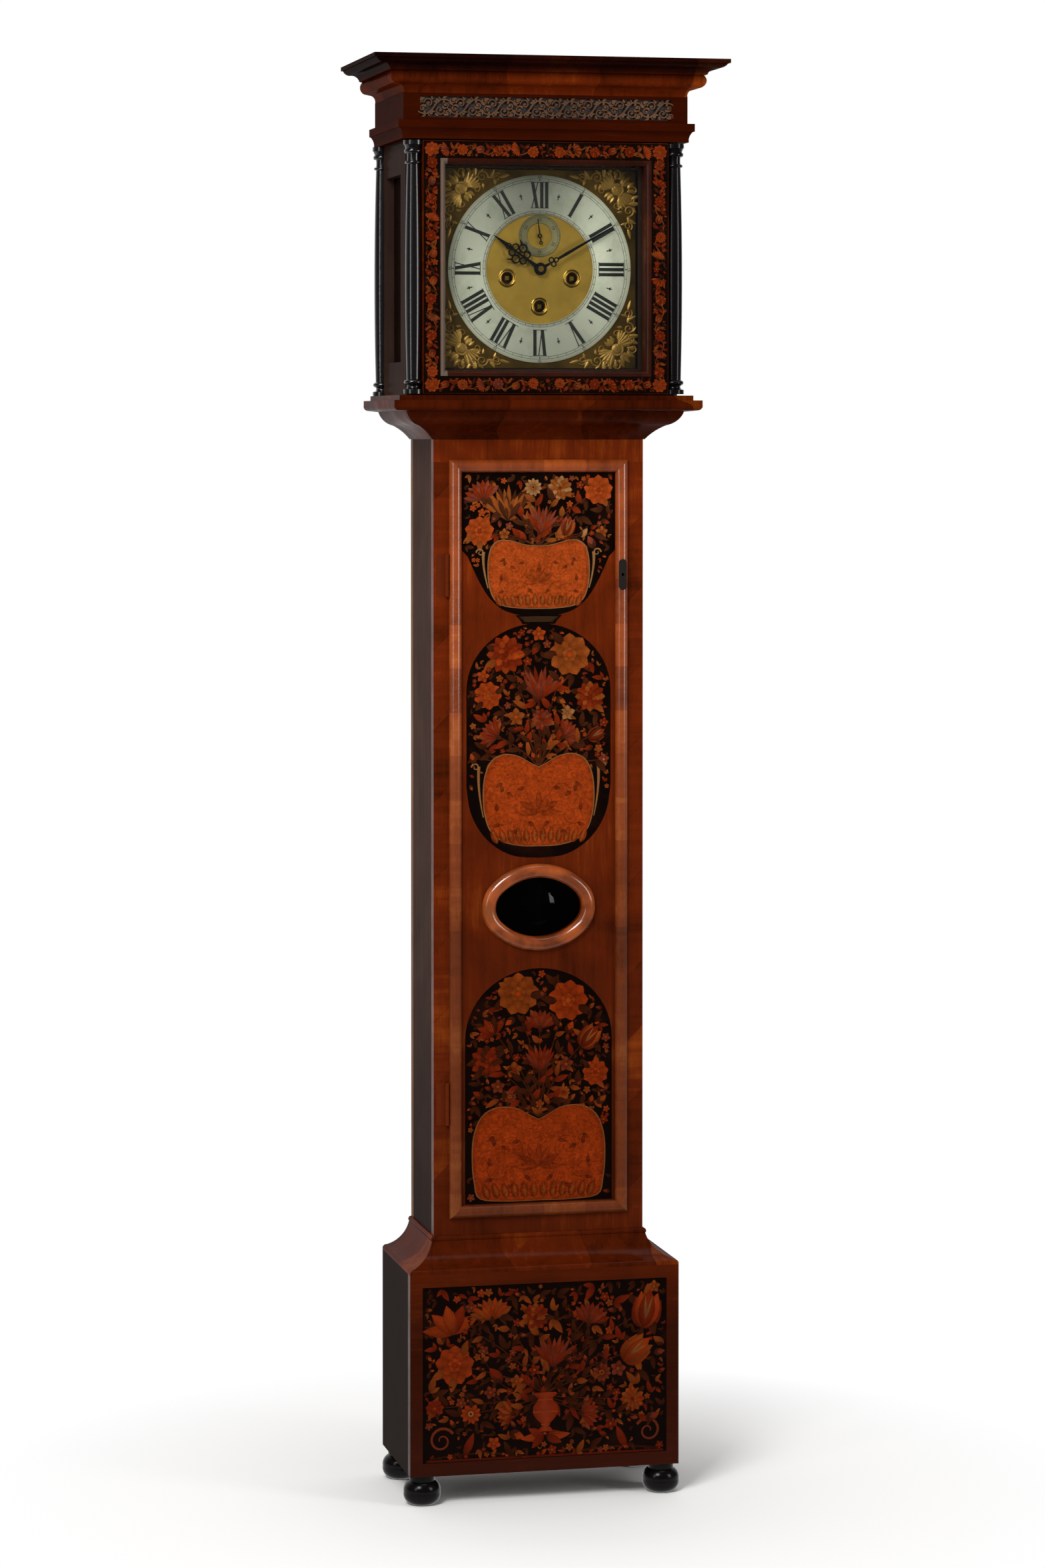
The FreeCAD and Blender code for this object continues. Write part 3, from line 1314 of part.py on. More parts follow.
def bell(x, radius):
    """One bell, mouth down, hung over the movement."""
    low = Z_DIAL + PLATE_ABOVE + BELL_LIFT
    high = low + 0.92 * radius
    wall = BELL_WALL
    steps = [
        (radius - wall, low),
        (radius, low),
        (0.80 * radius, low + 0.30 * radius, 0.72 * radius, low + 0.60 * radius),
        (0.60 * radius, high - 0.06 * radius, 0.30 * radius, high),
        (BELL_STAND_RADIUS, high),
        (BELL_STAND_RADIUS, high - wall),
        (0.30 * radius, high - wall),
        (0.55 * radius, high - 0.06 * radius - wall, 0.72 * radius - wall, low + 0.60 * radius),
        (0.80 * radius - wall, low + 0.28 * radius),
    ]
    return upright_turning(steps, x, MID_DEPTH), high


def bells():
    """The hour bell, the chime bell and the two standards that hold them."""
    solids = []
    for side, x, radius in hammer_places():
        shell, high = bell(x, radius)
        post_depth = MID_DEPTH - radius - BELL_STAND_RADIUS - BELL_STAND_CLEAR
        foot_back = post_depth - BELL_STAND_RADIUS
        foot_high = Z_DIAL + PLATE_ABOVE
        foot_low = foot_high - BELL_FOOT
        arm_z = high + 8
        foot = box(x - 6, x + 6, foot_back, BACK_PLATE_REAR, foot_low, foot_high)
        upright = post(x, post_depth, foot_high - 6, arm_z, BELL_STAND_RADIUS)
        knee = Part.makeSphere(BELL_STAND_RADIUS, at(x, post_depth, arm_z))
        arm = rod(x, arm_z, post_depth, MID_DEPTH, BELL_STAND_RADIUS)
        elbow = Part.makeSphere(BELL_STAND_RADIUS, at(x, MID_DEPTH, arm_z))
        stud = post(x, MID_DEPTH, high - BELL_WALL - 6, arm_z, BELL_STAND_RADIUS)
        nut = post(x, MID_DEPTH, high - BELL_WALL - 5, high - BELL_WALL, 2 * BELL_STAND_RADIUS)
        solids += [shell, fused([foot, upright, knee, arm, elbow, stud, nut])]
    return solids


def hammer(side, bell_x, radius):
    """A bell hammer on its arbor between the plates, resting just clear of its bell."""
    x = side * HAMMER_X
    z = Z_DIAL + HAMMER_Z
    rim = bell_x + side * radius
    near = rim + side * HAMMER_GAP
    far = near + side * HAMMER_HEAD_LENGTH
    head_z = Z_DIAL + PLATE_ABOVE + BELL_LIFT + HAMMER_HEAD_RADIUS
    left = min(near, far)
    head = Part.makeCylinder(HAMMER_HEAD_RADIUS, HAMMER_HEAD_LENGTH, at(left, MID_DEPTH, head_z), V(1, 0, 0))
    shaft = bar(x, z - Z_DIAL, (near + far) / 2, head_z - Z_DIAL, 5, 4, MID_DEPTH - 2, MID_DEPTH + 2)
    clear = 1.0
    pivots = rod(x, z, BACK_PLATE_REAR, FRONT_PLATE + PLATE, PIVOT_PIN_RADIUS)
    body = rod(x, z, BACK_PLATE + clear, FRONT_PLATE - clear, ARBOR_RADIUS + 1)
    return [fused([pivots, body, shaft, head])]


def hour_hammer():
    """The hammer of the hour bell."""
    return hammer(*hammer_places()[0])


def chime_hammer():
    """The hammer of the chime bell."""
    return hammer(*hammer_places()[1])


def going_great_wheel():
    """The going train's great wheel, loose on the barrel's arbor."""
    d0 = GREAT_WHEEL_D
    wheel = wheel_in_mesh(GREAT_TEETH, GREAT_MODULE, GOING, CENTRE, d0, GREAT_WHEEL, 2.5 * BARREL_ARBOR)
    return [wheel.cut(arbor(GOING, d0, d0 + GREAT_WHEEL, BARREL_ARBOR + RUN))]


def centre_wheel():
    """The centre arbor with its pinion, wheel and cannon, which carries the minute hand."""
    d0 = GREAT_WHEEL_D - 1
    pinion = pinion_in_mesh(LEAVES, GREAT_MODULE, CENTRE, GOING, d0, GREAT_WHEEL + 2)
    hub = 2.5 * ARBOR_RADIUS
    wheel = wheel_in_mesh(CENTRE_TEETH, CENTRE_MODULE, CENTRE, THIRD, CENTRE_WHEEL_D, WHEEL, hub)
    staff = arbor(CENTRE, BACK_PLATE_REAR, MINUTE_HAND_D, ARBOR_RADIUS)
    cannon_d0 = FRONT_PLATE + PLATE + 1
    cannon = arbor(CENTRE, cannon_d0, MINUTE_HAND_D + HAND_PLATE + 1, CANNON_RADIUS)
    driver = wheel_in_mesh(
        CANNON_TEETH, CANNON_MODULE, CENTRE, MOTION, CANNON_WHEEL_D, WHEEL, CANNON_RADIUS + 2
    )
    return [fused([staff, pinion, wheel, cannon, driver])]


def third_wheel():
    """The third arbor with its pinion and wheel."""
    pinion = pinion_in_mesh(LEAVES, CENTRE_MODULE, THIRD, CENTRE, CENTRE_WHEEL_D - 1, WHEEL + 2)
    wheel = wheel_in_mesh(THIRD_TEETH, THIRD_MODULE, THIRD, ESCAPE, THIRD_WHEEL_D, WHEEL, 2.5 * ARBOR_RADIUS)
    staff = arbor(THIRD, BACK_PLATE + 1, FRONT_PLATE - 1, ARBOR_RADIUS)
    pivots = arbor(THIRD, BACK_PLATE_REAR, FRONT_PLATE + PLATE, PIVOT_PIN_RADIUS)
    return [fused([staff, pivots, pinion, wheel])]


def escape_wheel():
    """The escape arbor, which also carries the seconds hand."""
    pinion = pinion_in_mesh(LEAVES, THIRD_MODULE, ESCAPE, THIRD, THIRD_WHEEL_D - 1, WHEEL + 2)
    points = []
    step = 2 * math.pi / ESCAPE_TEETH
    root = ESCAPE_RADIUS - ESCAPE_TOOTH
    for tooth in range(ESCAPE_TEETH):
        for radius, share in ((root, 0.0), (ESCAPE_RADIUS, 0.42), (ESCAPE_RADIUS, 0.5), (root, 0.55)):
            angle = (tooth + share) * step
            points.append((radius * math.sin(angle), Z_DIAL + SECONDS_UP + radius * math.cos(angle)))
    blank = front_block(points, ESCAPE_WHEEL_D, ESCAPE_WHEEL_D + WHEEL)
    wheel = crossed_out(blank, ESCAPE, ESCAPE_WHEEL_D, WHEEL, root - 0.7 * RIM, 2.5 * ARBOR_RADIUS)
    staff = arbor(ESCAPE, BACK_PLATE + 1, FRONT_PLATE - 1, ARBOR_RADIUS)
    pivots = arbor(ESCAPE, BACK_PLATE_REAR, SECONDS_HAND_D + SECONDS_HAND_PLATE, PIVOT_PIN_RADIUS)
    return [fused([staff, pivots, pinion, wheel])]


def minute_wheel():
    """The motion work's intermediate wheel and pinion, on a stud in the front plate."""
    phase = math.atan2(-MOTION[1], -MOTION[0]) + math.pi / CANNON_TEETH
    blank = toothed(CANNON_TEETH, CANNON_MODULE, phase, MOTION, CANNON_WHEEL_D, WHEEL)
    rim_radius = CANNON_MODULE * (CANNON_TEETH / 2 - DEDENDUM) - RIM
    wheel = crossed_out(blank, MOTION, CANNON_WHEEL_D, WHEEL, rim_radius, 2.5 * ARBOR_RADIUS)
    facing = math.atan2(-MOTION[1], -MOTION[0])
    pinion = toothed(MINUTE_LEAVES, MOTION_MODULE, facing, MOTION, HOUR_WHEEL_D - 0.5, WHEEL + 1)
    stud = arbor(MOTION, FRONT_PLATE, HOUR_WHEEL_D + WHEEL + 2, PIVOT_PIN_RADIUS)
    return [fused([stud, wheel, pinion])]


def hour_wheel():
    """The hour wheel on its pipe, which carries the hour hand."""
    phase = math.atan2(MOTION[1], MOTION[0]) + math.pi / HOUR_TEETH
    blank = toothed(HOUR_TEETH, MOTION_MODULE, phase, CENTRE, HOUR_WHEEL_D, WHEEL)
    rim_radius = MOTION_MODULE * (HOUR_TEETH / 2 - DEDENDUM) - RIM
    wheel = crossed_out(blank, CENTRE, HOUR_WHEEL_D, WHEEL, rim_radius, HOUR_PIPE_RADIUS + 3)
    pipe = arbor(CENTRE, HOUR_WHEEL_D - 1, HOUR_HAND_D + HAND_PLATE, HOUR_PIPE_RADIUS)
    whole = fused([wheel, pipe])
    bore = CANNON_RADIUS + CANNON_RUN
    return [whole.cut(arbor(CENTRE, HOUR_WHEEL_D - 1, HOUR_HAND_D + HAND_PLATE, bore))]


def drum(place, d0):
    """A flanged drum with its arbor, whose squared front end takes the winding key."""
    z = Z_DIAL + place[1]
    d1 = d0 + BARREL_LENGTH
    flange = BARREL_FLANGE_WIDTH
    steps = [
        (0, d0),
        (BARREL_FLANGE, d0),
        (BARREL_FLANGE, d0 + flange),
        (BARREL_RADIUS, d0 + flange),
        (BARREL_RADIUS, d1 - flange),
        (BARREL_FLANGE, d1 - flange),
        (BARREL_FLANGE, d1),
        (0, d1),
    ]
    staff = arbor(place, BACK_PLATE_REAR, DIAL_BACK - 8, BARREL_ARBOR)
    half = WINDING_SQUARE / 2
    square = box(place[0] - half, place[0] + half, DIAL_BACK - 9, DIAL_FRONT - 1, z - half, z + half)
    return fused([level_turning(steps, place[0], z), staff, square])


def going_barrel():
    """The going train's winding drum."""
    return [drum(GOING, GOING_BARREL_D)]


def side_barrel(place):
    """A winding drum with its great wheel pinned behind it."""
    d0 = SIDE_GREAT_WHEEL_D
    wheel = wheel_in_mesh(BARREL_TEETH, BARREL_MODULE, place, CENTRE, d0, GREAT_WHEEL, 2.5 * BARREL_ARBOR)
    return [drum(place, SIDE_BARREL_D), wheel.cut(arbor(place, d0, d0 + GREAT_WHEEL, BARREL_ARBOR))]


def strike_barrel():
    """The striking train's drum and great wheel."""
    return side_barrel(STRIKE)


def chime_barrel():
    """The chiming train's drum and great wheel."""
    return side_barrel(CHIME)


def anchor_and_crutch():
    """The pallet arbor with its anchor over the escape wheel and the crutch behind the plate."""
    d0 = ESCAPE_WHEEL_D - 1
    d1 = ESCAPE_WHEEL_D + WHEEL + 1
    reach = ESCAPE_RADIUS + PALLET_CLEAR
    spread = math.radians(52)
    nib_x = reach * math.sin(spread)
    nib_z = SECONDS_UP + reach * math.cos(spread)
    out_x = (reach + PALLET_WIDTH) * math.sin(spread)
    out_z = SECONDS_UP + (reach + PALLET_WIDTH) * math.cos(spread)
    pieces = [arbor(PALLETS, d0, d1, 2.5 * ARBOR_RADIUS)]
    for side in (-1, 1):
        pieces.append(bar(0, SUSPENSION_UP, side * out_x, out_z + 1.5, 6, PALLET_WIDTH, d0, d1))
        pieces.append(bar(side * out_x, out_z + 1.5, side * nib_x, nib_z, PALLET_WIDTH, 2, d0, d1))
    crutch_front = BACK_PLATE_REAR - CRUTCH_BEHIND_PLATE
    crutch_back = crutch_front - CRUTCH_PLATE
    low = SUSPENSION_UP - CRUTCH_LENGTH
    pieces.append(arbor(PALLETS, crutch_back, FRONT_PLATE - 1, ARBOR_RADIUS))
    bridge_back = PENDULUM_DEPTH + SPRING_WIDTH / 2
    pieces.append(arbor(PALLETS, bridge_back + 1, FRONT_PLATE + PLATE, PIVOT_PIN_RADIUS))
    pieces.append(bar(0, SUSPENSION_UP + 5, 0, low, CRUTCH_WIDTH, CRUTCH_WIDTH, crutch_back, crutch_front))
    fork_x = PENDULUM_ROD + FORK_CLEAR + FORK_RADIUS
    foot_half = fork_x + FORK_RADIUS
    foot = box(-foot_half, foot_half, crutch_back, crutch_front, Z_DIAL + low - 4, Z_DIAL + low + 4)
    pieces.append(foot)
    for side in (-1, 1):
        fork_back = PENDULUM_DEPTH - 2 * PENDULUM_ROD
        pieces.append(rod(side * fork_x, Z_DIAL + low, fork_back, crutch_front - 1, FORK_RADIUS))
    return [fused(pieces)]


def pendulum_rod():
    """The suspension spring and the rod, down to the rating thread under the bob."""
    top = Z_SUSPENSION - SPRING_GAP
    half = SPRING_THICKNESS / 2
    d0 = PENDULUM_DEPTH - SPRING_WIDTH / 2
    rod_top = Z_SUSPENSION - SPRING_LENGTH
    spring = box(-half, half, d0, d0 + SPRING_WIDTH, rod_top, top)
    low = Z_BOB - BOB_RADIUS - 3 * RATING_NUT_HEIGHT
    return [spring, post(0, PENDULUM_DEPTH, low, rod_top, PENDULUM_ROD)]


def pendulum_bob():
    """The lens-shaped bob and the rating nut that carries it."""
    half = BOB_THICKNESS / 2
    edge = BOB_EDGE / 2
    steps = [
        (0, PENDULUM_DEPTH - half),
        (0.55 * BOB_RADIUS, PENDULUM_DEPTH - 0.77 * half, BOB_RADIUS, PENDULUM_DEPTH - edge),
        (BOB_RADIUS, PENDULUM_DEPTH + edge),
        (0.55 * BOB_RADIUS, PENDULUM_DEPTH + 0.77 * half, 0, PENDULUM_DEPTH + half),
    ]
    hole = post(0, PENDULUM_DEPTH, Z_BOB - 2 * BOB_RADIUS, Z_BOB + 2 * BOB_RADIUS, PENDULUM_ROD)
    lens = level_turning(steps, 0, Z_BOB).cut(hole)
    nut_top = Z_BOB - BOB_RADIUS
    nut = post(0, PENDULUM_DEPTH, nut_top - RATING_NUT_HEIGHT, nut_top, RATING_NUT_RADIUS)
    return [lens, nut.cut(hole)]


# Weights


def pulley_x(index):
    """Where a line's pulley hangs, half way between the barrel side and the tied side."""
    place, leaves_at, tied_at = line_places()[index]
    return (leaves_at + tied_at) / 2


def pulley(index):
    """A grooved brass pulley."""
    half = PULLEY_WIDTH / 2
    d0 = LINE_DEPTH - half
    d1 = LINE_DEPTH + half
    groove = LINE_RADIUS + LINE_GAP
    bore = ARBOR_RADIUS + RUN
    steps = [
        (bore, d0),
        (PULLEY_RIM, d0),
        (PULLEY_RIM, LINE_DEPTH - 2 * groove),
        (PULLEY_GROOVE, LINE_DEPTH - groove),
        (PULLEY_GROOVE, LINE_DEPTH + groove),
        (PULLEY_RIM, LINE_DEPTH + 2 * groove),
        (PULLEY_RIM, d1),
        (bore, d1),
    ]
    return [level_turning(steps, pulley_x(index), Z_PULLEY)]


def weight(index):
    """A brass-cased weight with its hook, and the stirrup and axle that hold its pulley."""
    x = pulley_x(index)
    inner = PULLEY_WIDTH / 2 + STIRRUP_CLEAR
    outer = inner + STIRRUP_PLATE
    half = STIRRUP_WIDTH / 2
    block_top = Z_PULLEY - PULLEY_RIM - 2 * STIRRUP_CLEAR
    block_low = block_top - STIRRUP_WIDTH
    cheek_top = Z_PULLEY + PULLEY_BOSS
    pieces = [box(x - half, x + half, LINE_DEPTH - outer, LINE_DEPTH + outer, block_low, block_top)]
    for d0 in (LINE_DEPTH - outer, LINE_DEPTH + inner):
        pieces.append(box(x - half, x + half, d0, d0 + STIRRUP_PLATE, block_low, cheek_top))
    pieces.append(rod(x, Z_PULLEY, LINE_DEPTH - outer, LINE_DEPTH + outer, ARBOR_RADIUS))
    weight_top = block_low - HOOK_LENGTH
    pieces.append(post(x, LINE_DEPTH, weight_top - 4, block_low + 2, PENDULUM_ROD))
    low = weight_top - WEIGHT_LENGTH
    crown = 6.0
    steps = [
        (0, low),
        (WEIGHT_RADIUS - 2, low),
        (WEIGHT_RADIUS, low + 2),
        (WEIGHT_RADIUS, weight_top - 2 * crown),
        (WEIGHT_RADIUS - 1, weight_top - 1.2 * crown, WEIGHT_RADIUS - 6, weight_top - crown),
        (PENDULUM_ROD + 3, weight_top),
        (0, weight_top),
    ]
    pieces.append(upright_turning(steps, x, LINE_DEPTH))
    return [fused(pieces)]


def gut_line(index):
    """A gut line: down from its barrel, round the pulley and up to its knot on the seatboard."""
    place, leaves_at, tied_at = line_places()[index]
    x = pulley_x(index)
    z_barrel = Z_DIAL + place[1]
    drop = post(leaves_at, LINE_DEPTH, Z_PULLEY, z_barrel, LINE_RADIUS)
    rise = post(tied_at, LINE_DEPTH, Z_PULLEY, Z_SEAT_TOP, LINE_RADIUS)
    knot = post(tied_at, LINE_DEPTH, Z_SEAT_TOP, Z_SEAT_TOP + KNOT_HEIGHT, KNOT_RADIUS)
    circle = Part.Circle(at(x - LINE_OFFSET, LINE_DEPTH, Z_PULLEY), V(0, 0, 1), LINE_RADIUS)
    section = Part.Face(Part.Wire([circle.toShape()]))
    bend = section.revolve(at(x, LINE_DEPTH, Z_PULLEY), V(0, -1, 0), 180)
    return [fused([drop, bend, rise, knot])]


NODES = {
    "back_boards": back_boards,
    "trunk_sides": trunk_sides,
    "trunk_front_frame": trunk_front_frame,
    "throat_moulding": throat_moulding,
    "base_moulding": base_moulding,
    "base_front_panel": base_front_panel,
    "base_carcass": base_carcass,
    "bun_feet": bun_feet,
    "seatboard": seatboard,
    "trunk_hinge_case_leaves": trunk_hinge_case_leaves,
    "trunk_hinge_door_leaves": trunk_hinge_door_leaves,
    "trunk_door_panel": trunk_door_panel,
    "trunk_door_beading": trunk_door_beading,
    "lenticle_glass": lenticle_glass,
    "trunk_lock_case": trunk_lock_case,
    "trunk_lock_bolt": trunk_lock_bolt,
    "hood_base_frame": hood_base_frame,
    "hood_carcass": hood_carcass,
    "hood_side_glass": hood_side_glass,
    "hood_rear_columns": hood_rear_columns,
    "hood_architrave": hood_architrave,
    "hood_frieze": hood_frieze,
    "hood_fret": hood_fret,
    "fret_silk": fret_silk,
    "hood_cornice": hood_cornice,
    "hood_door_frame": hood_door_frame,
    "hood_door_glass": hood_door_glass,
    "hood_door_columns": hood_door_columns,
    "dial_plate": dial_plate,
    "dial_rings": dial_rings,
    "spandrels": spandrels,
    "minute_hand": minute_hand,
    "hour_hand": hour_hand,
    "seconds_hand": seconds_hand,
    "movement_plates": movement_plates,
    "plate_pillars": plate_pillars,
    "bells": bells,
    "hour_hammer": hour_hammer,
    "chime_hammer": chime_hammer,
    "going_great_wheel": going_great_wheel,
    "centre_wheel": centre_wheel,
    "third_wheel": third_wheel,
    "escape_wheel": escape_wheel,
    "minute_wheel": minute_wheel,
    "hour_wheel": hour_wheel,
    "going_barrel": going_barrel,
    "strike_barrel": strike_barrel,
    "chime_barrel": chime_barrel,
    "anchor_and_crutch": anchor_and_crutch,
    "pendulum_rod": pendulum_rod,
    "pendulum_bob": pendulum_bob,
}

TRAINS = ("going", "strike", "chime")

os.makedirs("parts", exist_ok=True)
for name, make in NODES.items():
    Part.makeCompound(make()).exportStep("parts/" + name + ".step")
for index, train in enumerate(TRAINS):
    Part.makeCompound(weight(index)).exportStep("parts/" + train + "_weight.step")
    Part.makeCompound(pulley(index)).exportStep("parts/" + train + "_pulley.step")
    Part.makeCompound(gut_line(index)).exportStep("parts/" + train + "_line.step")
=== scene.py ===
"""Dresses the longcase clock's frame: finishes, marquetry, dial work, lines and stage."""

import json
import math
import random

import bmesh
import bpy
from bpy.props import FloatProperty, FloatVectorProperty, IntProperty, PointerProperty
from mathutils import Matrix, Vector

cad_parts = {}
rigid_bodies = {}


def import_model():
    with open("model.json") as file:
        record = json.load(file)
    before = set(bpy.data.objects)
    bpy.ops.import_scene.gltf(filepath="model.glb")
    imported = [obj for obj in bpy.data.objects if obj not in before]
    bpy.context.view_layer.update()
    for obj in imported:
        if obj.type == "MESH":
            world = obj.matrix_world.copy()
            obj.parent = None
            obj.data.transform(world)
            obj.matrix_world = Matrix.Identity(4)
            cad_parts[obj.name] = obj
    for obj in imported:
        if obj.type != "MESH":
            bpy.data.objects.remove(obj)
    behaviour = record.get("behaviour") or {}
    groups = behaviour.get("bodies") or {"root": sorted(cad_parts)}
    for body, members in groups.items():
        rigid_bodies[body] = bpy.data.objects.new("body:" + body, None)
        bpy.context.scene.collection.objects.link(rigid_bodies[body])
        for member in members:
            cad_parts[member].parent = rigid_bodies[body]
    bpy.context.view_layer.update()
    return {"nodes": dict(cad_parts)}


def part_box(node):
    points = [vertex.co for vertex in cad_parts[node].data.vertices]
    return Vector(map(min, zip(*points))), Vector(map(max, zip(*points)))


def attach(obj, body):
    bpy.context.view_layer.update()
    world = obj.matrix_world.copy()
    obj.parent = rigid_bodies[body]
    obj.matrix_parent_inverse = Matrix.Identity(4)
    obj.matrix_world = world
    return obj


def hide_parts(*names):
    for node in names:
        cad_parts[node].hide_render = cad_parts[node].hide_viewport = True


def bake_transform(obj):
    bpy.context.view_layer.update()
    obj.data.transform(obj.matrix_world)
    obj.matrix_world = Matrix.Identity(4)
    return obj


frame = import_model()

bl_info = {
    "name": "Marquetry longcase clock",
    "version": (1, 0, 0),
    "blender": (4, 5, 0),
    "location": "View3D > Sidebar > Clock",
    "description": "Finishes, marquetry, dial work, lines and stage of a longcase clock",
    "category": "Object",
}

MM = 0.001
# Places in millimetres: heights from the floor, and depths with the front towards -Y
DIAL_Z = 1743.0          # height of the dial's centre
SECONDS_UP = 47.0        # height of the seconds ring's centre above it
LENTICLE_Z = 837.0       # height of the middle of the trunk door's window
DIAL_Y = -37.0           # front of the dial plate
RING_Y = -38.5           # front of the chapter ring
SECONDS_Y = -38.2        # front of the seconds ring
RING_INNER, RING_OUTER = 77.5, 133.0  # radii of the chapter ring
DOOR_Y = -32.0           # front of the trunk door's board
BASE_Y = -74.5           # front of the base's panel
HOOD_DOOR_Y = -81.0      # front of the hood door's frame
FRET_FRONT_Y, FRET_BACK_Y = -81.0, -77.5
FRET_THICK = FRET_BACK_Y - FRET_FRONT_Y
LINE_Y = 22.25           # depth of the gut lines
SEAT_TOP = 1637.0        # top of the seatboard
PULLEY_Z = 1017.0        # height of the pulleys' axles
MIDDLE = (0.0, 0.0)      # the dial's centre, in its own places
BARE = (1.0, 1.0, 1.0)   # the tint of pieces that take their colour from the finish alone


def linear(code):
    """Linear colour of a six-digit screen colour."""
    parts = [int(code[i:i + 2], 16) / 255 for i in (0, 2, 4)]
    return tuple(c / 12.92 if c <= 0.04045 else ((c + 0.055) / 1.055) ** 2.4 for c in parts)


def tint_prop(name, description, code):
    """A colour that a user may change."""
    return FloatVectorProperty(name=name, description=description, subtype="COLOR", size=3,
                               min=0.0, max=1.0, default=linear(code))


def size_prop(name, description, default):
    """A length that a user may change."""
    return FloatProperty(name=name, description=description, default=default, min=0.0,
                         subtype="DISTANCE", unit="LENGTH", precision=5)


class ClockFinishes(bpy.types.PropertyGroup):
    """Colours of the clock's woods, metals and stage."""

    walnut_dark: tint_prop("Walnut dark", "Darkest streaks of the walnut veneer", "1E0701")
    walnut_red: tint_prop("Walnut red", "Body of the walnut veneer", "5E1F05")
    walnut_light: tint_prop("Walnut light", "Lightest figure of the walnut veneer", "92430F")
    side_dark: tint_prop("Side dark", "Dark streaks of the plain case sides", "241612")
    side_light: tint_prop("Side light", "Light figure of the plain case sides", "4E3931")
    oak: tint_prop("Oak", "Backboards, seatboard and inside of the case", "634023")
    ebony: tint_prop("Ebonised wood", "Columns and feet", "080606")
    ground: tint_prop("Marquetry ground", "Dark wood behind the flowers", "0B0402")
    flame: tint_prop("Orange wood", "Brightest petals and the urns", "9A3E12")
    amber: tint_prop("Amber wood", "Yellow-brown petals", "8C481A")
    rust: tint_prop("Red wood", "Red-brown petals", "7A280A")
    blush: tint_prop("Pink wood", "Pink-brown petals", "783623")
    cream: tint_prop("Pale wood", "Box and holly slips", "9A6C40")
    leaf: tint_prop("Leaf wood", "Olive-brown leaves", "46220F")
    brass: tint_prop("Brass", "Movement, weights and spandrels", "B98B3C")
    matted: tint_prop("Matted brass", "Dial centre", "C09840")
    silver: tint_prop("Silvered brass", "Chapter and seconds rings", "CCCAB8")
    wax: tint_prop("Black wax", "Numerals and marks", "0E0F0D")
    blued: tint_prop("Blued steel", "Hands", "0C0D14")
    steel: tint_prop("Steel", "Arbors, hammers and bolt", "6E6C68")
    iron: tint_prop("Iron", "Lock and escutcheon", "1B1612")
    gut: tint_prop("Gut", "Driving lines", "9A7A48")
    silk: tint_prop("Silk", "Cloth behind the fret", "160804")
    floor: tint_prop("Floor", "Studio floor", "E6E5E3")


class ClockSizes(bpy.types.PropertyGroup):
    """Sizes of the surface work."""

    veneer: size_prop("Veneer", "How far the marquetry's ground stands on the board", 0.00015)
    slip: size_prop("Slip", "How far the flowers stand on the board", 0.00030)
    mark: size_prop("Mark", "Height of the wax in numerals and marks", 0.00012)
    gut_radius: size_prop("Gut radius", "Half the thickness of a driving line", 0.0010)
    fret_pitch: size_prop("Fret pitch", "Length of one scroll of the fret", 0.0460)
    fret_units: IntProperty(name="Fret scrolls", description="Scrolls along the fret",
                            default=8, min=2, max=16)
    minute_marks: IntProperty(name="Minutes", description="Marks round the chapter ring",
                              default=60, min=12, max=240)
    key_power: FloatProperty(name="Key light", description="Power of the large front lamp",
                             default=245.0, min=0.0, subtype="POWER", unit="POWER")
    lens: FloatProperty(name="Lens", description="Focal length in millimetres", default=98.34,
                        min=10.0)


# ---- node trees

FINISH = {}


class Wire:
    """A node's output that takes part in plain arithmetic."""

    def __init__(self, nodes, socket):
        self.nodes, self.socket = nodes, socket

    def maths(self, operation, *values):
        return self.nodes.node("ShaderNodeMath", {"operation": operation}, dict(enumerate(values)))

    def __add__(self, other):
        return self.maths("ADD", self, other)

    def __sub__(self, other):
        return self.maths("SUBTRACT", self, other)

    def __rsub__(self, other):
        return self.maths("SUBTRACT", other, self)

    def __mul__(self, other):
        return self.maths("MULTIPLY", self, other)

    def __truediv__(self, other):
        return self.maths("DIVIDE", self, other)

    def __rtruediv__(self, other):
        return self.maths("DIVIDE", other, self)

    def __pow__(self, other):
        return self.maths("POWER", self, other)

    def __gt__(self, other):
        return self.maths("GREATER_THAN", self, other)

    def __lt__(self, other):
        return self.maths("LESS_THAN", self, other)

    def __abs__(self):
        return self.maths("ABSOLUTE", self)

    def floor(self):
        return self.maths("FLOOR", self)

    def sine(self):
        return self.maths("SINE", self)

    def cosine(self):
        return self.maths("COSINE", self)

    def span(self, low, high, start=0.0, end=1.0):
        """The value from low to high, spread from start to end and held there."""
        return self.nodes.node("ShaderNodeMapRange", {"clamp": True},
                               {0: self, 1: low, 2: high, 3: start, 4: end})

    __radd__ = __add__
    __rmul__ = __mul__


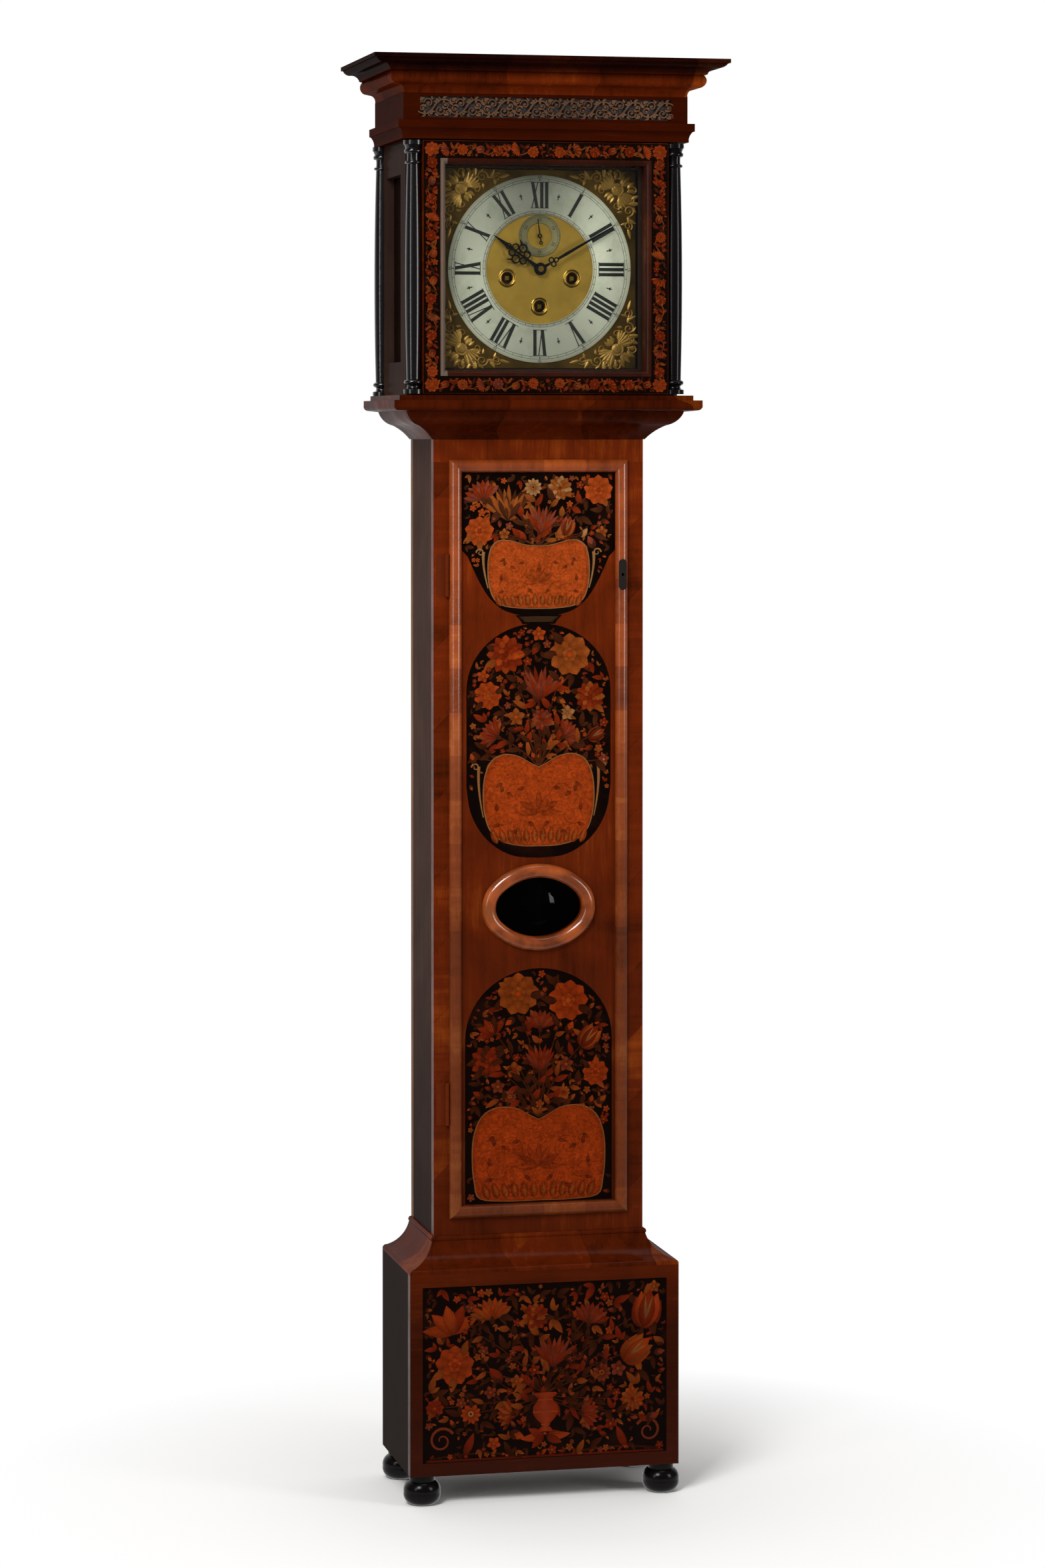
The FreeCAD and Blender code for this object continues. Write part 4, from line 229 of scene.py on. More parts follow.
class Nodes:
    """A tree of nodes in the making."""

    def __init__(self, tree):
        self.tree = tree

    def node(self, kind, settings=None, sockets=None, out=0):
        """A node of that kind, its settings set first, then its sockets; gives one output."""
        made = self.tree.nodes.new(kind)
        for key, value in (settings or {}).items():
            if key == "stops":
                ramp = made.color_ramp.elements
                while len(ramp) < len(value):
                    ramp.new(0.5)
                for stop, (position, colour) in zip(ramp, value):
                    stop.position, stop.color = position, (*colour, 1.0)
            else:
                setattr(made, key, value)
        for key, value in (sockets or {}).items():
            socket = made.inputs[key]
            if isinstance(value, Wire):
                self.tree.links.new(value.socket, socket)
            elif socket.type == "RGBA" and len(value) == 3:
                socket.default_value = (*value, 1.0)
            else:
                socket.default_value = value
        return Wire(self, made.outputs[out]) if made.outputs else made

    def split(self, vector):
        first = self.node("ShaderNodeSeparateXYZ", None, {0: vector})
        return [Wire(self, first.socket.node.outputs[i]) for i in range(3)]

    def vector(self, x, y, z):
        return self.node("ShaderNodeCombineXYZ", None, {0: x, 1: y, 2: z})


class Recipe(Nodes):
    """The nodes of one material, kept among the finishes, or of the world."""

    def __init__(self, name, world=None):
        home = bpy.data.materials.new(name) if world is None else world
        home.use_nodes = True
        home.node_tree.nodes.clear()
        super().__init__(home.node_tree)
        if world is None:
            FINISH[name] = home

    def place(self):
        return self.node("ShaderNodeTexCoord", out="Object")

    def shaded(self, colour, share):
        """A colour made lighter or darker by a share."""
        return self.mix(1.0, colour, self.vector(share, share, share), "MULTIPLY")

    def stretch(self, vector, scale):
        return self.node("ShaderNodeVectorMath", {"operation": "MULTIPLY"}, {0: vector, 1: scale})

    def noise(self, vector, scale=1.0, detail=3.0, rough=0.55, twist=0.0):
        return self.node("ShaderNodeTexNoise", None, {
            "Vector": vector, "Scale": scale, "Detail": detail, "Roughness": rough,
            "Distortion": twist})

    def cells(self, vector, scale):
        return self.node("ShaderNodeTexVoronoi", {"feature": "F1"},
                         {"Vector": vector, "Scale": scale}, "Distance")

    def chance(self, value):
        """A fixed random share for each whole number."""
        return self.node("ShaderNodeTexWhiteNoise", {"noise_dimensions": "1D"}, {"W": value},
                         "Value")

    def ramp(self, value, stops):
        return self.node("ShaderNodeValToRGB", {"stops": stops}, {0: value})

    def mix(self, share, first, second, blend="MIX"):
        return self.node("ShaderNodeMix", {"data_type": "RGBA", "blend_type": blend},
                         {0: share, 6: first, 7: second}, 2)

    def bump(self, height, strength=0.3, distance=0.0004):
        return self.node("ShaderNodeBump", None,
                         {"Strength": strength, "Distance": distance, "Height": height}, "Normal")

    def surface(self, colour, rough, normal=None, **constants):
        """A Principled surface; constants name its other sockets with _ for a space."""
        sockets = {"Base Color": colour, "Roughness": rough}
        sockets.update({key.replace("_", " "): value for key, value in constants.items()})
        if normal is not None:
            sockets["Normal"] = normal
        return self.node("ShaderNodeBsdfPrincipled", None, sockets)

    def output(self, shader, kind="ShaderNodeOutputMaterial"):
        self.node(kind, None, {"Surface": shader})

    def rays(self):
        """1 for a ray that sees the stage straight or through glass, and 1 for a reflection."""
        straight = self.node("ShaderNodeLightPath", out="Is Camera Ray")
        ways = straight.socket.node.outputs
        return straight + Wire(self, ways["Is Transmission Ray"]), Wire(self, ways["Is Glossy Ray"])


# ---- woods

def scaled(tint, share):
    """A tint made lighter or darker; a fourth value stays as it is."""
    return (*(min(1.0, c * share) for c in tint[:3]), *tint[3:])


def tones(tints, share):
    """A wood's dark, middle and light tints, all scaled."""
    return tuple(scaled(tint, share) for tint in tints)


def between(first, second, share):
    """A tint part of the way from the first to the second."""
    return tuple(a + (b - a) * share for a, b in zip(first, second))


# how close the grain lies along each axis, for wood that runs along x, y or z
GRAIN = {"x": (5.0, 90.0, 90.0), "y": (90.0, 5.0, 90.0), "z": (90.0, 90.0, 5.0)}


def wood(name, tints, slips=None, grain="z", figure=1.0, rough=0.30, coat=0.08, lift=1.0,
         veil=0.08, spread=0.42, dress=None, waxed=None):
    """Figured wood: broad clouds, streaks along the grain, pores, and slips of veneer.

    slips(recipe, x, y, z) gives a number that steps by one from slip to slip, and a share that
    turns the streaks from upright (0) to level (1). dress(recipe, x, y, z, colour) may change the
    colour in places. waxed gives two heights: the coat is worn off below the first."""
    r = Recipe(name)
    place = r.place()
    x, y, z = r.split(place)
    upright = r.stretch(place, GRAIN[grain])
    streaks = r.noise(upright, 1.0, 5.0, 0.6, 0.5)
    fibres = r.noise(r.stretch(upright, (6.0, 6.0, 6.0)), 1.0, 3.0, 0.6, 0.2)
    clouds = r.noise(place, 9.0, 3.0, 0.5, 0.8)
    tone = clouds * (0.62 * figure) + streaks * 0.50 + fibres * 0.22 - (0.31 * figure + 0.36) + 0.5
    if slips is not None:
        index, turned = slips(r, x, y, z)
        level = r.noise(r.stretch(place, GRAIN["x"]), 1.0, 5.0, 0.6, 0.5)
        tone = tone + (level - streaks) * 0.5 * turned
        tone = tone + (r.chance(index.floor()) - 0.5) * spread
        seam = abs(index - index.floor() - 0.5).span(0.485, 0.5)
        tone = tone - seam * 0.12
    dark, middle, light = tints
    colour = r.ramp(tone, [(0.10, dark), (0.38, between(dark, middle, 0.65)), (0.58, middle),
                           (0.95, light)])
    pores = r.noise(r.stretch(place, tuple(c * 14.0 for c in GRAIN[grain])), 1.0, 2.0, 0.5)
    pits = pores.span(0.62, 0.75)
    colour = r.mix(pits * 0.45, colour, scaled(dark, 0.5))
    if dress:
        colour = dress(r, x, y, z, colour)
    grease = r.noise(place, 23.0, 3.0, 0.6)
    shine = grease.span(0.3, 0.75, rough - 0.06, rough + 0.12)
    normal = r.bump(fibres * 0.5 - pits, 0.16 * lift, 0.00025)
    if waxed:
        coat = (z.span(*waxed) + on_oval(x, z)).span(0.0, 1.0, 0.3 * coat, coat)
    r.output(r.surface(colour, shine + pits * 0.1, normal, Coat_Weight=coat, Coat_Roughness=0.16,
                       Specular_IOR_Level=veil))


def slips_round_frame(half_wide, half_high, middle_z, pitch):
    """Slips across the grain round a mitred frame."""
    def find(r, x, y, z):
        upright = (half_high - abs(z - middle_z)) > (half_wide - abs(x))
        run = z * upright + (x + 7.0) * (1 - upright)
        return run * (1 / pitch), upright
    return find


def slips_round_moulding(half_wide, front_y, pitch):
    """Slips across the grain along a front moulding and its two returns."""
    def find(r, x, y, z):
        side = (half_wide - abs(x)) < (y - front_y)
        run = (y + x.maths("SIGN", x) * 3.0 + 9.0) * side + x * (1 - side)
        wander = r.noise(r.vector(run, z, 0.0), 14.0, 1.0) * 0.9
        return run * (1 / pitch) + wander, 0.0
    return find


def boards(wide):
    """Upright boards side by side."""
    def find(r, x, y, z):
        return (x + 7.0) * (1 / wide) + 0.23, 0.0
    return find


def slips_stiles(high, low, pitch):
    """Slips along upright stiles, and along rails above high and below low."""
    def find(r, x, y, z):
        rail = (z > high) + (z < low)
        run = (z + abs(x - 9.0)) * (1 - rail) + (x + z.floor() * 5.0 + 3.0) * rail
        return run * (1 / pitch) + r.noise(r.vector(run, 0.0, 0.0), 6.0, 1.0) * 0.8, 1 - rail
    return find


def painted_crown_shade(r, x, y, z, colour):
    """Painted shade: the top of the cornice is darkened nearly to black."""
    return r.mix(z.span(2.004, 2.022) * 0.9, colour, linear("060202"))


def painted_low_shade(full_light_height, share, darkest_height=0.25):
    """Painted shade: the wood is darkened more and more from the first height down to the second,
    as the light falls off towards the floor.
    """
    def dress(r, x, y, z, colour):
        return r.mix(z.span(full_light_height, darkest_height) * share, colour, linear("140502"))
    return dress


def on_oval(x, z):
    """1 on the oval bead round the window of the trunk door, 0 on the bead round its edge."""
    return (abs(x) < 0.100) * (abs(z - LENTICLE_Z * MM) < 0.090)


def rubbed_and_shaded_bead(r, x, y, z, colour):
    """The door's bead: darkened low down as painted shade, the oval rubbed to its bright orange
    wood in patches.
    """
    patches = r.noise(r.place(), 30.0, 2.0, 0.5).span(0.40, 0.62, 0.10, 0.80)
    colour = painted_low_shade(1.2, 0.56, 0.8)(r, x, y, z, colour)
    return r.mix(patches * on_oval(x, z), colour, linear("9A4818"))


def painted_side_shade(r, x, y, z, colour):
    """Painted shade: the case sides are darker towards the floor and on the hood."""
    share = z.span(0.9, 0.3, 0.0, 0.85) + z.span(1.52, 1.60, 0.0, 0.6)
    return r.mix(share, colour, linear("120A08"))


def painted_sight_edge_shading(r, x, y, z, colour):
    """The hood door's inner bead: darkened as painted shade, with a painted highlight down its left
    side.
    """
    out = x.maths("MAXIMUM", abs(x), abs(z - DIAL_Z * MM))
    # Painted highlight on the left side of the sight edge, painted shade on the rest of it.
    bead = r.mix(x.span(-0.141, -0.143), linear("1C0B06"), linear("5C5044"))
    return r.mix(out.span(0.1524, 0.1520) * 0.75, colour, bead)


def marquetry():
    """Cut woods of many tints, each piece's tint read from the mesh."""
    r = Recipe("marquetry")
    place = r.place()
    tint = r.node("ShaderNodeVertexColor", {"layer_name": "tint"})
    grain = r.noise(r.stretch(place, (160.0, 160.0, 420.0)), 1.0, 3.0, 0.6, 0.6)
    clouds = r.noise(place, 38.0, 2.0, 0.5, 0.5)
    burl = r.noise(place, 130.0, 4.0, 0.62, 1.6).span(0.34, 0.68, 0.55, 1.18)
    plain = Wire(r, tint.socket.node.outputs["Alpha"])
    mottle = plain + (1 - plain) * burl
    colour = r.shaded(r.shaded(tint, grain * 0.6 + clouds * 0.55 + 0.42), mottle)
    worn = r.noise(place, 17.0, 4.0, 0.6).span(0.55, 0.8)
    colour = r.mix(worn * 0.22, colour, linear("3A1508"))
    normal = r.bump(grain, 0.10, 0.0002)
    r.output(r.surface(colour, clouds.span(0.3, 0.7, 0.34, 0.46), normal, Specular_IOR_Level=0.03))


# ---- metals, glass and cloth

def metal(name, tint, rough, tarnish, patches=18.0, dirt=0.35, shine=1.0, gloss=0.5):
    """Old metal: clouds and specks of tarnish and dirt, and fine polish lines."""
    r = Recipe(name)
    place = r.place()
    clouds = r.noise(place, patches, 4.0, 0.6, 0.4)
    specks = r.noise(place, patches * 9.0, 3.0, 0.6)
    lines = r.noise(r.stretch(place, (700.0, 700.0, 60.0)), 1.0, 2.0, 0.6)
    share = (clouds.span(0.42, 0.72) * 0.7 + specks.span(0.55, 0.75) * 0.3) * dirt
    colour = r.mix(share, tint, linear(tarnish))
    normal = r.bump(lines + specks * 0.4, 0.06, 0.0002)
    r.output(r.surface(colour, clouds.span(0.3, 0.75, rough, rough + 0.16) + lines * 0.05, normal,
                       Metallic=shine, Specular_IOR_Level=gloss))


def round_dial(r, place):
    """Places across and up from the dial's centre, and the reach from it."""
    x, _, z = r.split(place)
    up = z - DIAL_Z * MM
    return x, up, (x * x + up * up) ** 0.5


def dial_brass(tints):
    """The dial plate: a stippled gilt centre and plain brass outside it."""
    r = Recipe("dial_brass")
    place = r.place()
    _, _, reach = round_dial(r, place)
    centre = reach.span((RING_INNER + 1.5) * MM, (RING_INNER + 1.0) * MM)
    stipple = r.cells(place, 900.0)
    clouds = r.noise(place, 22.0, 3.0, 0.6)
    gilt = r.mix(clouds.span(0.35, 0.75), tints.matted, scaled(tints.matted, 0.66))
    plain = r.mix(clouds.span(0.35, 0.7), scaled(tints.brass, 0.42), scaled(tints.brass, 0.16))
    colour = r.mix(centre, plain, gilt)
    turned = (reach * 4200.0).sine() * (1 - centre)
    normal = r.bump(stipple * centre + turned * 0.15, 0.5, 0.0003)
    rough = centre * 0.16 + clouds * 0.10 + 0.30
    r.output(r.surface(colour, rough, normal, Metallic=0.85))


def silvered(tints):
    """Silvered brass, brushed in circles, yellowed at its edges and on the seconds ring, with two
    lobes of painted highlight, the right one brighter, and painted shade towards the top."""
    r = Recipe("silvered")
    place = r.place()
    x, up, reach = round_dial(r, place)
    rings = r.noise(r.vector(reach * 2600.0, 0.0, 0.0), 1.0, 2.0, 0.7)
    clouds = r.noise(place, 26.0, 4.0, 0.6, 0.5)
    colour = r.mix(clouds.span(0.45, 0.78) * 0.55, tints.silver, linear("8C8D76"))
    middle, half = (RING_OUTER + RING_INNER) / 2 * MM, (RING_OUTER - RING_INNER) / 2 * MM
    edge = abs(reach - middle).span(half - 5.75 * MM, half)
    colour = r.mix(edge * 0.45, colour, linear("8D7F52"))
    seconds = reach.span(RING_INNER * MM, (RING_INNER - 1.0) * MM)
    colour = r.mix(seconds * 0.6, colour, linear("94843A"))
    # Painted highlight and shade: two bright lobes left and right of the centre, the right one
    # brighter, and the ring darker towards the top between them.
    across, up = x / reach, up / reach
    painted_lobe_highlight = (across * 0.985 + up * 0.174) ** 2.0
    painted_shade_level = 0.50 - up * 0.12
    shine = painted_shade_level + (across * 0.14 + 1.08 - painted_shade_level) * painted_lobe_highlight
    r.output(r.surface(r.shaded(colour, shine), clouds.span(0.3, 0.7, 0.42, 0.56),
                       r.bump(rings, 0.08, 0.0002), Metallic=0.35))


def glass(name, haze, clarity, gloss=0.04):
    """Old thin glass: clear, with a film of dust and a reflection that grows at a slant."""
    r = Recipe(name)
    place = r.place()
    clear = r.node("ShaderNodeBsdfTransparent", None, {"Color": clarity})
    ripple = r.bump(r.noise(place, 9.0, 2.0), 0.10, 0.002)
    film = r.noise(place, 14.0, 4.0, 0.6)
    mirror = r.surface((0.55, 0.57, 0.55), film.span(0.3, 0.8, 0.03, 0.10), ripple,
                       Specular_IOR_Level=0.5, Metallic=1.0)
    slant = r.node("ShaderNodeLayerWeight", None, {"Blend": 0.5}, "Facing")
    share = slant ** 5.0 * 0.6 + gloss + film.span(0.45, 0.85, 0.0, haze)
    r.output(r.node("ShaderNodeMixShader", None, {0: share, 1: clear, 2: mirror}))


def threads(name, tint, across, along, rough, depth):
    """Twisted or woven threads along a piece's own UV."""
    r = Recipe(name)
    u, v, _ = r.split(r.node("ShaderNodeUVMap", {"uv_map": "UVMap"}))
    warp = (u * (across * math.tau)).sine()
    weft = (v * (along * math.tau)).sine()
    weave = warp * weft * 0.5 + 0.5
    slub = r.noise(r.vector(u * across * 0.3, v * along * 0.02, 0.0), 1.0, 3.0)
    # Painted shade: the hollows of the weave are darker and its crowns lighter; the slubs vary the
    # thread's own colour.
    colour = r.mix(weave * 0.5 + slub * 0.5, scaled(tint, 0.55), scaled(tint, 1.25))
    r.output(r.surface(colour, slub.span(0.3, 0.7, rough - 0.08, rough + 0.1),
                       r.bump(weave, 0.4, depth), Sheen_Weight=0.2))


def ebonised(tints):
    """Black wood, brown where it is worn; the hood's left columns keep most of their polish."""
    r = Recipe("ebonised")
    place = r.place()
    grain = r.noise(r.stretch(place, (260.0, 260.0, 14.0)), 1.0, 4.0, 0.6)
    worn = r.noise(place, 31.0, 4.0, 0.65).span(0.58, 0.8)
    x, _, z = r.split(place)
    polish = x.span(-0.1, 0.1, 0.75, 0.08) * (z > 1.0) + 0.04
    colour = r.mix(worn * 0.5, tints.ebony, linear("1E110D"))
    colour = r.mix(grain.span(0.5, 0.8) * 0.4, colour, linear("120C0B"))
    r.output(r.surface(colour, worn * 0.10 + 0.20, r.bump(grain, 0.02, 0.0002),
                       Coat_Weight=polish, Coat_Roughness=0.20, Specular_IOR_Level=0.12))


def black_wax(tints):
    """Wax in the cuts of numerals and marks."""
    r = Recipe("black_wax")
    place = r.place()
    dust = r.noise(place, 240.0, 3.0, 0.6)
    colour = r.mix(dust.span(0.55, 0.8) * 0.5, tints.wax, linear("3B3C34"))
    r.output(r.surface(colour, dust.span(0.3, 0.7, 0.4, 0.6), r.bump(dust, 0.1, 0.0002)))


# the finish of each node of the frame
NODE_FINISH = {
    "oak": "back_boards seatboard",
    "side_walnut": "trunk_sides base_carcass hood_carcass",
    "stile_walnut": "trunk_front_frame",
    "throat_walnut": "throat_moulding hood_base_frame",
    "base_moulding_walnut": "base_moulding",
    "cornice_walnut": "hood_cornice",
    "frieze_walnut": "hood_frieze hood_architrave",
    "base_walnut": "base_front_panel",
    "door_walnut": "trunk_door_panel",
    "bead_walnut": "trunk_door_beading",
    "hood_door_walnut": "hood_door_frame",
    "ebonised": "bun_feet hood_rear_columns hood_door_columns",
    "clear_glass": "hood_door_glass",
    "side_glass": "hood_side_glass",
    "bullseye_glass": "lenticle_glass",
    "brown_brass": "trunk_hinge_case_leaves trunk_hinge_door_leaves",
    "old_brass": "movement_plates plate_pillars "
                 "going_great_wheel centre_wheel third_wheel escape_wheel minute_wheel hour_wheel "
                 "going_barrel strike_barrel chime_barrel going_pulley strike_pulley chime_pulley",
    "bright_brass": "pendulum_bob going_weight strike_weight chime_weight",
    "bell_metal": "bells",
    "dial_brass": "dial_plate",
    "silvered": "dial_rings",
    "cast_brass": "spandrels",
    "blued_steel": "minute_hand hour_hand seconds_hand",
    "steel": "hour_hammer chime_hammer anchor_and_crutch pendulum_rod trunk_lock_bolt",
    "iron": "trunk_lock_case",
    "fret_wood": "hood_fret",
    "silk": "fret_silk",
    "gut": "going_line strike_line chime_line",
}


def make_finishes(tints):
    """Every finish, kept by its name."""
    walnut = (tints.walnut_dark, tints.walnut_red, tints.walnut_light)
    deep = tones(walnut, 0.62)
    side = (tints.side_dark, between(tints.side_dark, tints.side_light, 0.55), tints.side_light)
    wood("oak", (scaled(tints.oak, 0.35), tints.oak, scaled(tints.oak, 1.5)), boards(0.118),
         figure=0.9, rough=0.55, coat=0.0, lift=3.0, spread=0.34)
    wood("side_walnut", side, figure=0.9, rough=0.5, coat=0.04, veil=0.0, dress=painted_side_shade)
    wood("stile_walnut", walnut, slips_stiles(1.470, 0.401, 0.105), figure=1.3, spread=0.34,
         veil=0.02, dress=painted_low_shade(1.3, 0.5))
    wood("throat_walnut", tones(walnut, 0.48), slips_round_moulding(0.222, -0.088, 0.120),
         coat=0.05, veil=0.005)
    wood("base_moulding_walnut", deep, slips_round_moulding(0.195, -0.0745, 0.110), coat=0.12,
         veil=0.0)
    wood("cornice_walnut", tones(walnut, 0.9), slips_round_moulding(0.255, -0.131, 0.130),
         coat=0.04, veil=0.0, dress=painted_crown_shade)
    # The frieze and architrave take the walnut at a quarter of its brightness, as painted shade
    # under the cornice.
    wood("frieze_walnut", tones(walnut, 0.25), grain="x", figure=0.8, coat=0.03, veil=0.0)
    wood("base_walnut", tones(walnut, 0.56), grain="x", figure=0.7, veil=0.02,
         dress=painted_low_shade(0.335, 0.62, 0.24))
    wood("door_walnut", tones(walnut, 1.05), figure=1.4, veil=0.02, dress=painted_low_shade(1.35, 0.8))
    wood("bead_walnut", (linear("4A1A08"), linear("8A3E14"), linear("B4662C")),
         slips_round_frame(0.130, 0.538, 0.9355, 0.062), rough=0.36, coat=1.0, veil=0.12,
         spread=0.3, dress=rubbed_and_shaded_bead, waxed=(0.88, 1.12))
    wood("hood_door_walnut", deep, slips_round_frame(0.177, 0.177, DIAL_Z * MM, 0.07),
         dress=painted_sight_edge_shading)
    wood("fret_wood", (linear("22140E"), linear("543A28"), linear("785840")), grain="x",
         figure=1.2, rough=0.4, coat=0.1)
    ebonised(tints)
    marquetry()
    glass("clear_glass", 0.02, (0.95, 0.97, 0.95))
    glass("side_glass", 0.03, (0.88, 0.90, 0.87))
    glass("bullseye_glass", 0.01, (0.20, 0.24, 0.19), 0.012)
    metal("brown_brass", linear("561F08"), 0.6, "3A1406", shine=0.15, gloss=0.03)
    metal("old_brass", scaled(tints.brass, 0.85), 0.30, "4A3516")
    metal("bright_brass", tints.brass, 0.16, "6E4E1E", dirt=0.25)
    metal("cast_brass", scaled(tints.brass, 0.78), 0.34, "4A3414", patches=60.0, dirt=0.5,
          shine=0.55)
    metal("bell_metal", linear("A5874E"), 0.24, "4E4226")
    metal("blued_steel", tints.blued, 0.26, "1A1512", shine=0.7)
    metal("steel", tints.steel, 0.28, "3A2E26")
    metal("iron", tints.iron, 0.45, "2E1A10", shine=0.6)
    dial_brass(tints)
    silvered(tints)
    black_wax(tints)
    threads("gut", tints.gut, 1.0, 1.0, 0.45, 0.0002)
    threads("silk", tints.silk, 700.0, 90.0, 0.5, 0.0001)


# ---- mesh work

def put_piece(name, points, faces, finish, body, tints=None, replaced=(), ride=True):
    """A finished piece from its points and faces."""
    mesh = bpy.data.meshes.new(name)
    mesh.from_pydata(points, [], faces)
    if tints:
        layer = mesh.color_attributes.new("tint", "FLOAT_COLOR", "POINT")
        layer.data.foreach_set("color", [c for tint in tints for c in (*tint, 1.0)[:4]])
    mesh.materials.append(FINISH[finish])
    mesh.update()
    return put_mesh(name, mesh, body, replaced, ride)


def put_mesh(name, mesh, body, replaced=(), ride=True):
    """A finished mesh as a piece of the clock."""
    if not mesh.polygons:
        raise RuntimeError(f"{name} has no faces")
    piece = bpy.data.objects.new(name, mesh)
    bpy.context.scene.collection.objects.link(piece)
    if ride:
        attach(piece, body)
    if replaced:
        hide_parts(*replaced)
    return piece


def shown_mesh(holder):
    """A plain mesh of what an object shows; the object itself goes."""
    bpy.context.scene.collection.objects.link(holder)
    bpy.context.view_layer.update()
    shown = holder.evaluated_get(bpy.context.evaluated_depsgraph_get())
    mesh = bpy.data.meshes.new_from_object(shown)
    holder.modifiers.clear()
    bpy.data.objects.remove(holder)
    return mesh


def unwrap(piece, places):
    """Gives each point of a piece its place on the piece's own UV map."""
    layer = piece.data.uv_layers.new(name="UVMap")
    for loop, uv in zip(piece.data.loops, layer.data):
        uv.uv = places[loop.vertex_index]


def band(first, second):
    """Faces between two closed rows of points."""
    after = [*range(1, len(first)), 0]
    return [(first[k], first[m], second[m], second[k]) for k, m in enumerate(after)]


def heading(turn):
    """Unit steps along and to the right of a line turned clockwise from upright."""
    a = math.radians(turn)
    return (math.sin(a), math.cos(a)), (math.cos(a), -math.sin(a))


def ahead(spot, turn, far, aside=0.0):
    """The place that lies far along a heading from a spot, and aside to its right."""
    along, across = heading(turn)
    return (spot[0] + along[0] * far + across[0] * aside,
            spot[1] + along[1] * far + across[1] * aside)


def bearing(start, end):
    """The turn, clockwise from upright, that leads from start to end."""
    return math.degrees(math.atan2(end[0] - start[0], end[1] - start[1]))


def bow(start, control, end, count=10):
    """Points along a curve pulled towards control."""
    found = []
    for i in range(count + 1):
        t = i / count
        a, b, c = (1 - t) ** 2, 2 * t * (1 - t), t * t
        found.append((a * start[0] + b * control[0] + c * end[0],
                      a * start[1] + b * control[1] + c * end[1]))
    return found


def curl(centre, start_turn, sweep, first, last, count=16):
    """Points of a scroll round centre, its reach going from first to last."""
    return [ahead(centre, start_turn + sweep * i / count, first + (last - first) * i / count)
            for i in range(count + 1)]


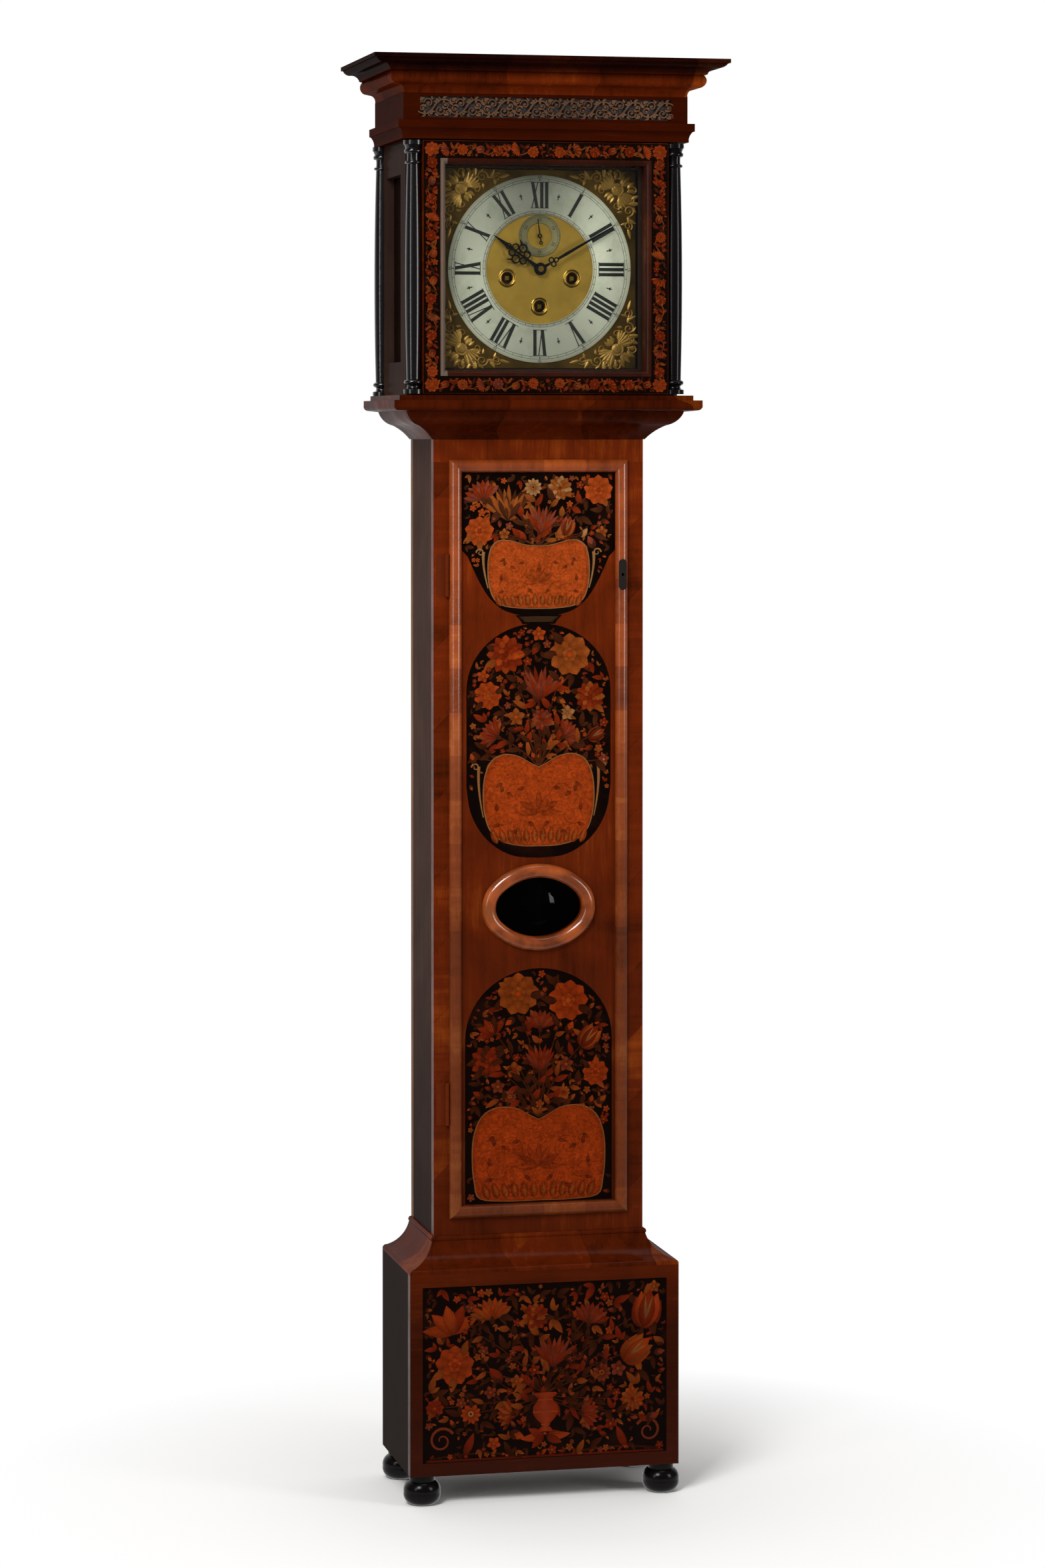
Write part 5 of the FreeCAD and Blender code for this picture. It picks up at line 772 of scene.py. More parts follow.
class Veneer:
    """Closed flat or crowned pieces laid on one face, gathered into one mesh with tints."""

    def __init__(self, place):
        self.place = place
        self.points, self.faces, self.tints = [], [], []
        self.laid = 0

    def settle(self):
        """A hair of lift that differs from piece to piece, so that no two tops share a plane."""
        self.laid += 1
        return 0.08 * (self.laid * 0.618034 % 1.0)

    def point(self, spot, rise, tint):
        self.points.append(self.place(spot[0], spot[1], rise))
        self.tints.append(tint)
        return len(self.points) - 1

    def strip(self, left, middle, right, rise, edge_tints, heart_tints, crown=0.0):
        """A long piece from rows of left, middle and right points."""
        last = len(middle) - 1
        rise += self.settle()
        widest = max(math.dist(a, b) for a, b in zip(left, right))
        tops, feet = [], []
        for i in range(last + 1):
            share = crown * math.dist(left[i], right[i]) / widest
            tops.append((self.point(left[i], rise, edge_tints[i]),
                         self.point(middle[i], rise + share, heart_tints[i]),
                         self.point(right[i], rise, scaled(edge_tints[i], 1.25))))
            feet.append(tuple(self.point(side[i], 0.0, scaled(edge_tints[i], 0.5))
                              for side in (left, middle, right)))
        for (a, b, c), (d, e, f) in zip(tops, tops[1:]):
            self.faces += [(a, b, e, d), (b, c, f, e)]
        for (a, b, c), (d, e, f) in zip(feet, feet[1:]):
            self.faces += [(a, d, e, b), (b, e, f, c)]
        self.wall(*([row[2] for row in rows] + [rows[last][1]]
                    + [row[0] for row in reversed(rows)] + [rows[0][1]] for rows in (tops, feet)))

    def wall(self, top, foot):
        for i, a in enumerate(top):
            j = (i + 1) % len(top)
            self.faces.append((a, foot[i], foot[j], top[j]))

    def disc(self, outline, rise, rim_tint, heart_tint, inner=0.75, crown=0.0, centre=None):
        """A piece inside an outline that runs anticlockwise, seen whole from its centre."""
        count = len(outline)
        rise += self.settle()
        centre = centre or (sum(p[0] for p in outline) / count, sum(p[1] for p in outline) / count)
        rim = [self.point(p, rise, rim_tint) for p in outline]
        ring = [self.point((centre[0] + (p[0] - centre[0]) * inner,
                            centre[1] + (p[1] - centre[1]) * inner),
                           rise + crown * 0.7, heart_tint) for p in outline]
        foot = [self.point(p, 0.0, scaled(rim_tint, 0.5)) for p in outline]
        top = self.point(centre, rise + crown, heart_tint)
        base = self.point(centre, 0.0, rim_tint)
        for i in range(count):
            j = (i + 1) % count
            self.faces += [(rim[i], rim[j], ring[j], ring[i]), (ring[i], ring[j], top),
                           (foot[j], foot[i], base)]
        self.wall(rim, foot)

    def button(self, spot, radius, tint, rise, crown=0.0, sides=12):
        outline = [ahead(spot, -360.0 * i / sides, radius) for i in range(sides)]
        self.disc(outline, rise, scaled(tint, 0.6), tint, 0.6, crown)

    def petal(self, root, turn, length, width, tint, rise, fat=0.7, bend=0.0, heart=0.5,
              rows=6, crown=0.0):
        """A leaf or petal from its root, widest early for a small fat, its tip bent aside."""
        left, middle, right, rims, hearts = [], [], [], [], []
        for i in range(rows + 1):
            t = i / rows
            half = max(0.1, width / 2 * max(0.0, math.sin(math.pi * t ** fat)) ** 0.8)
            sway = bend * t * t
            left.append(ahead(root, turn, length * t, sway - half))
            middle.append(ahead(root, turn, length * t, sway))
            right.append(ahead(root, turn, length * t, sway + half))
            glow = heart + (1 - heart) * math.sin(math.pi / 2 * t)
            hearts.append(scaled(tint, glow))
            rims.append(scaled(tint, glow * 0.62))
        self.strip(left, middle, right, rise, rims, hearts, crown)

    def ribbon(self, path, width, tint, rise, end_width=None, crown=0.0, edge=0.75):
        """A strip of even or tapering width along a path."""
        end_width = width if end_width is None else end_width
        left, middle, right = [], [], []
        for i, spot in enumerate(path):
            before, after = path[max(0, i - 1)], path[min(len(path) - 1, i + 1)]
            turn = bearing(before, after)
            half = (width + (end_width - width) * i / (len(path) - 1)) / 2
            left.append(ahead(spot, turn, 0.0, -half))
            middle.append(spot)
            right.append(ahead(spot, turn, 0.0, half))
        self.strip(left, middle, right, rise, [scaled(tint, edge)] * len(path),
                   [tint] * len(path), crown)

    def join(self, other):
        """Takes in what another gathering holds."""
        first = len(self.points)
        self.points += other.points
        self.tints += other.tints
        self.faces += [tuple(i + first for i in face) for face in other.faces]

    def piece(self, name, finish, slot, body, tinted=True, replaced=()):
        return put_piece(name, self.points, self.faces, finish, body,
                         self.tints if tinted else None, replaced)


def flat_on(front_y, level=0.0):
    """Lays (across, up, rise) in millimetres on an upright face, up from a level."""
    return lambda u, v, rise: (u * MM, (front_y - rise) * MM, (level + v) * MM)


# ---- flowers

class Garden(Veneer):
    """Flowers, leaves, stems and urns cut from veneers for one panel."""

    def __init__(self, front_y, scene, seed, glow):
        super().__init__(flat_on(front_y))
        tints, sizes = scene.clock_finishes, scene.clock_sizes
        self.rng = random.Random(seed)
        self.base = sizes.slip / MM
        self.lay = sizes.veneer / MM
        self.ground_tint = tuple(tints.ground)
        # The woods are scaled by the panel's glow, a painted shade that differs from panel to
        # panel.
        self.woods = {key: tuple(c * g for c, g in zip(getattr(tints, key), glow))
                      for key in ("flame", "amber", "rust", "blush", "cream", "leaf")}
        self.taken, self.outline = [], None

    def wood(self, name, low=0.86, high=1.12):
        return scaled(self.woods[name], self.rng.uniform(low, high))

    def ground(self, outline):
        self.outline = outline
        self.disc(outline, self.lay, scaled(self.ground_tint, 0.8), self.ground_tint, 0.9)

    def leaf(self, root, turn, length, width, name="leaf", rise=0.0, bend=None):
        bend = self.rng.uniform(-0.25, 0.25) * length if bend is None else bend
        tint = self.wood(name)
        while not all(
                inside(ahead(root, turn, share * length + 1.5, bend + aside), self.outline)
                for share, aside in ((1.0, 0.0), (0.6, -0.6 * width), (0.6, 0.6 * width))):
            length, width, bend = length * 0.8, width * 0.9, bend * 0.6
            if length < 5.0:
                return
        self.petal(root, turn, length, width, tint, self.base + rise, 0.8, bend, 0.55)
        path = [ahead(root, turn, length * t, bend * t * t) for t in (0.05, 0.3, 0.55, 0.8)]
        self.ribbon(path, 0.7, scaled(tint, 0.45), self.base + rise + 0.04, 0.3)

    def rose(self, spot, r, turn, name, second):
        rings = ((9, 0.40, 0.62, 0.66, 1.0), (7, 0.18, 0.52, 0.54, 0.86),
                 (5, 0.0, 0.36, 0.42, 1.05))
        for ring, (count, inner, length, width, glow) in enumerate(rings):
            for k in range(count):
                a = turn + 360.0 * (k + 0.5 * ring) / count
                self.petal(ahead(spot, a, inner * r), a, length * r, width * r,
                           scaled(self.wood(name), glow),
                           self.base + 0.12 * ring, 0.95, 0.0, 0.5)
        self.button(spot, 0.15 * r, self.wood(second), self.base + 0.5)

    def peony(self, spot, r, turn, name, second):
        for ring, (count, inner, length, width) in enumerate(
                ((12, 0.38, 0.62, 0.44), (9, 0.16, 0.56, 0.40), (6, 0.0, 0.42, 0.34))):
            for k in range(count):
                a = turn + 360.0 * (k + 0.5 * ring) / count
                wood = self.wood(name if (k + ring) % 3 else second, 0.75, 1.15)
                self.petal(ahead(spot, a, inner * r), a, length * r, width * r, wood,
                           self.base + 0.12 * ring, 1.1, 0.0, 0.45)
        self.button(spot, 0.13 * r, self.wood("rust", 0.5, 0.7), self.base + 0.5)

    def daisy(self, spot, r, turn, name, second):
        for k in range(11):
            a = turn + 360.0 * k / 11
            self.petal(ahead(spot, a, 0.2 * r), a, 0.8 * r, 0.46 * r, self.wood(name),
                       self.base + 0.05 * (k % 2), 1.2, 0.0, 0.45)
        self.button(spot, 0.3 * r, self.wood(second), self.base + 0.15)
        self.button(spot, 0.12 * r, self.wood("rust", 0.4, 0.6), self.base + 0.2)

    def carnation(self, spot, r, turn, name, second):
        foot = ahead(spot, turn + 180.0, 0.9 * r)
        for tier, (count, length, fan) in enumerate(((9, 1.9, 62.0), (6, 1.4, 44.0))):
            for k in range(count):
                a = turn + fan * (2.0 * k / (count - 1) - 1.0)
                wood = self.wood(name if k % 2 else second, 0.8, 1.1)
                self.petal(foot, a, length * r, 0.46 * r, wood,
                           self.base + 0.1 * tier + 0.05 * (k % 2), 1.9, 0.0, 0.35)
        self.petal(ahead(foot, turn + 180.0, 0.35 * r), turn, 0.8 * r, 0.42 * r,
                   self.wood("leaf"), self.base + 0.3)

    def tulip(self, spot, r, turn, name, second):
        foot = ahead(spot, turn + 180.0, r)
        for tier, (spread, length, width, wood) in enumerate((
                (38.0, 1.7, 0.8, name), (-38.0, 1.7, 0.8, name), (20.0, 2.0, 0.8, second),
                (-20.0, 2.0, 0.8, second), (0.0, 2.1, 0.9, name))):
            self.petal(foot, turn + spread, length * r, width * r, self.wood(wood),
                       self.base + 0.05 * tier, 0.9, -spread * 0.012 * r, 0.4)
        for spread in (-9.0, 9.0):
            self.petal(ahead(foot, turn, 0.5 * r), turn + spread, 1.3 * r, 0.16 * r,
                       self.wood("cream", 0.7, 0.9), self.base + 0.3)

    def lily(self, spot, r, turn, name, second):
        foot = ahead(spot, turn + 180.0, 0.9 * r)
        for tier, (spread, bend) in enumerate(((52.0, 0.5), (-52.0, -0.5), (26.0, 0.2),
                                               (-26.0, -0.2), (0.0, 0.0))):
            self.petal(foot, turn + spread, 1.8 * r, 0.78 * r,
                       self.wood(name if tier != 2 else second), self.base + 0.05 * tier,
                       0.9, bend * r, 0.45)
        for spread in (-14.0, 0.0, 14.0):
            path = [ahead(foot, turn + spread, f * r) for f in (0.4, 0.9, 1.4)]
            self.ribbon(path, 0.9, self.wood("amber"), self.base + 0.32, 0.5)

    def plume(self, spot, r, turn, name, second):
        foot = ahead(spot, turn + 180.0, r)
        for tier, (count, length, fan) in enumerate(
                ((11, 2.0, 96.0), (8, 1.5, 70.0), (5, 1.0, 44.0))):
            for k in range(count):
                a = turn + fan * (k / (count - 1.0) - 0.5)
                self.petal(foot, a, (length - 0.22 * (k % 2)) * r, 0.27 * r,
                           self.wood(second if k % 3 == 1 else name, 0.7, 1.1),
                           self.base + 0.1 * tier + 0.05 * (k % 2), 1.5,
                           self.rng.uniform(-0.14, 0.14) * r, 0.4)

    def bud(self, spot, r, turn, name, second="leaf"):
        foot = ahead(spot, turn + 180.0, r)
        self.petal(foot, turn, 2.0 * r, 1.15 * r, self.wood(name), self.base + 0.05, 0.75)
        self.petal(foot, turn - 24.0, 1.3 * r, 0.5 * r, self.wood(second), self.base + 0.1)
        self.petal(foot, turn + 24.0, 1.3 * r, 0.5 * r, self.wood(second), self.base + 0.1)

    def blossom(self, spot, r, turn, name, second="amber"):
        for k in range(5):
            a = turn + 72.0 * k
            self.petal(ahead(spot, a, 0.1 * r), a, 0.92 * r, 0.75 * r, self.wood(name),
                       self.base + 0.04 * (k % 2), 1.0, 0.0, 0.5, rows=5)
        self.button(spot, 0.24 * r, self.wood(second), self.base + 0.12, sides=8)

    def spray(self, path, length, width, name="leaf", pairs=3):
        """A thin stem with leaves in pairs and one at its tip."""
        self.ribbon(path, 1.4, self.wood("leaf", 0.8, 1.0), self.lay + 0.10, 0.8)
        steps = len(path) - 1
        for k in range(pairs):
            i = round(steps * (0.25 + 0.62 * k / max(1, pairs - 1)))
            i = min(max(i, 1), steps - 1)
            turn = bearing(path[i - 1], path[i + 1])
            share = 1.0 - 0.22 * k
            for side in (-1, 1):
                self.leaf(path[i], turn + side * 48.0, length * share, width * share, name,
                          0.03 * (side > 0))
        self.leaf(path[-2], bearing(path[-2], path[-1]), length, width, name, 0.05, 0.0)

    def grow(self, mouth, blooms):
        """Stems from the mouth to every bloom, leaves along them, then the blooms."""
        for _, x, z, r, *_ in blooms:
            spot = (x, z)
            control = (mouth[0] + (x - mouth[0]) * 0.25, mouth[1] + (z - mouth[1]) * 0.55)
            path = bow(mouth, control, spot, 12)
            self.ribbon(path, 1.8, self.wood("leaf", 0.9, 1.2), self.lay + 0.10, 1.2)
            for k, i in enumerate((4, 6, 8, 9, 11)):
                if math.dist(path[i], spot) < r + 2.0 or any(
                        math.dist(path[i], (b[1], b[2])) < b[3] - 1.0 for b in blooms):
                    continue
                turn = bearing(path[i - 1], path[i + 1])
                side = -1 if k % 2 else 1
                self.leaf(path[i], turn + side * self.rng.uniform(30, 62),
                          self.rng.uniform(15, 24), self.rng.uniform(7.0, 10.0),
                          self.rng.choice(("leaf", "leaf", "amber", "rust")), 0.03 * k)
                self.taken.append((*ahead(path[i], turn + side * 45.0, 9.0), 4.5))
            self.taken.append((x, z, r))
        for kind, x, z, r, turn, name, second in blooms:
            for lean in (-75.0, 75.0, 130.0):
                away = bearing(mouth, (x, z)) + 180.0 + lean
                self.leaf(ahead((x, z), away, 0.55 * r), away, 0.85 * r, 0.42 * r,
                          self.rng.choice(("leaf", "leaf", "amber")), 0.0)
            getattr(self, kind)((x, z), r, turn, name, second)

    def fill(self, outline, names, passes):
        """Leaves, buds and blossoms in the free places of the ground, largest first."""
        low_u, high_u = min(p[0] for p in outline), max(p[0] for p in outline)
        low_v, high_v = min(p[1] for p in outline), max(p[1] for p in outline)
        for tries, small, large, leafy in passes:
            for _ in range(tries):
                spot = (self.rng.uniform(low_u, high_u), self.rng.uniform(low_v, high_v))
                r, kind = self.rng.uniform(small, large), self.rng.random()
                turn, name = self.rng.uniform(0.0, 360.0), self.rng.choice(names)
                if not all(inside(ahead(spot, 45.0 * k, r + 1.5), outline) for k in range(8)):
                    continue
                if any(math.dist(spot, (x, z)) < 0.8 * r + room for x, z, room in self.taken):
                    continue
                self.taken.append((*spot, r * 0.8))
                if kind < leafy:
                    foot = ahead(spot, turn + 180.0, r)
                    name = self.rng.choice(("leaf", "leaf", "leaf", "amber", "rust"))
                    self.leaf(foot, turn, 2.0 * r, 0.85 * r, name, 0.02)
                    self.leaf(foot, turn + 55.0, 1.3 * r, 0.6 * r, name, 0.0)
                elif kind < leafy + (1.0 - leafy) * 0.5:
                    self.bud(spot, r, turn, name)
                else:
                    self.blossom(spot, r, turn, name)

    def urn(self, half_outline):
        """A two-lobed urn of burr wood with a pale edge, straps and flutes cut into it."""
        right = smoothed(half_outline, 4)
        outline = [(-u, v) for u, v in right[1:-1]] + list(reversed(right))
        tint = (*self.woods["flame"], 0.0)
        high = max(v for _, v in right)
        low = min(v for _, v in right)
        wide = max(u for u, _ in right)
        tall = right[0][1] - low
        centre = (0.0, low + tall * 0.5)
        lift = self.base + 0.30
        edge = [(centre[0] + (u - centre[0]) * (1.0 + 1.6 / wide),
                 centre[1] + (v - centre[1]) * (1.0 + 2.2 / tall)) for u, v in outline]
        self.disc(edge, lift, self.wood("cream", 0.55, 0.7), self.wood("cream", 0.6, 0.7),
                  0.9, centre=centre)
        lift += 0.05
        self.disc(outline, lift, scaled(tint, 0.72), tint, 0.92, centre=centre)
        cut, pale = scaled(tint, 0.66), scaled((*self.woods["amber"], 0.0), 1.15)
        for side in (-1, 1):
            for (u, v, turn, sweep, first, last, tone) in (
                    (0.44, 0.66, 200.0, 470.0, 0.19, 0.03, cut),
                    (0.36, 0.28, 20.0, -430.0, 0.16, 0.03, cut),
                    (0.66, 0.40, 250.0, -380.0, 0.15, 0.03, cut),
                    (0.72, 0.76, 120.0, 400.0, 0.11, 0.02, pale)):
                path = curl((u * wide, low + v * tall), turn, sweep, first * tall, last * tall, 18)
                path = [(side * p[0], p[1]) for p in path]
                self.ribbon(path, 1.3, tone, lift + 0.03, 0.6, edge=0.85)
                for k in (4, 9):
                    self.petal(path[k], bearing(path[k], path[k + 1]) + side * 50.0,
                               0.11 * tall, 0.05 * tall, scaled(tint, 0.66), lift + 0.05)
            for k in range(6):
                root = (side * wide * (0.07 + 0.82 * k / 6), low + 0.03 * tall)
                self.petal(root, side * (2.0 + 4.0 * k), 0.22 * tall, 0.13 * wide,
                           scaled(tint, 0.78), lift + 0.05, 0.8, 0.0, 0.7)
                self.petal(ahead(root, 0.0, 1.0), side * (2.0 + 4.0 * k), 0.17 * tall,
                           0.06 * wide, pale, lift + 0.1, 0.8, 0.0, 0.7)
        for k in range(7):
            self.petal((0.0, low + 0.42 * tall), 30.0 * (k - 3), 0.30 * tall, 0.09 * tall,
                       scaled(tint, 0.74 if k % 2 else 0.9), lift + 0.05, 0.9, 0.0, 0.75)
        self.taken.append((0.0, centre[1], 0.55 * tall))
        self.taken += [(u * wide, low - 8.0, 11.0) for u in (-0.6, -0.4, -0.2, 0.0, 0.2, 0.4, 0.6)]
        for u in (-0.6, 0.6):
            self.taken.append((u * wide, low + 0.6 * tall, 0.44 * tall))
            self.taken.append((u * wide, low + 0.2 * tall, 0.34 * tall))
        return wide, low, high

    def foot(self, top, wide, tall):
        """A low dark foot below an urn, with a pale slip along it."""
        middle = top - tall / 2
        shape = both_sides([(0.0, top), (wide, top - 0.1 * tall), (0.8 * wide, top - 0.6 * tall),
                            (0.7 * wide, top - tall), (0.0, top - tall)])
        slip = [(0.86 * u, middle + 0.6 * (v - middle)) for u, v in shape]
        tint = scaled(self.woods["cream"], 0.09)
        self.disc(shape, self.lay, scaled(self.ground_tint, 0.8), self.ground_tint, 0.9)
        self.disc(slip, self.base, scaled(tint, 0.7), tint, 0.8)

    def handle(self, wide, high, drop, side):
        """A strap that curls out at an urn's shoulder and runs down beside it."""
        eye = (side * (wide + 12.0), high - 17.0)
        strap = bow((side * (wide + 7.0), high - 16.0), (side * (wide + 9.5), high - 0.6 * drop),
                    (side * (wide + 0.5), high - drop - 8.0), 12)
        self.ribbon(strap, 4.4, self.wood("cream", 0.65, 0.8), self.base + 0.02, 1.4)
        scroll = curl(eye, 90.0 * side, -400.0 * side, 6.0, 1.5, 16)
        self.ribbon(scroll, 2.4, self.wood("cream", 0.65, 0.8), self.base + 0.04, 1.0)
        self.taken += [(*strap[3 * k], 5.0) for k in range(4)] + [(*eye, 8.0)]


def smoothed(points, steps):
    """Points along a smooth curve through these."""
    found = []
    for i in range(len(points) - 1):
        a, b, c, d = (points[max(0, i - 1)], points[i], points[i + 1],
                      points[min(len(points) - 1, i + 2)])
        for k in range(steps):
            t = k / steps
            found.append(tuple(
                0.5 * (2 * q + (r - p) * t + (2 * p - 5 * q + 4 * r - w) * t * t
                       + (3 * q - p - 3 * r + w) * t ** 3) for p, q, r, w in zip(a, b, c, d)))
    return found + [points[-1]]


def inside(spot, outline):
    """Whether a point is inside an outline."""
    found = False
    for (a, b), (c, d) in zip(outline, outline[1:] + outline[:1]):
        if (b > spot[1]) != (d > spot[1]) and spot[0] < (c - a) * (spot[1] - b) / (d - b) + a:
            found = not found
    return found


def both_sides(half):
    """An outline that runs anticlockwise from its right half, listed from top to bottom."""
    return [(-u, v) for u, v in half if u > 0.01] + list(reversed(half))


def arch(half_wide, spring, top):
    """The right half of an arched top, from its crown to its spring."""
    count = 14
    return [(half_wide * math.sin(math.pi / 2 * i / count),
             spring + (top - spring) * math.cos(math.pi / 2 * i / count))
            for i in range(count + 1)]


# woods of the small flowers
PETALS = ("rust", "rust", "flame", "amber", "blush")
UPPER_HALF = [(0, 1455), (111.5, 1455), (111.5, 1345)] + smoothed(
    [(103, 1336), (95, 1318), (85, 1298), (72, 1278), (53, 1261),
     (28, 1253), (0, 1251)], 4)
MIDDLE_HALF = arch(105, 1146, 1241) + smoothed(
    [(105, 1010), (99.5, 975), (85, 946), (63, 924),
     (35, 910.5), (0, 907.5)], 4)
LOWER_HALF = arch(107, 650, 750) + [(107, 417), (0, 417)]
UPPER_URN = [(0, 1350), (20, 1352), (40, 1357.5), (56, 1358), (67, 1350),
             (72, 1334), (73, 1314), (71, 1294), (64, 1276), (50, 1266.5),
             (24, 1263), (0, 1262.5)]
MIDDLE_URN = [(0, 1036), (12, 1042), (28, 1051), (48, 1054.5), (66, 1047),
              (77, 1026), (80, 996), (77, 967), (68, 945), (49, 931),
              (24, 925.5), (0, 925)]
LOWER_URN = [(0, 534), (14, 541), (34, 551), (62, 552), (83, 539),
             (94, 512), (96, 478), (93, 447), (85, 425), (46, 420),
             (0, 420)]


def bouquet(table):
    """Blooms from rows of kind, place across and up, radius, turn, wood and second wood."""
    rows = [row.split() for row in table.strip().splitlines()]
    return [(row[0], *map(float, row[1:5]), *row[5:]) for row in rows]


UPPER_BLOOMS = bouquet("""
    carnation -84 1428 16 -20 rust blush
    plume -47 1412 26 -4 amber leaf
    daisy -8 1434 13 0 cream amber
    peony 31 1433 18 10 amber cream
    rose 87 1430 21 0 flame rust
    rose -86 1372 21 0 flame rust
    plume 4 1388 21 4 blush rust
    bud 66 1369 8 40 cream leaf
    blossom 92 1370 9 0 amber rust
    tulip 42 1378 14 18 rust blush
    blossom -50 1368 8 0 amber rust
""")
MIDDLE_BLOOMS = bouquet("""
    peony -48 1197 28 0 rust flame
    rose 45 1196 30 0 amber flame
    rose -74 1139 20 12 flame amber
    peony 75 1136 22 0 rust amber
    plume 2 1156 25 2 blush rust
    peony 5 1104 16 0 blush rust
    blossom -33 1108 13 0 amber flame
    blossom 42 1113 11 0 cream amber
    carnation -70 1086 15 -60 rust blush
    carnation 46 1084 14 62 blush rust
    tulip 84 1082 13 60 rust leaf
    bud -96 1050 8 -20 flame leaf
    blossom 95 1046 8 0 blush cream
""")
LOWER_BLOOMS = bouquet("""
    rose -30 714 30 0 amber flame
    rose 43 703 29 8 flame amber
    carnation 2 676 15 0 blush rust
    tulip 74 650 19 40 rust amber
    peony -76 619 24 0 rust leaf
    rose 83 599 19 0 flame rust
    lily -72 668 15 -35 rust leaf
    plume 2 622 20 0 rust blush
    blossom -36 606 12 0 amber rust
    blossom 40 612 11 0 blush amber
    bud -88 572 9 -60 rust leaf
    bud 92 560 9 50 amber leaf
    daisy 36 572 10 0 amber rust
    daisy -42 568 10 0 blush amber
""")
BASE_BLOOMS = bouquet("""
    lily -138 262 24 -14 flame rust
    carnation -79 274 18 -8 flame amber
    rose -131 198 28 0 flame rust
    tulip 148 264 27 10 rust flame
    tulip 132 208 24 52 flame amber
    bud -72 181 14 -40 rust leaf
    blossom -42 171 10 0 amber flame
    carnation 66 262 17 12 blush rust
    peony -14 262 20 0 rust amber
    plume 12 212 24 4 blush rust
    daisy 82 178 14 0 blush amber
    peony 127 138 18 0 amber flame
    bud 156 112 11 70 blush leaf
    rose -160 138 13 0 rust amber
    daisy -108 128 15 0 flame cream
    carnation 64 122 15 88 rust blush
    carnation -58 126 13 -84 amber rust
""")


# ---- operators

class CLOCK_OT_finishes(bpy.types.Operator):
    """Makes every finish and gives one to each part of the frame"""

    bl_idname = "clock.finishes"
    bl_label = "Finishes"

    def execute(self, context):
        make_finishes(context.scene.clock_finishes)
        given = {name: finish for finish, names in NODE_FINISH.items() for name in names.split()}
        for name, part in frame["nodes"].items():
            if name not in given:
                raise RuntimeError(f"no finish for {name}")
            if not part.material_slots:
                part.data.materials.append(FINISH[given[name]])
            for slot in part.material_slots:
                slot.material = FINISH[given[name]]
        return {"FINISHED"}


class CLOCK_OT_door_marquetry(bpy.types.Operator):
    """Lays the three flower panels on the trunk door"""

    bl_idname = "clock.door_marquetry"
    bl_label = "Door marquetry"

    # name, right half of the panel, right half of its urn, blooms, height of the urn's mouth,
    # seed, and the share of the woods' red, green and blue kept, painted shade that darkens and
    # warms the lower panels
    PANELS = (
        ("marquetry_upper", UPPER_HALF, UPPER_URN, UPPER_BLOOMS, 1349.0, 17, (0.86, 0.84, 0.84)),
        ("marquetry_middle", MIDDLE_HALF, MIDDLE_URN, MIDDLE_BLOOMS, 1034.0, 29,
         (0.74, 0.62, 0.52)),
        ("marquetry_lower", LOWER_HALF, LOWER_URN, LOWER_BLOOMS, 538.0, 43, (0.54, 0.38, 0.22)),
    )
    # tries, least and greatest half size, share of leaves
    PASSES = ((500, 8.0, 11.0, 0.8), (1200, 5.0, 8.0, 0.65), (2600, 3.0, 5.0, 0.5))
    FOOT = (1254.0, 34.0, 14.0)  # top, half width and height of the upper urn's foot

    def execute(self, context):
        for name, half, urn, blooms, mouth, seed, glow in self.PANELS:
            garden = Garden(DOOR_Y, context.scene, seed, glow)
            outline = both_sides(half)
            garden.ground(outline)
            garden.grow((0.0, mouth), blooms)
            wide, low, high = garden.urn(urn)
            if urn is not LOWER_URN:
                for side in (-1, 1):
                    garden.handle(wide, high, 0.62 * (high - low), side)
            garden.fill(outline, PETALS, self.PASSES)
            if urn is UPPER_URN:
                garden.foot(*self.FOOT)
            garden.piece(name, "marquetry", "walnut", "trunk_door")
        return {"FINISHED"}


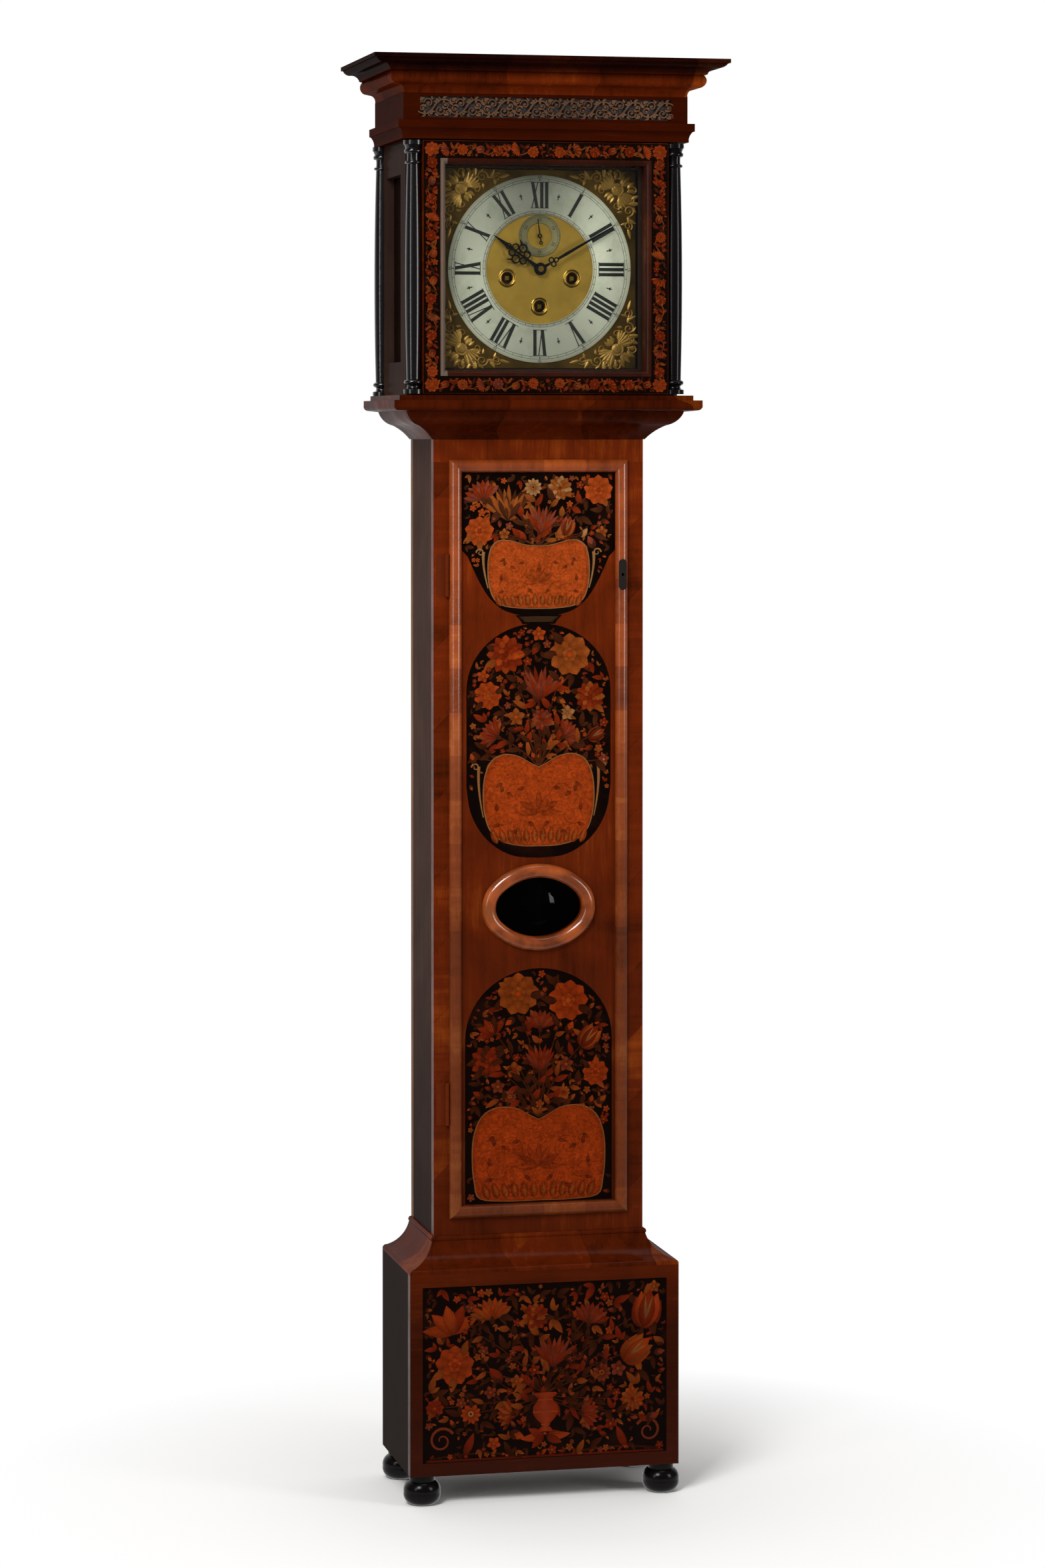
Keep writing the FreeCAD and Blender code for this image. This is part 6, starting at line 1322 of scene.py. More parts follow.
class CLOCK_OT_base_marquetry(bpy.types.Operator):
    """Lays the flower panel on the base"""

    bl_idname = "clock.base_marquetry"
    bl_label = "Base marquetry"

    HALF = [(0, 309), (177, 309), (177, 61), (0, 61)]  # right half of the panel
    # right side of the vase, from its foot up
    VASE = smoothed([(11, 98), (9, 102), (5, 106), (7, 110), (13, 116),
                     (18, 125), (17, 135), (10.5, 143), (12, 147), (17, 151),
                     (15, 153.5)], 3)
    VASE_BANDS = ((143, 11), (108, 6.5), (126, 18.4))  # height and half length
    # tries, least and greatest half size, share of leaves
    PASSES = ((900, 8, 13, 0.8), (2600, 5, 8, 0.65), (4200, 3, 5, 0.5))

    def execute(self, context):
        # The base's woods are dimmed and warmed by painted shade.
        garden = Garden(BASE_Y, context.scene, 61, (0.50, 0.36, 0.24))
        outline, vase = both_sides(self.HALF), self.VASE
        garden.ground(outline)
        garden.grow((0.0, 150.0), BASE_BLOOMS)
        red, pink = garden.woods["rust"], garden.woods["blush"]
        garden.strip([(-u, v) for u, v in vase], [(0.0, v) for _, v in vase], vase,
                     garden.base + 0.25, [scaled(red, 0.9)] * len(vase),
                     [scaled(between(red, pink, 0.6), 1.35)] * len(vase))
        for level, half in self.VASE_BANDS:
            garden.ribbon([(half * (0.5 * i - 1.0), level) for i in range(5)], 1.6,
                          garden.wood("amber"), garden.base + 0.36)
        garden.taken.append((0.0, 128.0, 26.0))
        for side in (-1, 1):
            for k, (turn, length) in enumerate(((98.0, 34.0), (74.0, 25.0), (122.0, 24.0))):
                garden.leaf((side * 2.0, 92.0), side * turn, length, 12.0,
                            "rust" if k else "flame", 0.05 * k)
            garden.ribbon(bow((side * 34.0, 64.0), (side * 90.0, 78.0), (side * 168.0, 66.0), 12),
                          4.0, garden.wood("leaf", 0.5, 0.7), garden.lay + 0.10, 2.0)
            scroll = curl((side * 150.0, 92.0), -60.0 * side, 520.0 * side, 19.0, 3.0, 24)
            garden.ribbon(scroll, 4.2, garden.wood("blush", 0.7, 0.9), garden.base, 1.6)
            garden.taken.append((side * 150.0, 92.0, 21.0))
            garden.leaf((side * 118.0, 70.0), -side * 30.0, 34.0, 12.0, "rust")
            garden.taken += [(side * 108.0, 86.0, 14.0), (side * 18.0, 90.0, 14.0)]
            garden.spray(bow((side * 10.0, 158.0), (side * 58.0, 190.0), (side * 40.0, 232.0), 10),
                         15.0, 6.0, "leaf", 3)
            garden.spray(bow((side * 12.0, 150.0), (side * 70.0, 150.0), (side * 92.0, 214.0), 10),
                         14.0, 6.0, "amber", 3)
        garden.ribbon([(-172.0 + 34.4 * i, 63.5) for i in range(11)], 3.0,
                      garden.wood("rust", 0.4, 0.5), garden.lay + 0.10)
        garden.fill(outline, PETALS, self.PASSES)
        garden.piece("marquetry_base", "marquetry", "walnut", "case")
        return {"FINISHED"}


class CLOCK_OT_hood_marquetry(bpy.types.Operator):
    """Lays the flower border on the hood door's frame"""

    bl_idname = "clock.hood_marquetry"
    bl_label = "Hood door marquetry"

    INNER, OUTER = 152.3, 176.4  # edges of the border, from the dial's centre
    FIRST, PITCH = 19.0, 25.4    # place of a side's first bloom from its middle, and their pitch
    WAVE = 0.13                  # how fast the stem waves along the border
    PASSES = ((900, 3.0, 5.0, 0.5), (1400, 2.0, 3.0, 0.5))

    def execute(self, context):
        # The border's woods are dimmed by painted shade under the cornice.
        garden = Garden(HOOD_DOOR_Y, context.scene, 83, (0.52, 0.46, 0.44))
        middle = (self.INNER + self.OUTER) / 2
        for quarter in range(4):
            def at(run, out):
                a = math.radians(90.0 * quarter)
                return (run * math.cos(a) + out * math.sin(a),
                        DIAL_Z - run * math.sin(a) + out * math.cos(a))
            border = [at(-self.OUTER, self.OUTER), at(-self.INNER, self.INNER),
                      at(self.INNER, self.INNER), at(self.OUTER, self.OUTER)]
            garden.disc(border, garden.lay, garden.ground_tint, garden.ground_tint, 0.95,
                        centre=at(0.0, middle))
            garden.outline = border
            garden.taken = [(*at(side * middle, middle), 10.0) for side in (-1, 1)]
            garden.rose(at(middle, middle), 10.5, 0.0, "flame", "amber")
            for side in (-1, 1):
                path = [at(side * s, middle + 6.0 * math.sin(s * self.WAVE))
                        for s in range(14, 158, 3)]
                garden.ribbon(path, 1.7, garden.wood("amber", 0.7, 0.9), garden.lay + 0.10, 1.0)
                turn = 90.0 * quarter + 90.0 * side
                for k in range(6):
                    run = self.FIRST + self.PITCH * k
                    out = middle - 3.2 * math.sin(run * self.WAVE)
                    kind = ("rose", "carnation", "peony", "tulip")[(k + quarter) % 4]
                    name = garden.rng.choice(("rust", "flame", "rust", "blush"))
                    r = 6.4 if kind in ("carnation", "tulip") else 8.0
                    getattr(garden, kind)(at(side * run, out), r, turn + 20.0 * (-1) ** k, name,
                                          garden.rng.choice(("amber", "flame")))
                    garden.taken.append((*at(side * run, out), r))
                    for lean in (-55.0, 50.0, 128.0):
                        sway = 3.0 * math.sin(run * self.WAVE)
                        garden.leaf(at(side * (run + 12.0), middle + sway), turn + lean,
                                    garden.rng.uniform(8.0, 11.0), 4.4,
                                    garden.rng.choice(("leaf", "amber", "rust", "flame")))
                    garden.taken.append((*at(side * (run + 12.0), middle), 4.5))
            garden.fill(border, PETALS, self.PASSES)
        garden.piece("marquetry_hood_door", "marquetry", "walnut", "hood_door")
        return {"FINISHED"}


class CLOCK_OT_numerals(bpy.types.Operator):
    """Cuts the hour numerals and half-hour marks into the chapter ring"""

    bl_idname = "clock.numerals"
    bl_label = "Numerals"

    HOURS = ("XII", "I", "II", "III", "IIII", "V", "VI", "VII", "VIII", "IX", "X", "XI")
    FOOT, TALL, THICK, THIN, SERIF = 85.8, 37.2, 4.8, 1.4, 0.9
    HALF_HOUR = 104.5  # reach of the half-hour marks
    WIDE = {"I": 7.2, "V": 14.0, "X": 13.0}

    def execute(self, context):
        rise = context.scene.clock_sizes.mark / MM
        veneer = Veneer(flat_on(RING_Y, DIAL_Z))
        foot, head = self.FOOT, self.FOOT + self.TALL
        for hour, letters in enumerate(self.HOURS):
            total = sum(self.WIDE[c] for c in letters)
            left = -total / 2

            def bar(spots, lift=0.0):
                veneer.disc([ahead(MIDDLE, 30.0 * hour, v, u) for u, v in spots], rise + lift,
                            BARE, BARE, 0.8)

            def slanted(low, high, wide):
                bar([(low - wide / 2, foot), (low + wide / 2, foot),
                     (high + wide / 2, head), (high - wide / 2, head)])

            for letter in letters:
                wide = self.WIDE[letter]
                mid = left + wide / 2
                if letter == "I":
                    slanted(mid, mid, self.THICK)
                elif letter == "V":
                    slanted(mid, left + 3.2, self.THICK)
                    slanted(mid + 0.6, left + wide - 2.0, self.THIN)
                else:
                    slanted(left + wide - 3.2, left + 3.2, self.THICK)
                    slanted(left + 2.0, left + wide - 2.0, self.THIN)
                left += wide
            half = total / 2 - 0.3
            for v in (foot, head - self.SERIF):
                bar([(-half, v), (half, v), (half, v + self.SERIF), (-half, v + self.SERIF)], 0.03)
            turn = 30.0 * hour + 15.0
            for lean, length in ((-42.0, 3.4), (42.0, 3.4), (0.0, 5.4), (180.0, 4.4)):
                veneer.petal(ahead(MIDDLE, turn, self.HALF_HOUR), turn + lean, length, 1.7, BARE,
                             rise)
        veneer.piece("hour_numerals", "black_wax", "blued_steel", "case", tinted=False)
        return {"FINISHED"}


class Graph(Nodes):
    """A Geometry Nodes tree; its inputs are given by name and kind, with _ for a space."""

    def __init__(self, name, **kinds):
        super().__init__(bpy.data.node_groups.new(name, "GeometryNodeTree"))
        sockets = self.tree.interface
        sockets.new_socket("Geometry", in_out="OUTPUT", socket_type="NodeSocketGeometry")
        entry = self.tree.nodes.new("NodeGroupInput")
        self.ids = {}
        for key, kind in kinds.items():
            made = sockets.new_socket(key.replace("_", " "), in_out="INPUT",
                                      socket_type=f"NodeSocket{kind}")
            self.ids[made.name] = made.identifier
        self.inputs = [Wire(self, entry.outputs[key]) for key in self.ids]

    def line_of(self, shape, count, spot, turn):
        """A shape at each of a count of spots, turned about the depth."""
        points = self.node("GeometryNodeMeshLine", None, {"Count": count})
        points = self.node("GeometryNodeSetPosition", None, {"Geometry": points, "Position": spot})
        lean = self.node("FunctionNodeEulerToRotation", None, {0: self.vector(0.0, turn, 0.0)})
        return self.node("GeometryNodeInstanceOnPoints", None,
                         {"Points": points, "Instance": shape, "Rotation": lean})

    def finish(self, geometry, material):
        """Realizes what is made, gives it the material and ends the tree."""
        made = self.node("GeometryNodeRealizeInstances", None, {0: geometry})
        made = self.node("GeometryNodeSetMaterial", None, {"Geometry": made, "Material": material})
        self.node("NodeGroupOutput", None, {0: made})
        return self

    def mesh(self, name, values):
        """The tree's result with these values as a plain mesh."""
        holder = bpy.data.objects.new(name + "_holder", bpy.data.meshes.new(name + "_seed"))
        modifier = holder.modifiers.new("maker", "NODES")
        modifier.node_group = self.tree
        for key, value in values.items():
            modifier[self.ids[key]] = value
        mesh = shown_mesh(holder)
        mesh.name = name
        return mesh


def ring_of_marks():
    """Upright blocks set evenly round a point of the dial."""
    g = Graph("ring_of_marks", Count="Int", Reach="Float", Length="Float", Width="Float",
              Thickness="Float", Centre_height="Float", Front="Float", Material="Material")
    count, reach, length, wide, thick, centre, front, material = g.inputs
    turn = g.node("GeometryNodeInputIndex") / count * math.tau
    spot = g.vector(turn.sine() * reach, front, turn.cosine() * reach + centre)
    block = g.node("GeometryNodeMeshCube", None, {"Size": g.vector(wide, thick, length)})
    return g.finish(g.line_of(block, count, spot, turn), material)


def ring_line(veneer, reach, wide, rise, centre=MIDDLE, sides=120):
    """A thin closed circle."""
    half = wide / 2
    rows = [[veneer.point(ahead(centre, 360.0 * i / sides, reach + off), level, BARE)
             for off, level in ((-half, 0.0), (-half, rise), (half, rise), (half, 0.0))]
            for i in range(sides)]
    for a, b in zip(rows, rows[1:] + rows[:1]):
        veneer.faces += band(a, b)


class CLOCK_OT_dial_marks(bpy.types.Operator):
    """Cuts the minute, quarter and seconds marks and their numbers"""

    bl_idname = "clock.dial_marks"
    bl_label = "Dial marks"

    def execute(self, context):
        sizes = context.scene.clock_sizes
        rise = sizes.mark
        seconds_z, seconds_spot = DIAL_Z + SECONDS_UP, (0.0, SECONDS_UP)
        # name, count, reach, length, width, height of the ring's centre, front of the ring
        rings = (
            ("minute_marks", sizes.minute_marks, 0.1260, 0.0030, 0.00045, DIAL_Z, RING_Y),
            ("five_minute_marks", 12, 0.1260, 0.0030, 0.00120, DIAL_Z, RING_Y),
            ("quarter_marks", 48, 0.0807, 0.0030, 0.00055, DIAL_Z, RING_Y),
            ("seconds_marks", 60, 0.0278, 0.0024, 0.00030, seconds_z, SECONDS_Y),
            ("five_second_marks", 12, 0.0278, 0.0024, 0.00075, seconds_z, SECONDS_Y),
        )
        graph = ring_of_marks()
        for name, count, reach, length, wide, centre, front in rings:
            mesh = graph.mesh(name, {
                "Count": count, "Reach": reach, "Length": length, "Width": wide,
                "Thickness": rise * 2, "Centre height": centre * MM, "Front": front * MM,
                "Material": FINISH["black_wax"]})
            put_mesh(name, mesh, "case")
        veneer = Veneer(flat_on(RING_Y, DIAL_Z))
        for reach in (124.4, 127.6, 79.1, 82.3):
            ring_line(veneer, reach, 0.5, rise / MM)
        seconds = Veneer(flat_on(SECONDS_Y, DIAL_Z))
        for reach in (26.5, 29.1):
            ring_line(seconds, reach, 0.4, rise / MM, seconds_spot, 80)
        veneer.join(seconds)
        veneer.piece("circle_lines", "black_wax", "blued_steel", "case", tinted=False)
        self.numbers("minute_numbers", 12, 5, 130.1, 4.2, MIDDLE, RING_Y, rise)
        self.numbers("seconds_numbers", 6, 10, 22.6, 4.6, seconds_spot, SECONDS_Y, rise)
        return {"FINISHED"}

    def numbers(self, name, count, step, reach, tall, centre, front, rise):
        """Numbers round a ring, made as text and turned into one mesh."""
        gathered = bmesh.new()
        for k in range(1, count + 1):
            text = bpy.data.curves.new(name, "FONT")
            text.body = str(step * k)
            text.size = tall * 1.4 * MM
            text.align_x, text.align_y = "CENTER", "CENTER"
            text.extrude = rise
            text.resolution_u = 2
            mesh = shown_mesh(bpy.data.objects.new(name + "_text", text))
            turn = 360.0 * k / count
            spot = ahead(centre, turn, reach)
            mesh.transform(Matrix.Translation((spot[0] * MM, front * MM, (DIAL_Z + spot[1]) * MM))
                           @ Matrix.Rotation(math.radians(turn), 4, "Y")
                           @ Matrix.Rotation(math.radians(90.0), 4, "X"))
            gathered.from_mesh(mesh)
            bpy.data.meshes.remove(mesh)
        bmesh.ops.remove_doubles(gathered, verts=gathered.verts, dist=1e-6)
        bmesh.ops.recalc_face_normals(gathered, faces=gathered.faces)
        mesh = bpy.data.meshes.new(name)
        gathered.to_mesh(mesh)
        gathered.free()
        mesh.materials.clear()
        mesh.materials.append(FINISH["black_wax"])
        put_mesh(name, mesh, "case")


class CLOCK_OT_spandrels(bpy.types.Operator):
    """Casts the four winged-head corner pieces of the dial"""

    bl_idname = "clock.spandrels"
    bl_label = "Spandrels"

    def execute(self, context):
        whole = Veneer(None)
        for corner in range(4):
            a = math.radians(45.0 + 90.0 * corner)

            def place(u, v, rise, a=a):
                return ((v * math.sin(a) + u * math.cos(a)) * MM, (DIAL_Y - rise) * MM,
                        (DIAL_Z + v * math.cos(a) - u * math.sin(a)) * MM)

            cast = Veneer(place)
            self.casting(cast, BARE)
            whole.join(cast)
        whole.piece("spandrel_castings", "cast_brass", "brass", "case", tinted=False,
                    replaced=("spandrels",))
        return {"FINISHED"}

    def casting(self, cast, tint):
        """One corner: a head between wings, scrolls along the edges and leaves at the tip."""
        head = (0.0, 160.0)
        cast.button(head, 8.2, tint, 1.2, 2.2, 20)
        cast.petal((0.0, 161.5), 180.0, 4.2, 2.2, tint, 3.0, 1.3, crown=0.7)
        for side in (-1, 1):
            cast.button((side * 2.9, 162.2), 1.0, tint, 2.7, 0.5, 8)
            cast.button((side * 4.4, 157.2), 2.3, tint, 2.2, 0.6, 10)
            for k in range(6):
                cast.petal((side * (4.0 + 1.2 * k), 157.0 - 1.0 * k), side * (52.0 + 13.0 * k),
                           26.0 - 2.2 * k, 6.4, tint, 0.8 + 0.12 * k, 0.75, side * 3.0, crown=1.1)
            for k in range(7):
                cast.button(ahead(head, side * (14.0 + 15.0 * k), 8.4), 2.0, tint, 1.8, 1.0, 8)
            for across, up, turn, sweep, first, last, wide in (
                    (33, 151, 150, -520, 8.4, 1.6, 2.6),
                    (17, 176, 200, 480, 7, 1.4, 2.4),
                    (15, 143.5, 40, 430, 5, 1.2, 2),
                    (47.5, 135.5, 100, -500, 6.6, 1.4, 2.4),
                    (24, 163.5, 20, 420, 5.4, 1.2, 2.2)):
                path = curl((side * across, up), side * turn, side * sweep, first, last, 26)
                cast.ribbon(path, wide, tint, 0.9, 1.2, crown=1.2)
            for across, up, turn, length, wide in (
                    (26, 158, 38, 17, 6), (37, 145, 118, 12, 5),
                    (27, 144, 200, 8, 4), (9, 172, -4, 14, 6),
                    (24, 165, 10, 13, 5), (4, 150, 160, 11, 5),
                    (50, 132, 112, 15, 5), (41, 141, 60, 13, 5),
                    (42, 136, 190, 8, 4), (12, 168, 30, 13, 5),
                    (20, 150, 165, 9, 4.4), (33, 158, 84, 9, 4)):
                cast.petal((side * across, up), side * turn, length, wide, tint, 0.8, 0.8,
                           side * 2.0, crown=1.3)
        for turn, length in ((-24.0, 15.0), (24.0, 15.0), (0.0, 19.0)):
            cast.petal((0.0, 168.0), turn, length, 7.0, tint, 1.0, 0.8, crown=1.4)
        cast.petal((0.0, 152.0), 180.0, 13.0, 8.0, tint, 0.9, 0.8, crown=1.2)


class CLOCK_OT_winding_rings(bpy.types.Operator):
    """Turns the polished rings round the three winding holes"""

    bl_idname = "clock.winding_rings"
    bl_label = "Winding rings"

    HOLES = ((-47, -13), (47, -13), (0, -53))
    PROFILE = ((8.05, 0), (8.05, 0.6), (8.6, 1), (9.3, 0.9), (9.8, 0.5), (10.5, 1.1),
               (11.4, 1.4), (12.3, 1.2), (13, 0.6), (13.2, 0))

    def execute(self, context):
        place = flat_on(DIAL_Y, DIAL_Z)
        points, faces, sides = [], [], 48
        for hole in self.HOLES:
            rows = []
            for i in range(sides):
                rows.append(range(len(points), len(points) + len(self.PROFILE)))
                for reach, rise in self.PROFILE:
                    points.append(place(*ahead(hole, 360.0 * i / sides, reach), rise))
            for a, b in zip(rows, rows[1:] + rows[:1]):
                faces += band(a, b)
        ring = put_piece("winding_hole_rings", points, faces, "bright_brass", "case")
        ring.data.shade_smooth()
        return {"FINISHED"}


class CLOCK_OT_fret(bpy.types.Operator):
    """Saws the scrolled fret of the frieze and stretches the silk behind it"""

    bl_idname = "clock.fret"
    bl_label = "Fret and silk"

    LOW, HIGH, HALF = 1949.5, 1984.5, 184.0  # heights of the opening, and half its length
    SILK_ACROSS, SILK_UP = 184, 18           # squares of the cloth's mesh
    SILK_HALF, SILK_PUCKER = 0.00010, 0.00012  # half its thickness, and the height of its pucker

    def unit(self):
        """One scroll of the fret about its own middle, as a mesh."""
        rng = random.Random(7)
        saw = Veneer(lambda u, v, rise: (u * MM, -rise * MM, v * MM))
        saw.ribbon(bow((-23.0, -7.0), (-9.0, -16.0), (0.0, 0.0), 8)
                   + bow((0.0, 0.0), (9.0, 16.0), (23.0, 7.0), 8)[1:], 1.7, BARE, FRET_THICK)
        for side in (-1, 1):
            about = 90.0 - 90.0 * side
            for u, v, turn, sweep, first in (
                    (8, -5, 90, 420, 7), (16.5, 2.5, 250, -400, 5),
                    (5, 9.5, 20, 380, 4), (19, -9, 120, -380, 4.2)):
                path = curl((side * u, side * v), turn + about, sweep, first, 1.2, 16)
                saw.ribbon(path, 1.5, BARE, FRET_THICK * 0.96, 1.1)
                saw.button((side * u, side * v), 1.5, BARE, FRET_THICK, 0.0, 8)
            for u, v, turn, length in (
                    (12, 11.5, 60, 8), (6, 5, -60, 8), (13, -11, 95, 8),
                    (13, 5, 20, 8), (2, -9, 160, 6), (21, 7, 130, 8),
                    (11, -1, 100, 6)):
                saw.petal((side * u, side * v), turn + about, length, 3.0, BARE,
                          FRET_THICK * 0.92, 0.8, rng.uniform(-2.0, 2.0))
        mesh = bpy.data.meshes.new("fret_scroll")
        mesh.from_pydata(saw.points, [], saw.faces)
        mesh.update()
        return mesh

    def row_of_scrolls(self):
        """Scrolls side by side, every other one turned over."""
        g = Graph("row_of_scrolls", Count="Int", Pitch="Float", Centre_height="Float",
                  Back="Float", Material="Material", Scroll="Object")
        count, pitch, centre, back, material, scroll = g.inputs
        index = g.node("GeometryNodeInputIndex")
        spot = g.vector((index - (count - 1) * 0.5) * pitch, back, centre)
        turn = index.maths("MODULO", index, 2.0) * math.pi
        shape = g.node("GeometryNodeObjectInfo", None, {"Object": scroll}, "Geometry")
        return g.finish(g.line_of(shape, count, spot, turn), material)

    def execute(self, context):
        sizes = context.scene.clock_sizes
        holder = bpy.data.objects.new("fret_scroll_holder", self.unit())
        context.scene.collection.objects.link(holder)
        mesh = self.row_of_scrolls().mesh("fret_scrolls", {
            "Count": sizes.fret_units, "Pitch": sizes.fret_pitch,
            "Centre height": (self.LOW + self.HIGH) / 2 * MM, "Back": FRET_BACK_Y * MM,
            "Material": FINISH["fret_wood"], "Scroll": holder})
        bpy.data.objects.remove(holder)
        put_mesh("fret_scrolls", mesh, "hood", ("hood_fret",))
        rails = Veneer(flat_on(FRET_BACK_Y))
        for level in (self.LOW + 1.5, self.HIGH - 1.5):
            rails.ribbon([(-self.HALF + self.HALF / 8 * i, level) for i in range(17)], 3.0, BARE,
                         FRET_THICK)
        for side in (-1, 1):
            rails.ribbon([(side * (self.HALF - 1.5), self.LOW + 7.0 * i) for i in range(6)], 3.0,
                         BARE, FRET_THICK * 0.97)
        rails.piece("fret_rails", "frieze_walnut", "walnut", "hood", tinted=False)
        self.silk(context)
        return {"FINISHED"}

    def silk(self, context):
        """A stretched cloth with a slight pucker, its edges held behind the fret."""
        low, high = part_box("fret_silk")
        across, up = self.SILK_ACROSS, self.SILK_UP
        middle = (low.y + high.y) / 2
        points, faces = [], []
        for layer in (-1, 1):
            for j in range(up + 1):
                for i in range(across + 1):
                    u, v = i / across, j / up
                    slack = math.sin(math.pi * u) ** 0.2 * math.sin(math.pi * v) ** 0.5
                    ripple = math.sin(u * 130.0 + 2.0 * math.sin(v * 5.0))
                    points.append((low.x + (high.x - low.x) * u,
                                   middle + layer * self.SILK_HALF
                                   + self.SILK_PUCKER * slack * ripple,
                                   low.z + (high.z - low.z) * v))
        row, sheet = across + 1, (across + 1) * (up + 1)
        for j in range(up):
            for i in range(across):
                a = j * row + i
                b, c, d = a + 1, a + row + 1, a + row
                faces += [(a, b, c, d), (a + sheet, d + sheet, c + sheet, b + sheet)]
        rim = ([i for i in range(across)] + [j * row + across for j in range(up)]
               + [up * row + i for i in range(across, 0, -1)] + [j * row for j in range(up, 0, -1)])
        for a, b in zip(rim, rim[1:] + rim[:1]):
            faces.append((b, a, a + sheet, b + sheet))
        cloth = put_piece("silk_backing", points, faces, "silk", "hood",
                          replaced=("fret_silk",))
        unwrap(cloth, [((v.co.x - low.x) / (high.x - low.x), (v.co.z - low.z) / (high.z - low.z))
                       for v in cloth.data.vertices])


class CLOCK_OT_lines(bpy.types.Operator):
    """Strings the three gut lines and winds their turns on the drums"""

    bl_idname = "clock.lines"
    bl_label = "Gut lines"

    # name, line at the drum, line at the seatboard, and the drum's place across, up and in depth
    TRAINS = (("going", -23.3, 23.3, (0.0, 1690.0), 22.0),
              ("strike", -70.3, -116.9, (-47.0, 1730.0), 24.0),
              ("chime", 70.3, 116.9, (47.0, 1730.0), 24.0))
    TURNS, REACH, WIDE = 13.0, 0.0223, 0.030  # turns on a drum, their radius and their spread
    SIDES, STEP = 8, 0.004                    # sides of a line, and the length between its rings
    TWIST, PLY = 520.0, 160.0                 # grooves' turn and threads on the map, for a metre

    def execute(self, context):
        radius = context.scene.clock_sizes.gut_radius
        coil = self.coil_on_drum()
        for name, near, far, (across, up), depth in self.TRAINS:
            self.line(name, near, far, up, radius)
            mesh = coil.mesh(name + "_gut_turns", {
                "Turns": self.TURNS, "Reach": self.REACH, "Width": self.WIDE, "Gut": radius,
                "Middle": (across * MM, depth * MM, up * MM), "Material": FINISH["gut"]})
            mesh.uv_layers.new(name="UVMap")
            put_mesh(name + "_gut_turns", mesh, name + "_drum")
        return {"FINISHED"}

    def coil_on_drum(self):
        """Turns of gut side by side on a drum."""
        g = Graph("coil_on_drum", Turns="Float", Reach="Float", Width="Float", Gut="Float",
                  Middle="Vector", Material="Material")
        turns, reach, wide, gut, middle, material = g.inputs
        spiral = g.node("GeometryNodeCurveSpiral", None, {
            "Resolution": 28, "Rotations": turns, "Start Radius": reach, "End Radius": reach,
            "Height": wide})
        profile = g.node("GeometryNodeCurvePrimitiveCircle", None, {"Resolution": 8, "Radius": gut})
        tube = g.node("GeometryNodeCurveToMesh", None,
                      {"Curve": spiral, "Profile Curve": profile, "Fill Caps": True})
        drop = g.vector(0.0, 0.0, wide * -0.5)
        tube = g.node("GeometryNodeTransform", None, {"Geometry": tube, "Translation": drop})
        tube = g.node("GeometryNodeTransform", None, {
            "Geometry": tube, "Rotation": (math.pi / 2, 0.0, 0.0), "Translation": middle})
        return g.finish(tube, material)

    def line(self, name, near, far, top, radius):
        """A line from its drum round its pulley to a knot on the seatboard."""
        centre, reach = (near + far) / 2, abs(far - near) / 2
        corner = reach * math.tan(math.radians(22.5))
        side = 1.0 if far > near else -1.0
        route = [(near, top), (near, PULLEY_Z + 2 * corner), (near, PULLEY_Z + corner)]
        route += [(centre + side * u, PULLEY_Z + v) for u, v in (
            (-reach, -corner), (-corner, -reach), (corner, -reach), (reach, -corner))]
        route += [(far, PULLEY_Z + corner), (far, PULLEY_Z + 2 * corner), (far, SEAT_TOP)]
        curve = bpy.data.curves.new(name + "_route", "CURVE")
        curve.dimensions = "3D"
        spline = curve.splines.new("NURBS")
        spline.points.add(len(route) - 1)
        for point, (x, z) in zip(spline.points, route):
            point.co = (x * MM, LINE_Y * MM, z * MM, 1.0)
        spline.order_u = 3
        spline.use_endpoint_u = True
        spline.resolution_u = 24
        traced = shown_mesh(bpy.data.objects.new(name + "_route", curve))
        path = [vertex.co.copy() for vertex in traced.vertices]
        bpy.data.meshes.remove(traced)
        points, faces, runs = self.twisted(path, radius)
        piece = put_piece(name + "_gut", points, faces, "gut", "case",
                          replaced=(name + "_line",), ride=False)
        unwrap(piece, runs)
        length = sum((b - a).length for a, b in zip(path, path[1:]))
        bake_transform(piece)
        tuple(path[0])
        [tuple(p) for p in path]

    def twisted(self, path, radius):
        """A closed tube with two shallow grooves that wind round it."""
        spots, runs = [path[0]], [0.0]
        for a, b in zip(path, path[1:]):
            steps = max(1, round((b - a).length / self.STEP))
            for i in range(1, steps + 1):
                spots.append(a.lerp(b, i / steps))
                runs.append(runs[-1] + (b - a).length / steps)
        sides = self.SIDES
        points, faces, marks = [], [], []
        for i, spot in enumerate(spots):
            tangent = (spots[min(i + 1, len(spots) - 1)] - spots[max(i - 1, 0)]).normalized()
            across = Vector((0.0, 1.0, 0.0))
            out = tangent.cross(across)
            for k in range(sides):
                a = math.tau * k / sides
                swell = radius * (1.0 - 0.14 * abs(math.sin(a + runs[i] * self.TWIST)))
                points.append(spot + across * (math.cos(a) * swell) + out * (math.sin(a) * swell))
                marks.append((k / sides, runs[i] * self.PLY))
        rows = [range(i * sides, (i + 1) * sides) for i in range(len(spots))]
        for a, b in zip(rows, rows[1:]):
            faces += band(a, b)
        faces += [tuple(reversed(rows[0])), tuple(rows[-1])]
        return points, faces, marks


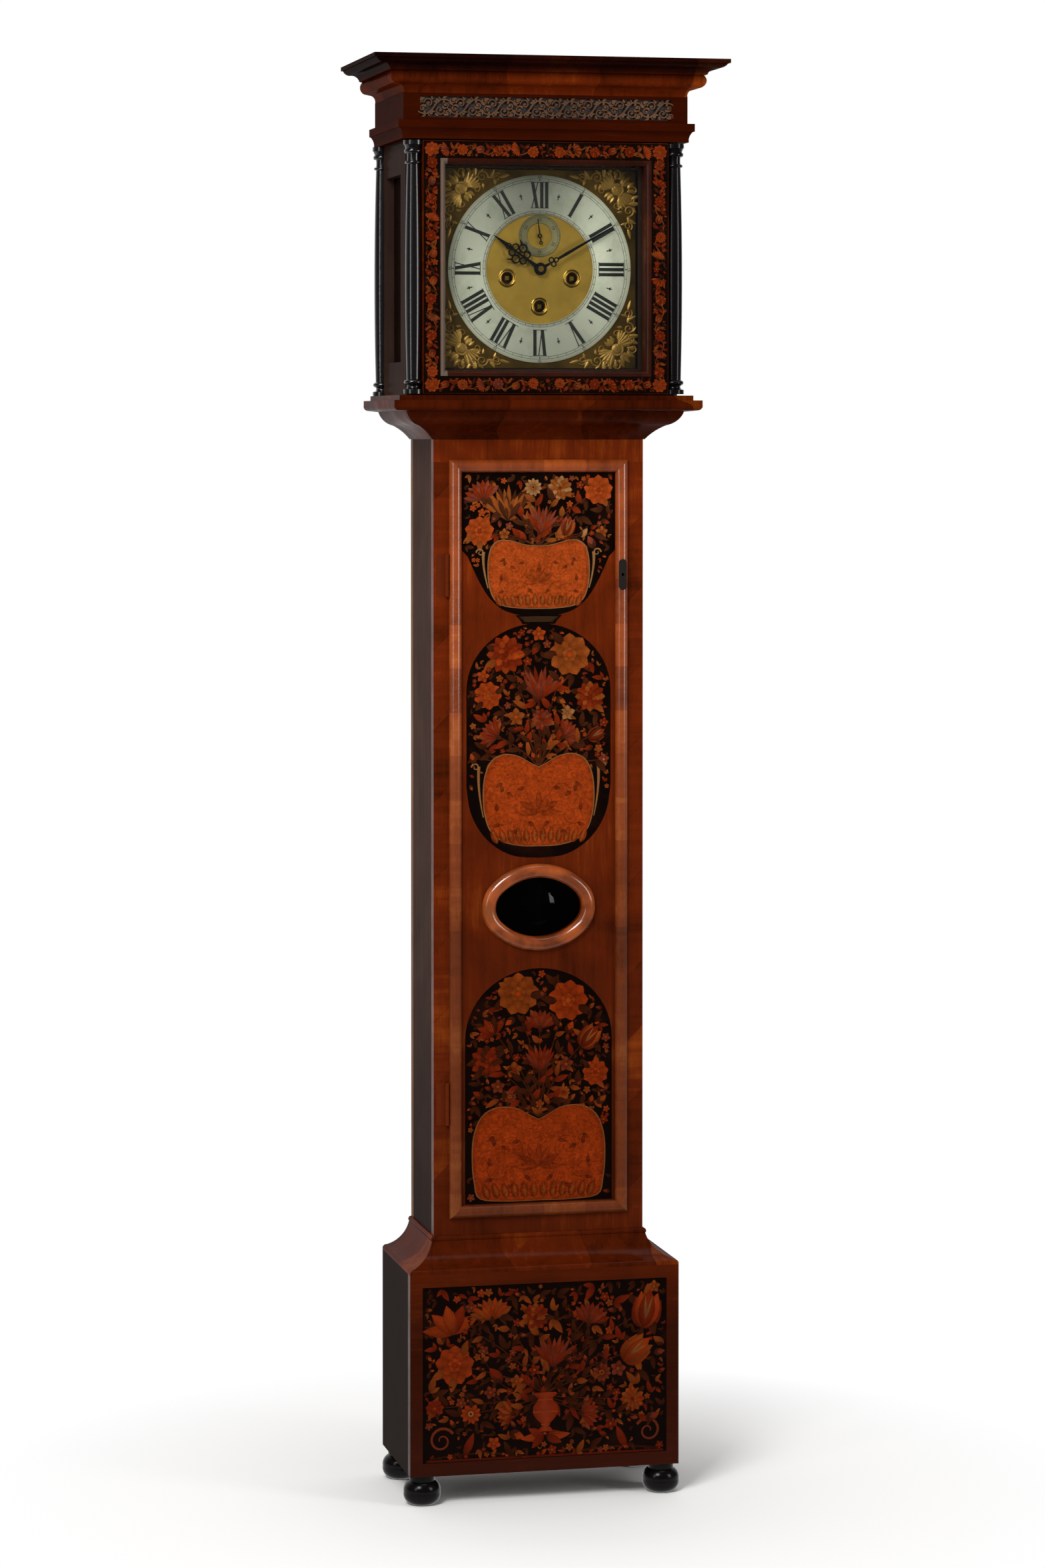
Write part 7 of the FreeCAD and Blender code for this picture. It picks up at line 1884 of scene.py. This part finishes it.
class CLOCK_OT_stage(bpy.types.Operator):
    """Sets the floor, lamps, world and camera"""

    bl_idname = "clock.stage"
    bl_label = "Stage"

    # name, place, height of what it is aimed at, width and height, share of the key lamp's power
    LAMPS = (("key_lamp", (-2.4, -3.2, 4.3), 1.4, (1.5, 2.2), 1.0),
             ("fill_lamp", (3.0, -2.6, 1.95), 1.8, (0.9, 2.1), 0.22),
             ("edge_lamp", (-3.0, -2.2, 1.95), 1.8, (0.4, 2.1), 0.10),
             ("top_lamp", (0.2, 0.4, 5.0), 1.0, (3.0, 3.0), 0.22))
    CAMERA_PLACE = (-1.3625, -5.954, 1.509)
    CAMERA_TURN, CAMERA_DROP = math.radians(12.74), math.radians(1.216)
    CAMERA_SENSOR, CAMERA_SHIFT = 36.0, -0.165
    FLOOR_HALF = 30

    def execute(self, context):
        scene, sizes = context.scene, context.scene.clock_sizes
        scene.view_settings.view_transform = "Standard"
        self.floor(scene, scene.clock_finishes.floor)
        self.world(scene)
        for name, spot, height, size, share in self.LAMPS:
            light = bpy.data.lights.new(name, "AREA")
            light.shape, light.size, light.size_y = "RECTANGLE", *size
            light.energy = sizes.key_power * share
            self.put(scene, name, light, spot, Vector((0.0, 0.0, height)) - Vector(spot))
        camera = bpy.data.cameras.new("camera")
        camera.lens, camera.sensor_width = sizes.lens, self.CAMERA_SENSOR
        camera.shift_y = self.CAMERA_SHIFT
        level = math.cos(self.CAMERA_DROP)
        look = Vector((math.sin(self.CAMERA_TURN) * level, math.cos(self.CAMERA_TURN) * level,
                       -math.sin(self.CAMERA_DROP)))
        scene.camera = self.put(scene, "camera", camera, self.CAMERA_PLACE, look)
        return {"FINISHED"}

    def put(self, scene, name, data, spot, look):
        """A lamp or camera at its place, looking that way."""
        holder = bpy.data.objects.new(name, data)
        holder.location = spot
        holder.rotation_euler = look.to_track_quat("-Z", "Y").to_euler()
        scene.collection.objects.link(holder)
        return holder

    def floor(self, scene, tint):
        """A pale floor that keeps the clock's shadow and is white away from it."""
        r = Recipe("studio_floor")
        seen, glossy = r.rays()
        place = r.place()
        cloud = r.noise(place, 2.0, 2.0)
        colour = r.mix(cloud, tint, scaled(tint, 0.97))
        matt = r.surface(colour, cloud.span(0.2, 0.8, 0.8, 0.9), Specular_IOR_Level=0.2)
        x, y, _ = r.split(place)
        far = ((x * x + y * y) ** 0.5).span(0.30, 0.82)
        level = 1 - glossy * y.span(0.3, -1.0, 0.0, 0.93)
        glow = r.node("ShaderNodeEmission", None, {"Color": r.vector(level, level, level),
                                                   "Strength": 1.0})
        share = (seen * far + glossy).span(0.0, 1.0)
        r.output(r.node("ShaderNodeMixShader", None, {0: share, 1: matt, 2: glow}))
        half = self.FLOOR_HALF
        mesh = bpy.data.meshes.new("studio_floor")
        mesh.from_pydata([(-half, -half, 0), (half, -half, 0), (half, half, 0), (-half, half, 0)],
                         [], [(0, 1, 2, 3)])
        mesh.materials.append(FINISH["studio_floor"])
        floor = bpy.data.objects.new("studio_floor", mesh)
        scene.collection.objects.link(floor)

    def world(self, scene):
        """White behind the clock, and a dimmer room in front of it."""
        scene.world = bpy.data.worlds.new("studio")
        r = Recipe("studio", scene.world)
        seen, glossy = r.rays()
        _, toward, _ = r.split(r.node("ShaderNodeTexCoord", out="Generated"))
        room = toward.span(0.25, 0.85, 0.10, 1.0)
        soft = toward.span(-0.10, 0.80, 0.28, 0.75)
        level = seen.span(0.0, 1.0)
        strength = level + (1 - level) * (glossy * room + (1 - glossy) * soft)
        back = r.node("ShaderNodeBackground", None, {"Color": (1.0, 1.0, 1.0, 1.0),
                                                     "Strength": strength})
        r.output(back, "ShaderNodeOutputWorld")


OPERATORS = (CLOCK_OT_finishes, CLOCK_OT_door_marquetry, CLOCK_OT_base_marquetry,
             CLOCK_OT_hood_marquetry, CLOCK_OT_numerals, CLOCK_OT_dial_marks, CLOCK_OT_spandrels,
             CLOCK_OT_winding_rings, CLOCK_OT_fret, CLOCK_OT_lines, CLOCK_OT_stage)


class CLOCK_PT_panel(bpy.types.Panel):
    """Lists the clock's makers"""

    bl_idname = "CLOCK_PT_panel"
    bl_label = "Longcase clock"
    bl_space_type = "VIEW_3D"
    bl_region_type = "UI"
    bl_category = "Clock"

    def draw(self, context):
        for group in (context.scene.clock_finishes, context.scene.clock_sizes):
            column = self.layout.column()
            for name in group.__annotations__:
                column.prop(group, name)
        for operator in OPERATORS:
            self.layout.operator(operator.bl_idname)


CLASSES = (ClockFinishes, ClockSizes, *OPERATORS, CLOCK_PT_panel)


def register():
    for kind in CLASSES:
        bpy.utils.register_class(kind)
    bpy.types.Scene.clock_finishes = PointerProperty(type=ClockFinishes)
    bpy.types.Scene.clock_sizes = PointerProperty(type=ClockSizes)


def unregister():
    del bpy.types.Scene.clock_sizes
    del bpy.types.Scene.clock_finishes
    for kind in reversed(CLASSES):
        bpy.utils.unregister_class(kind)


def main():
    register()
    for operator in OPERATORS:
        family, name = operator.bl_idname.split(".")
        getattr(getattr(bpy.ops, family), name)()


if __name__ == "__main__":
    main()
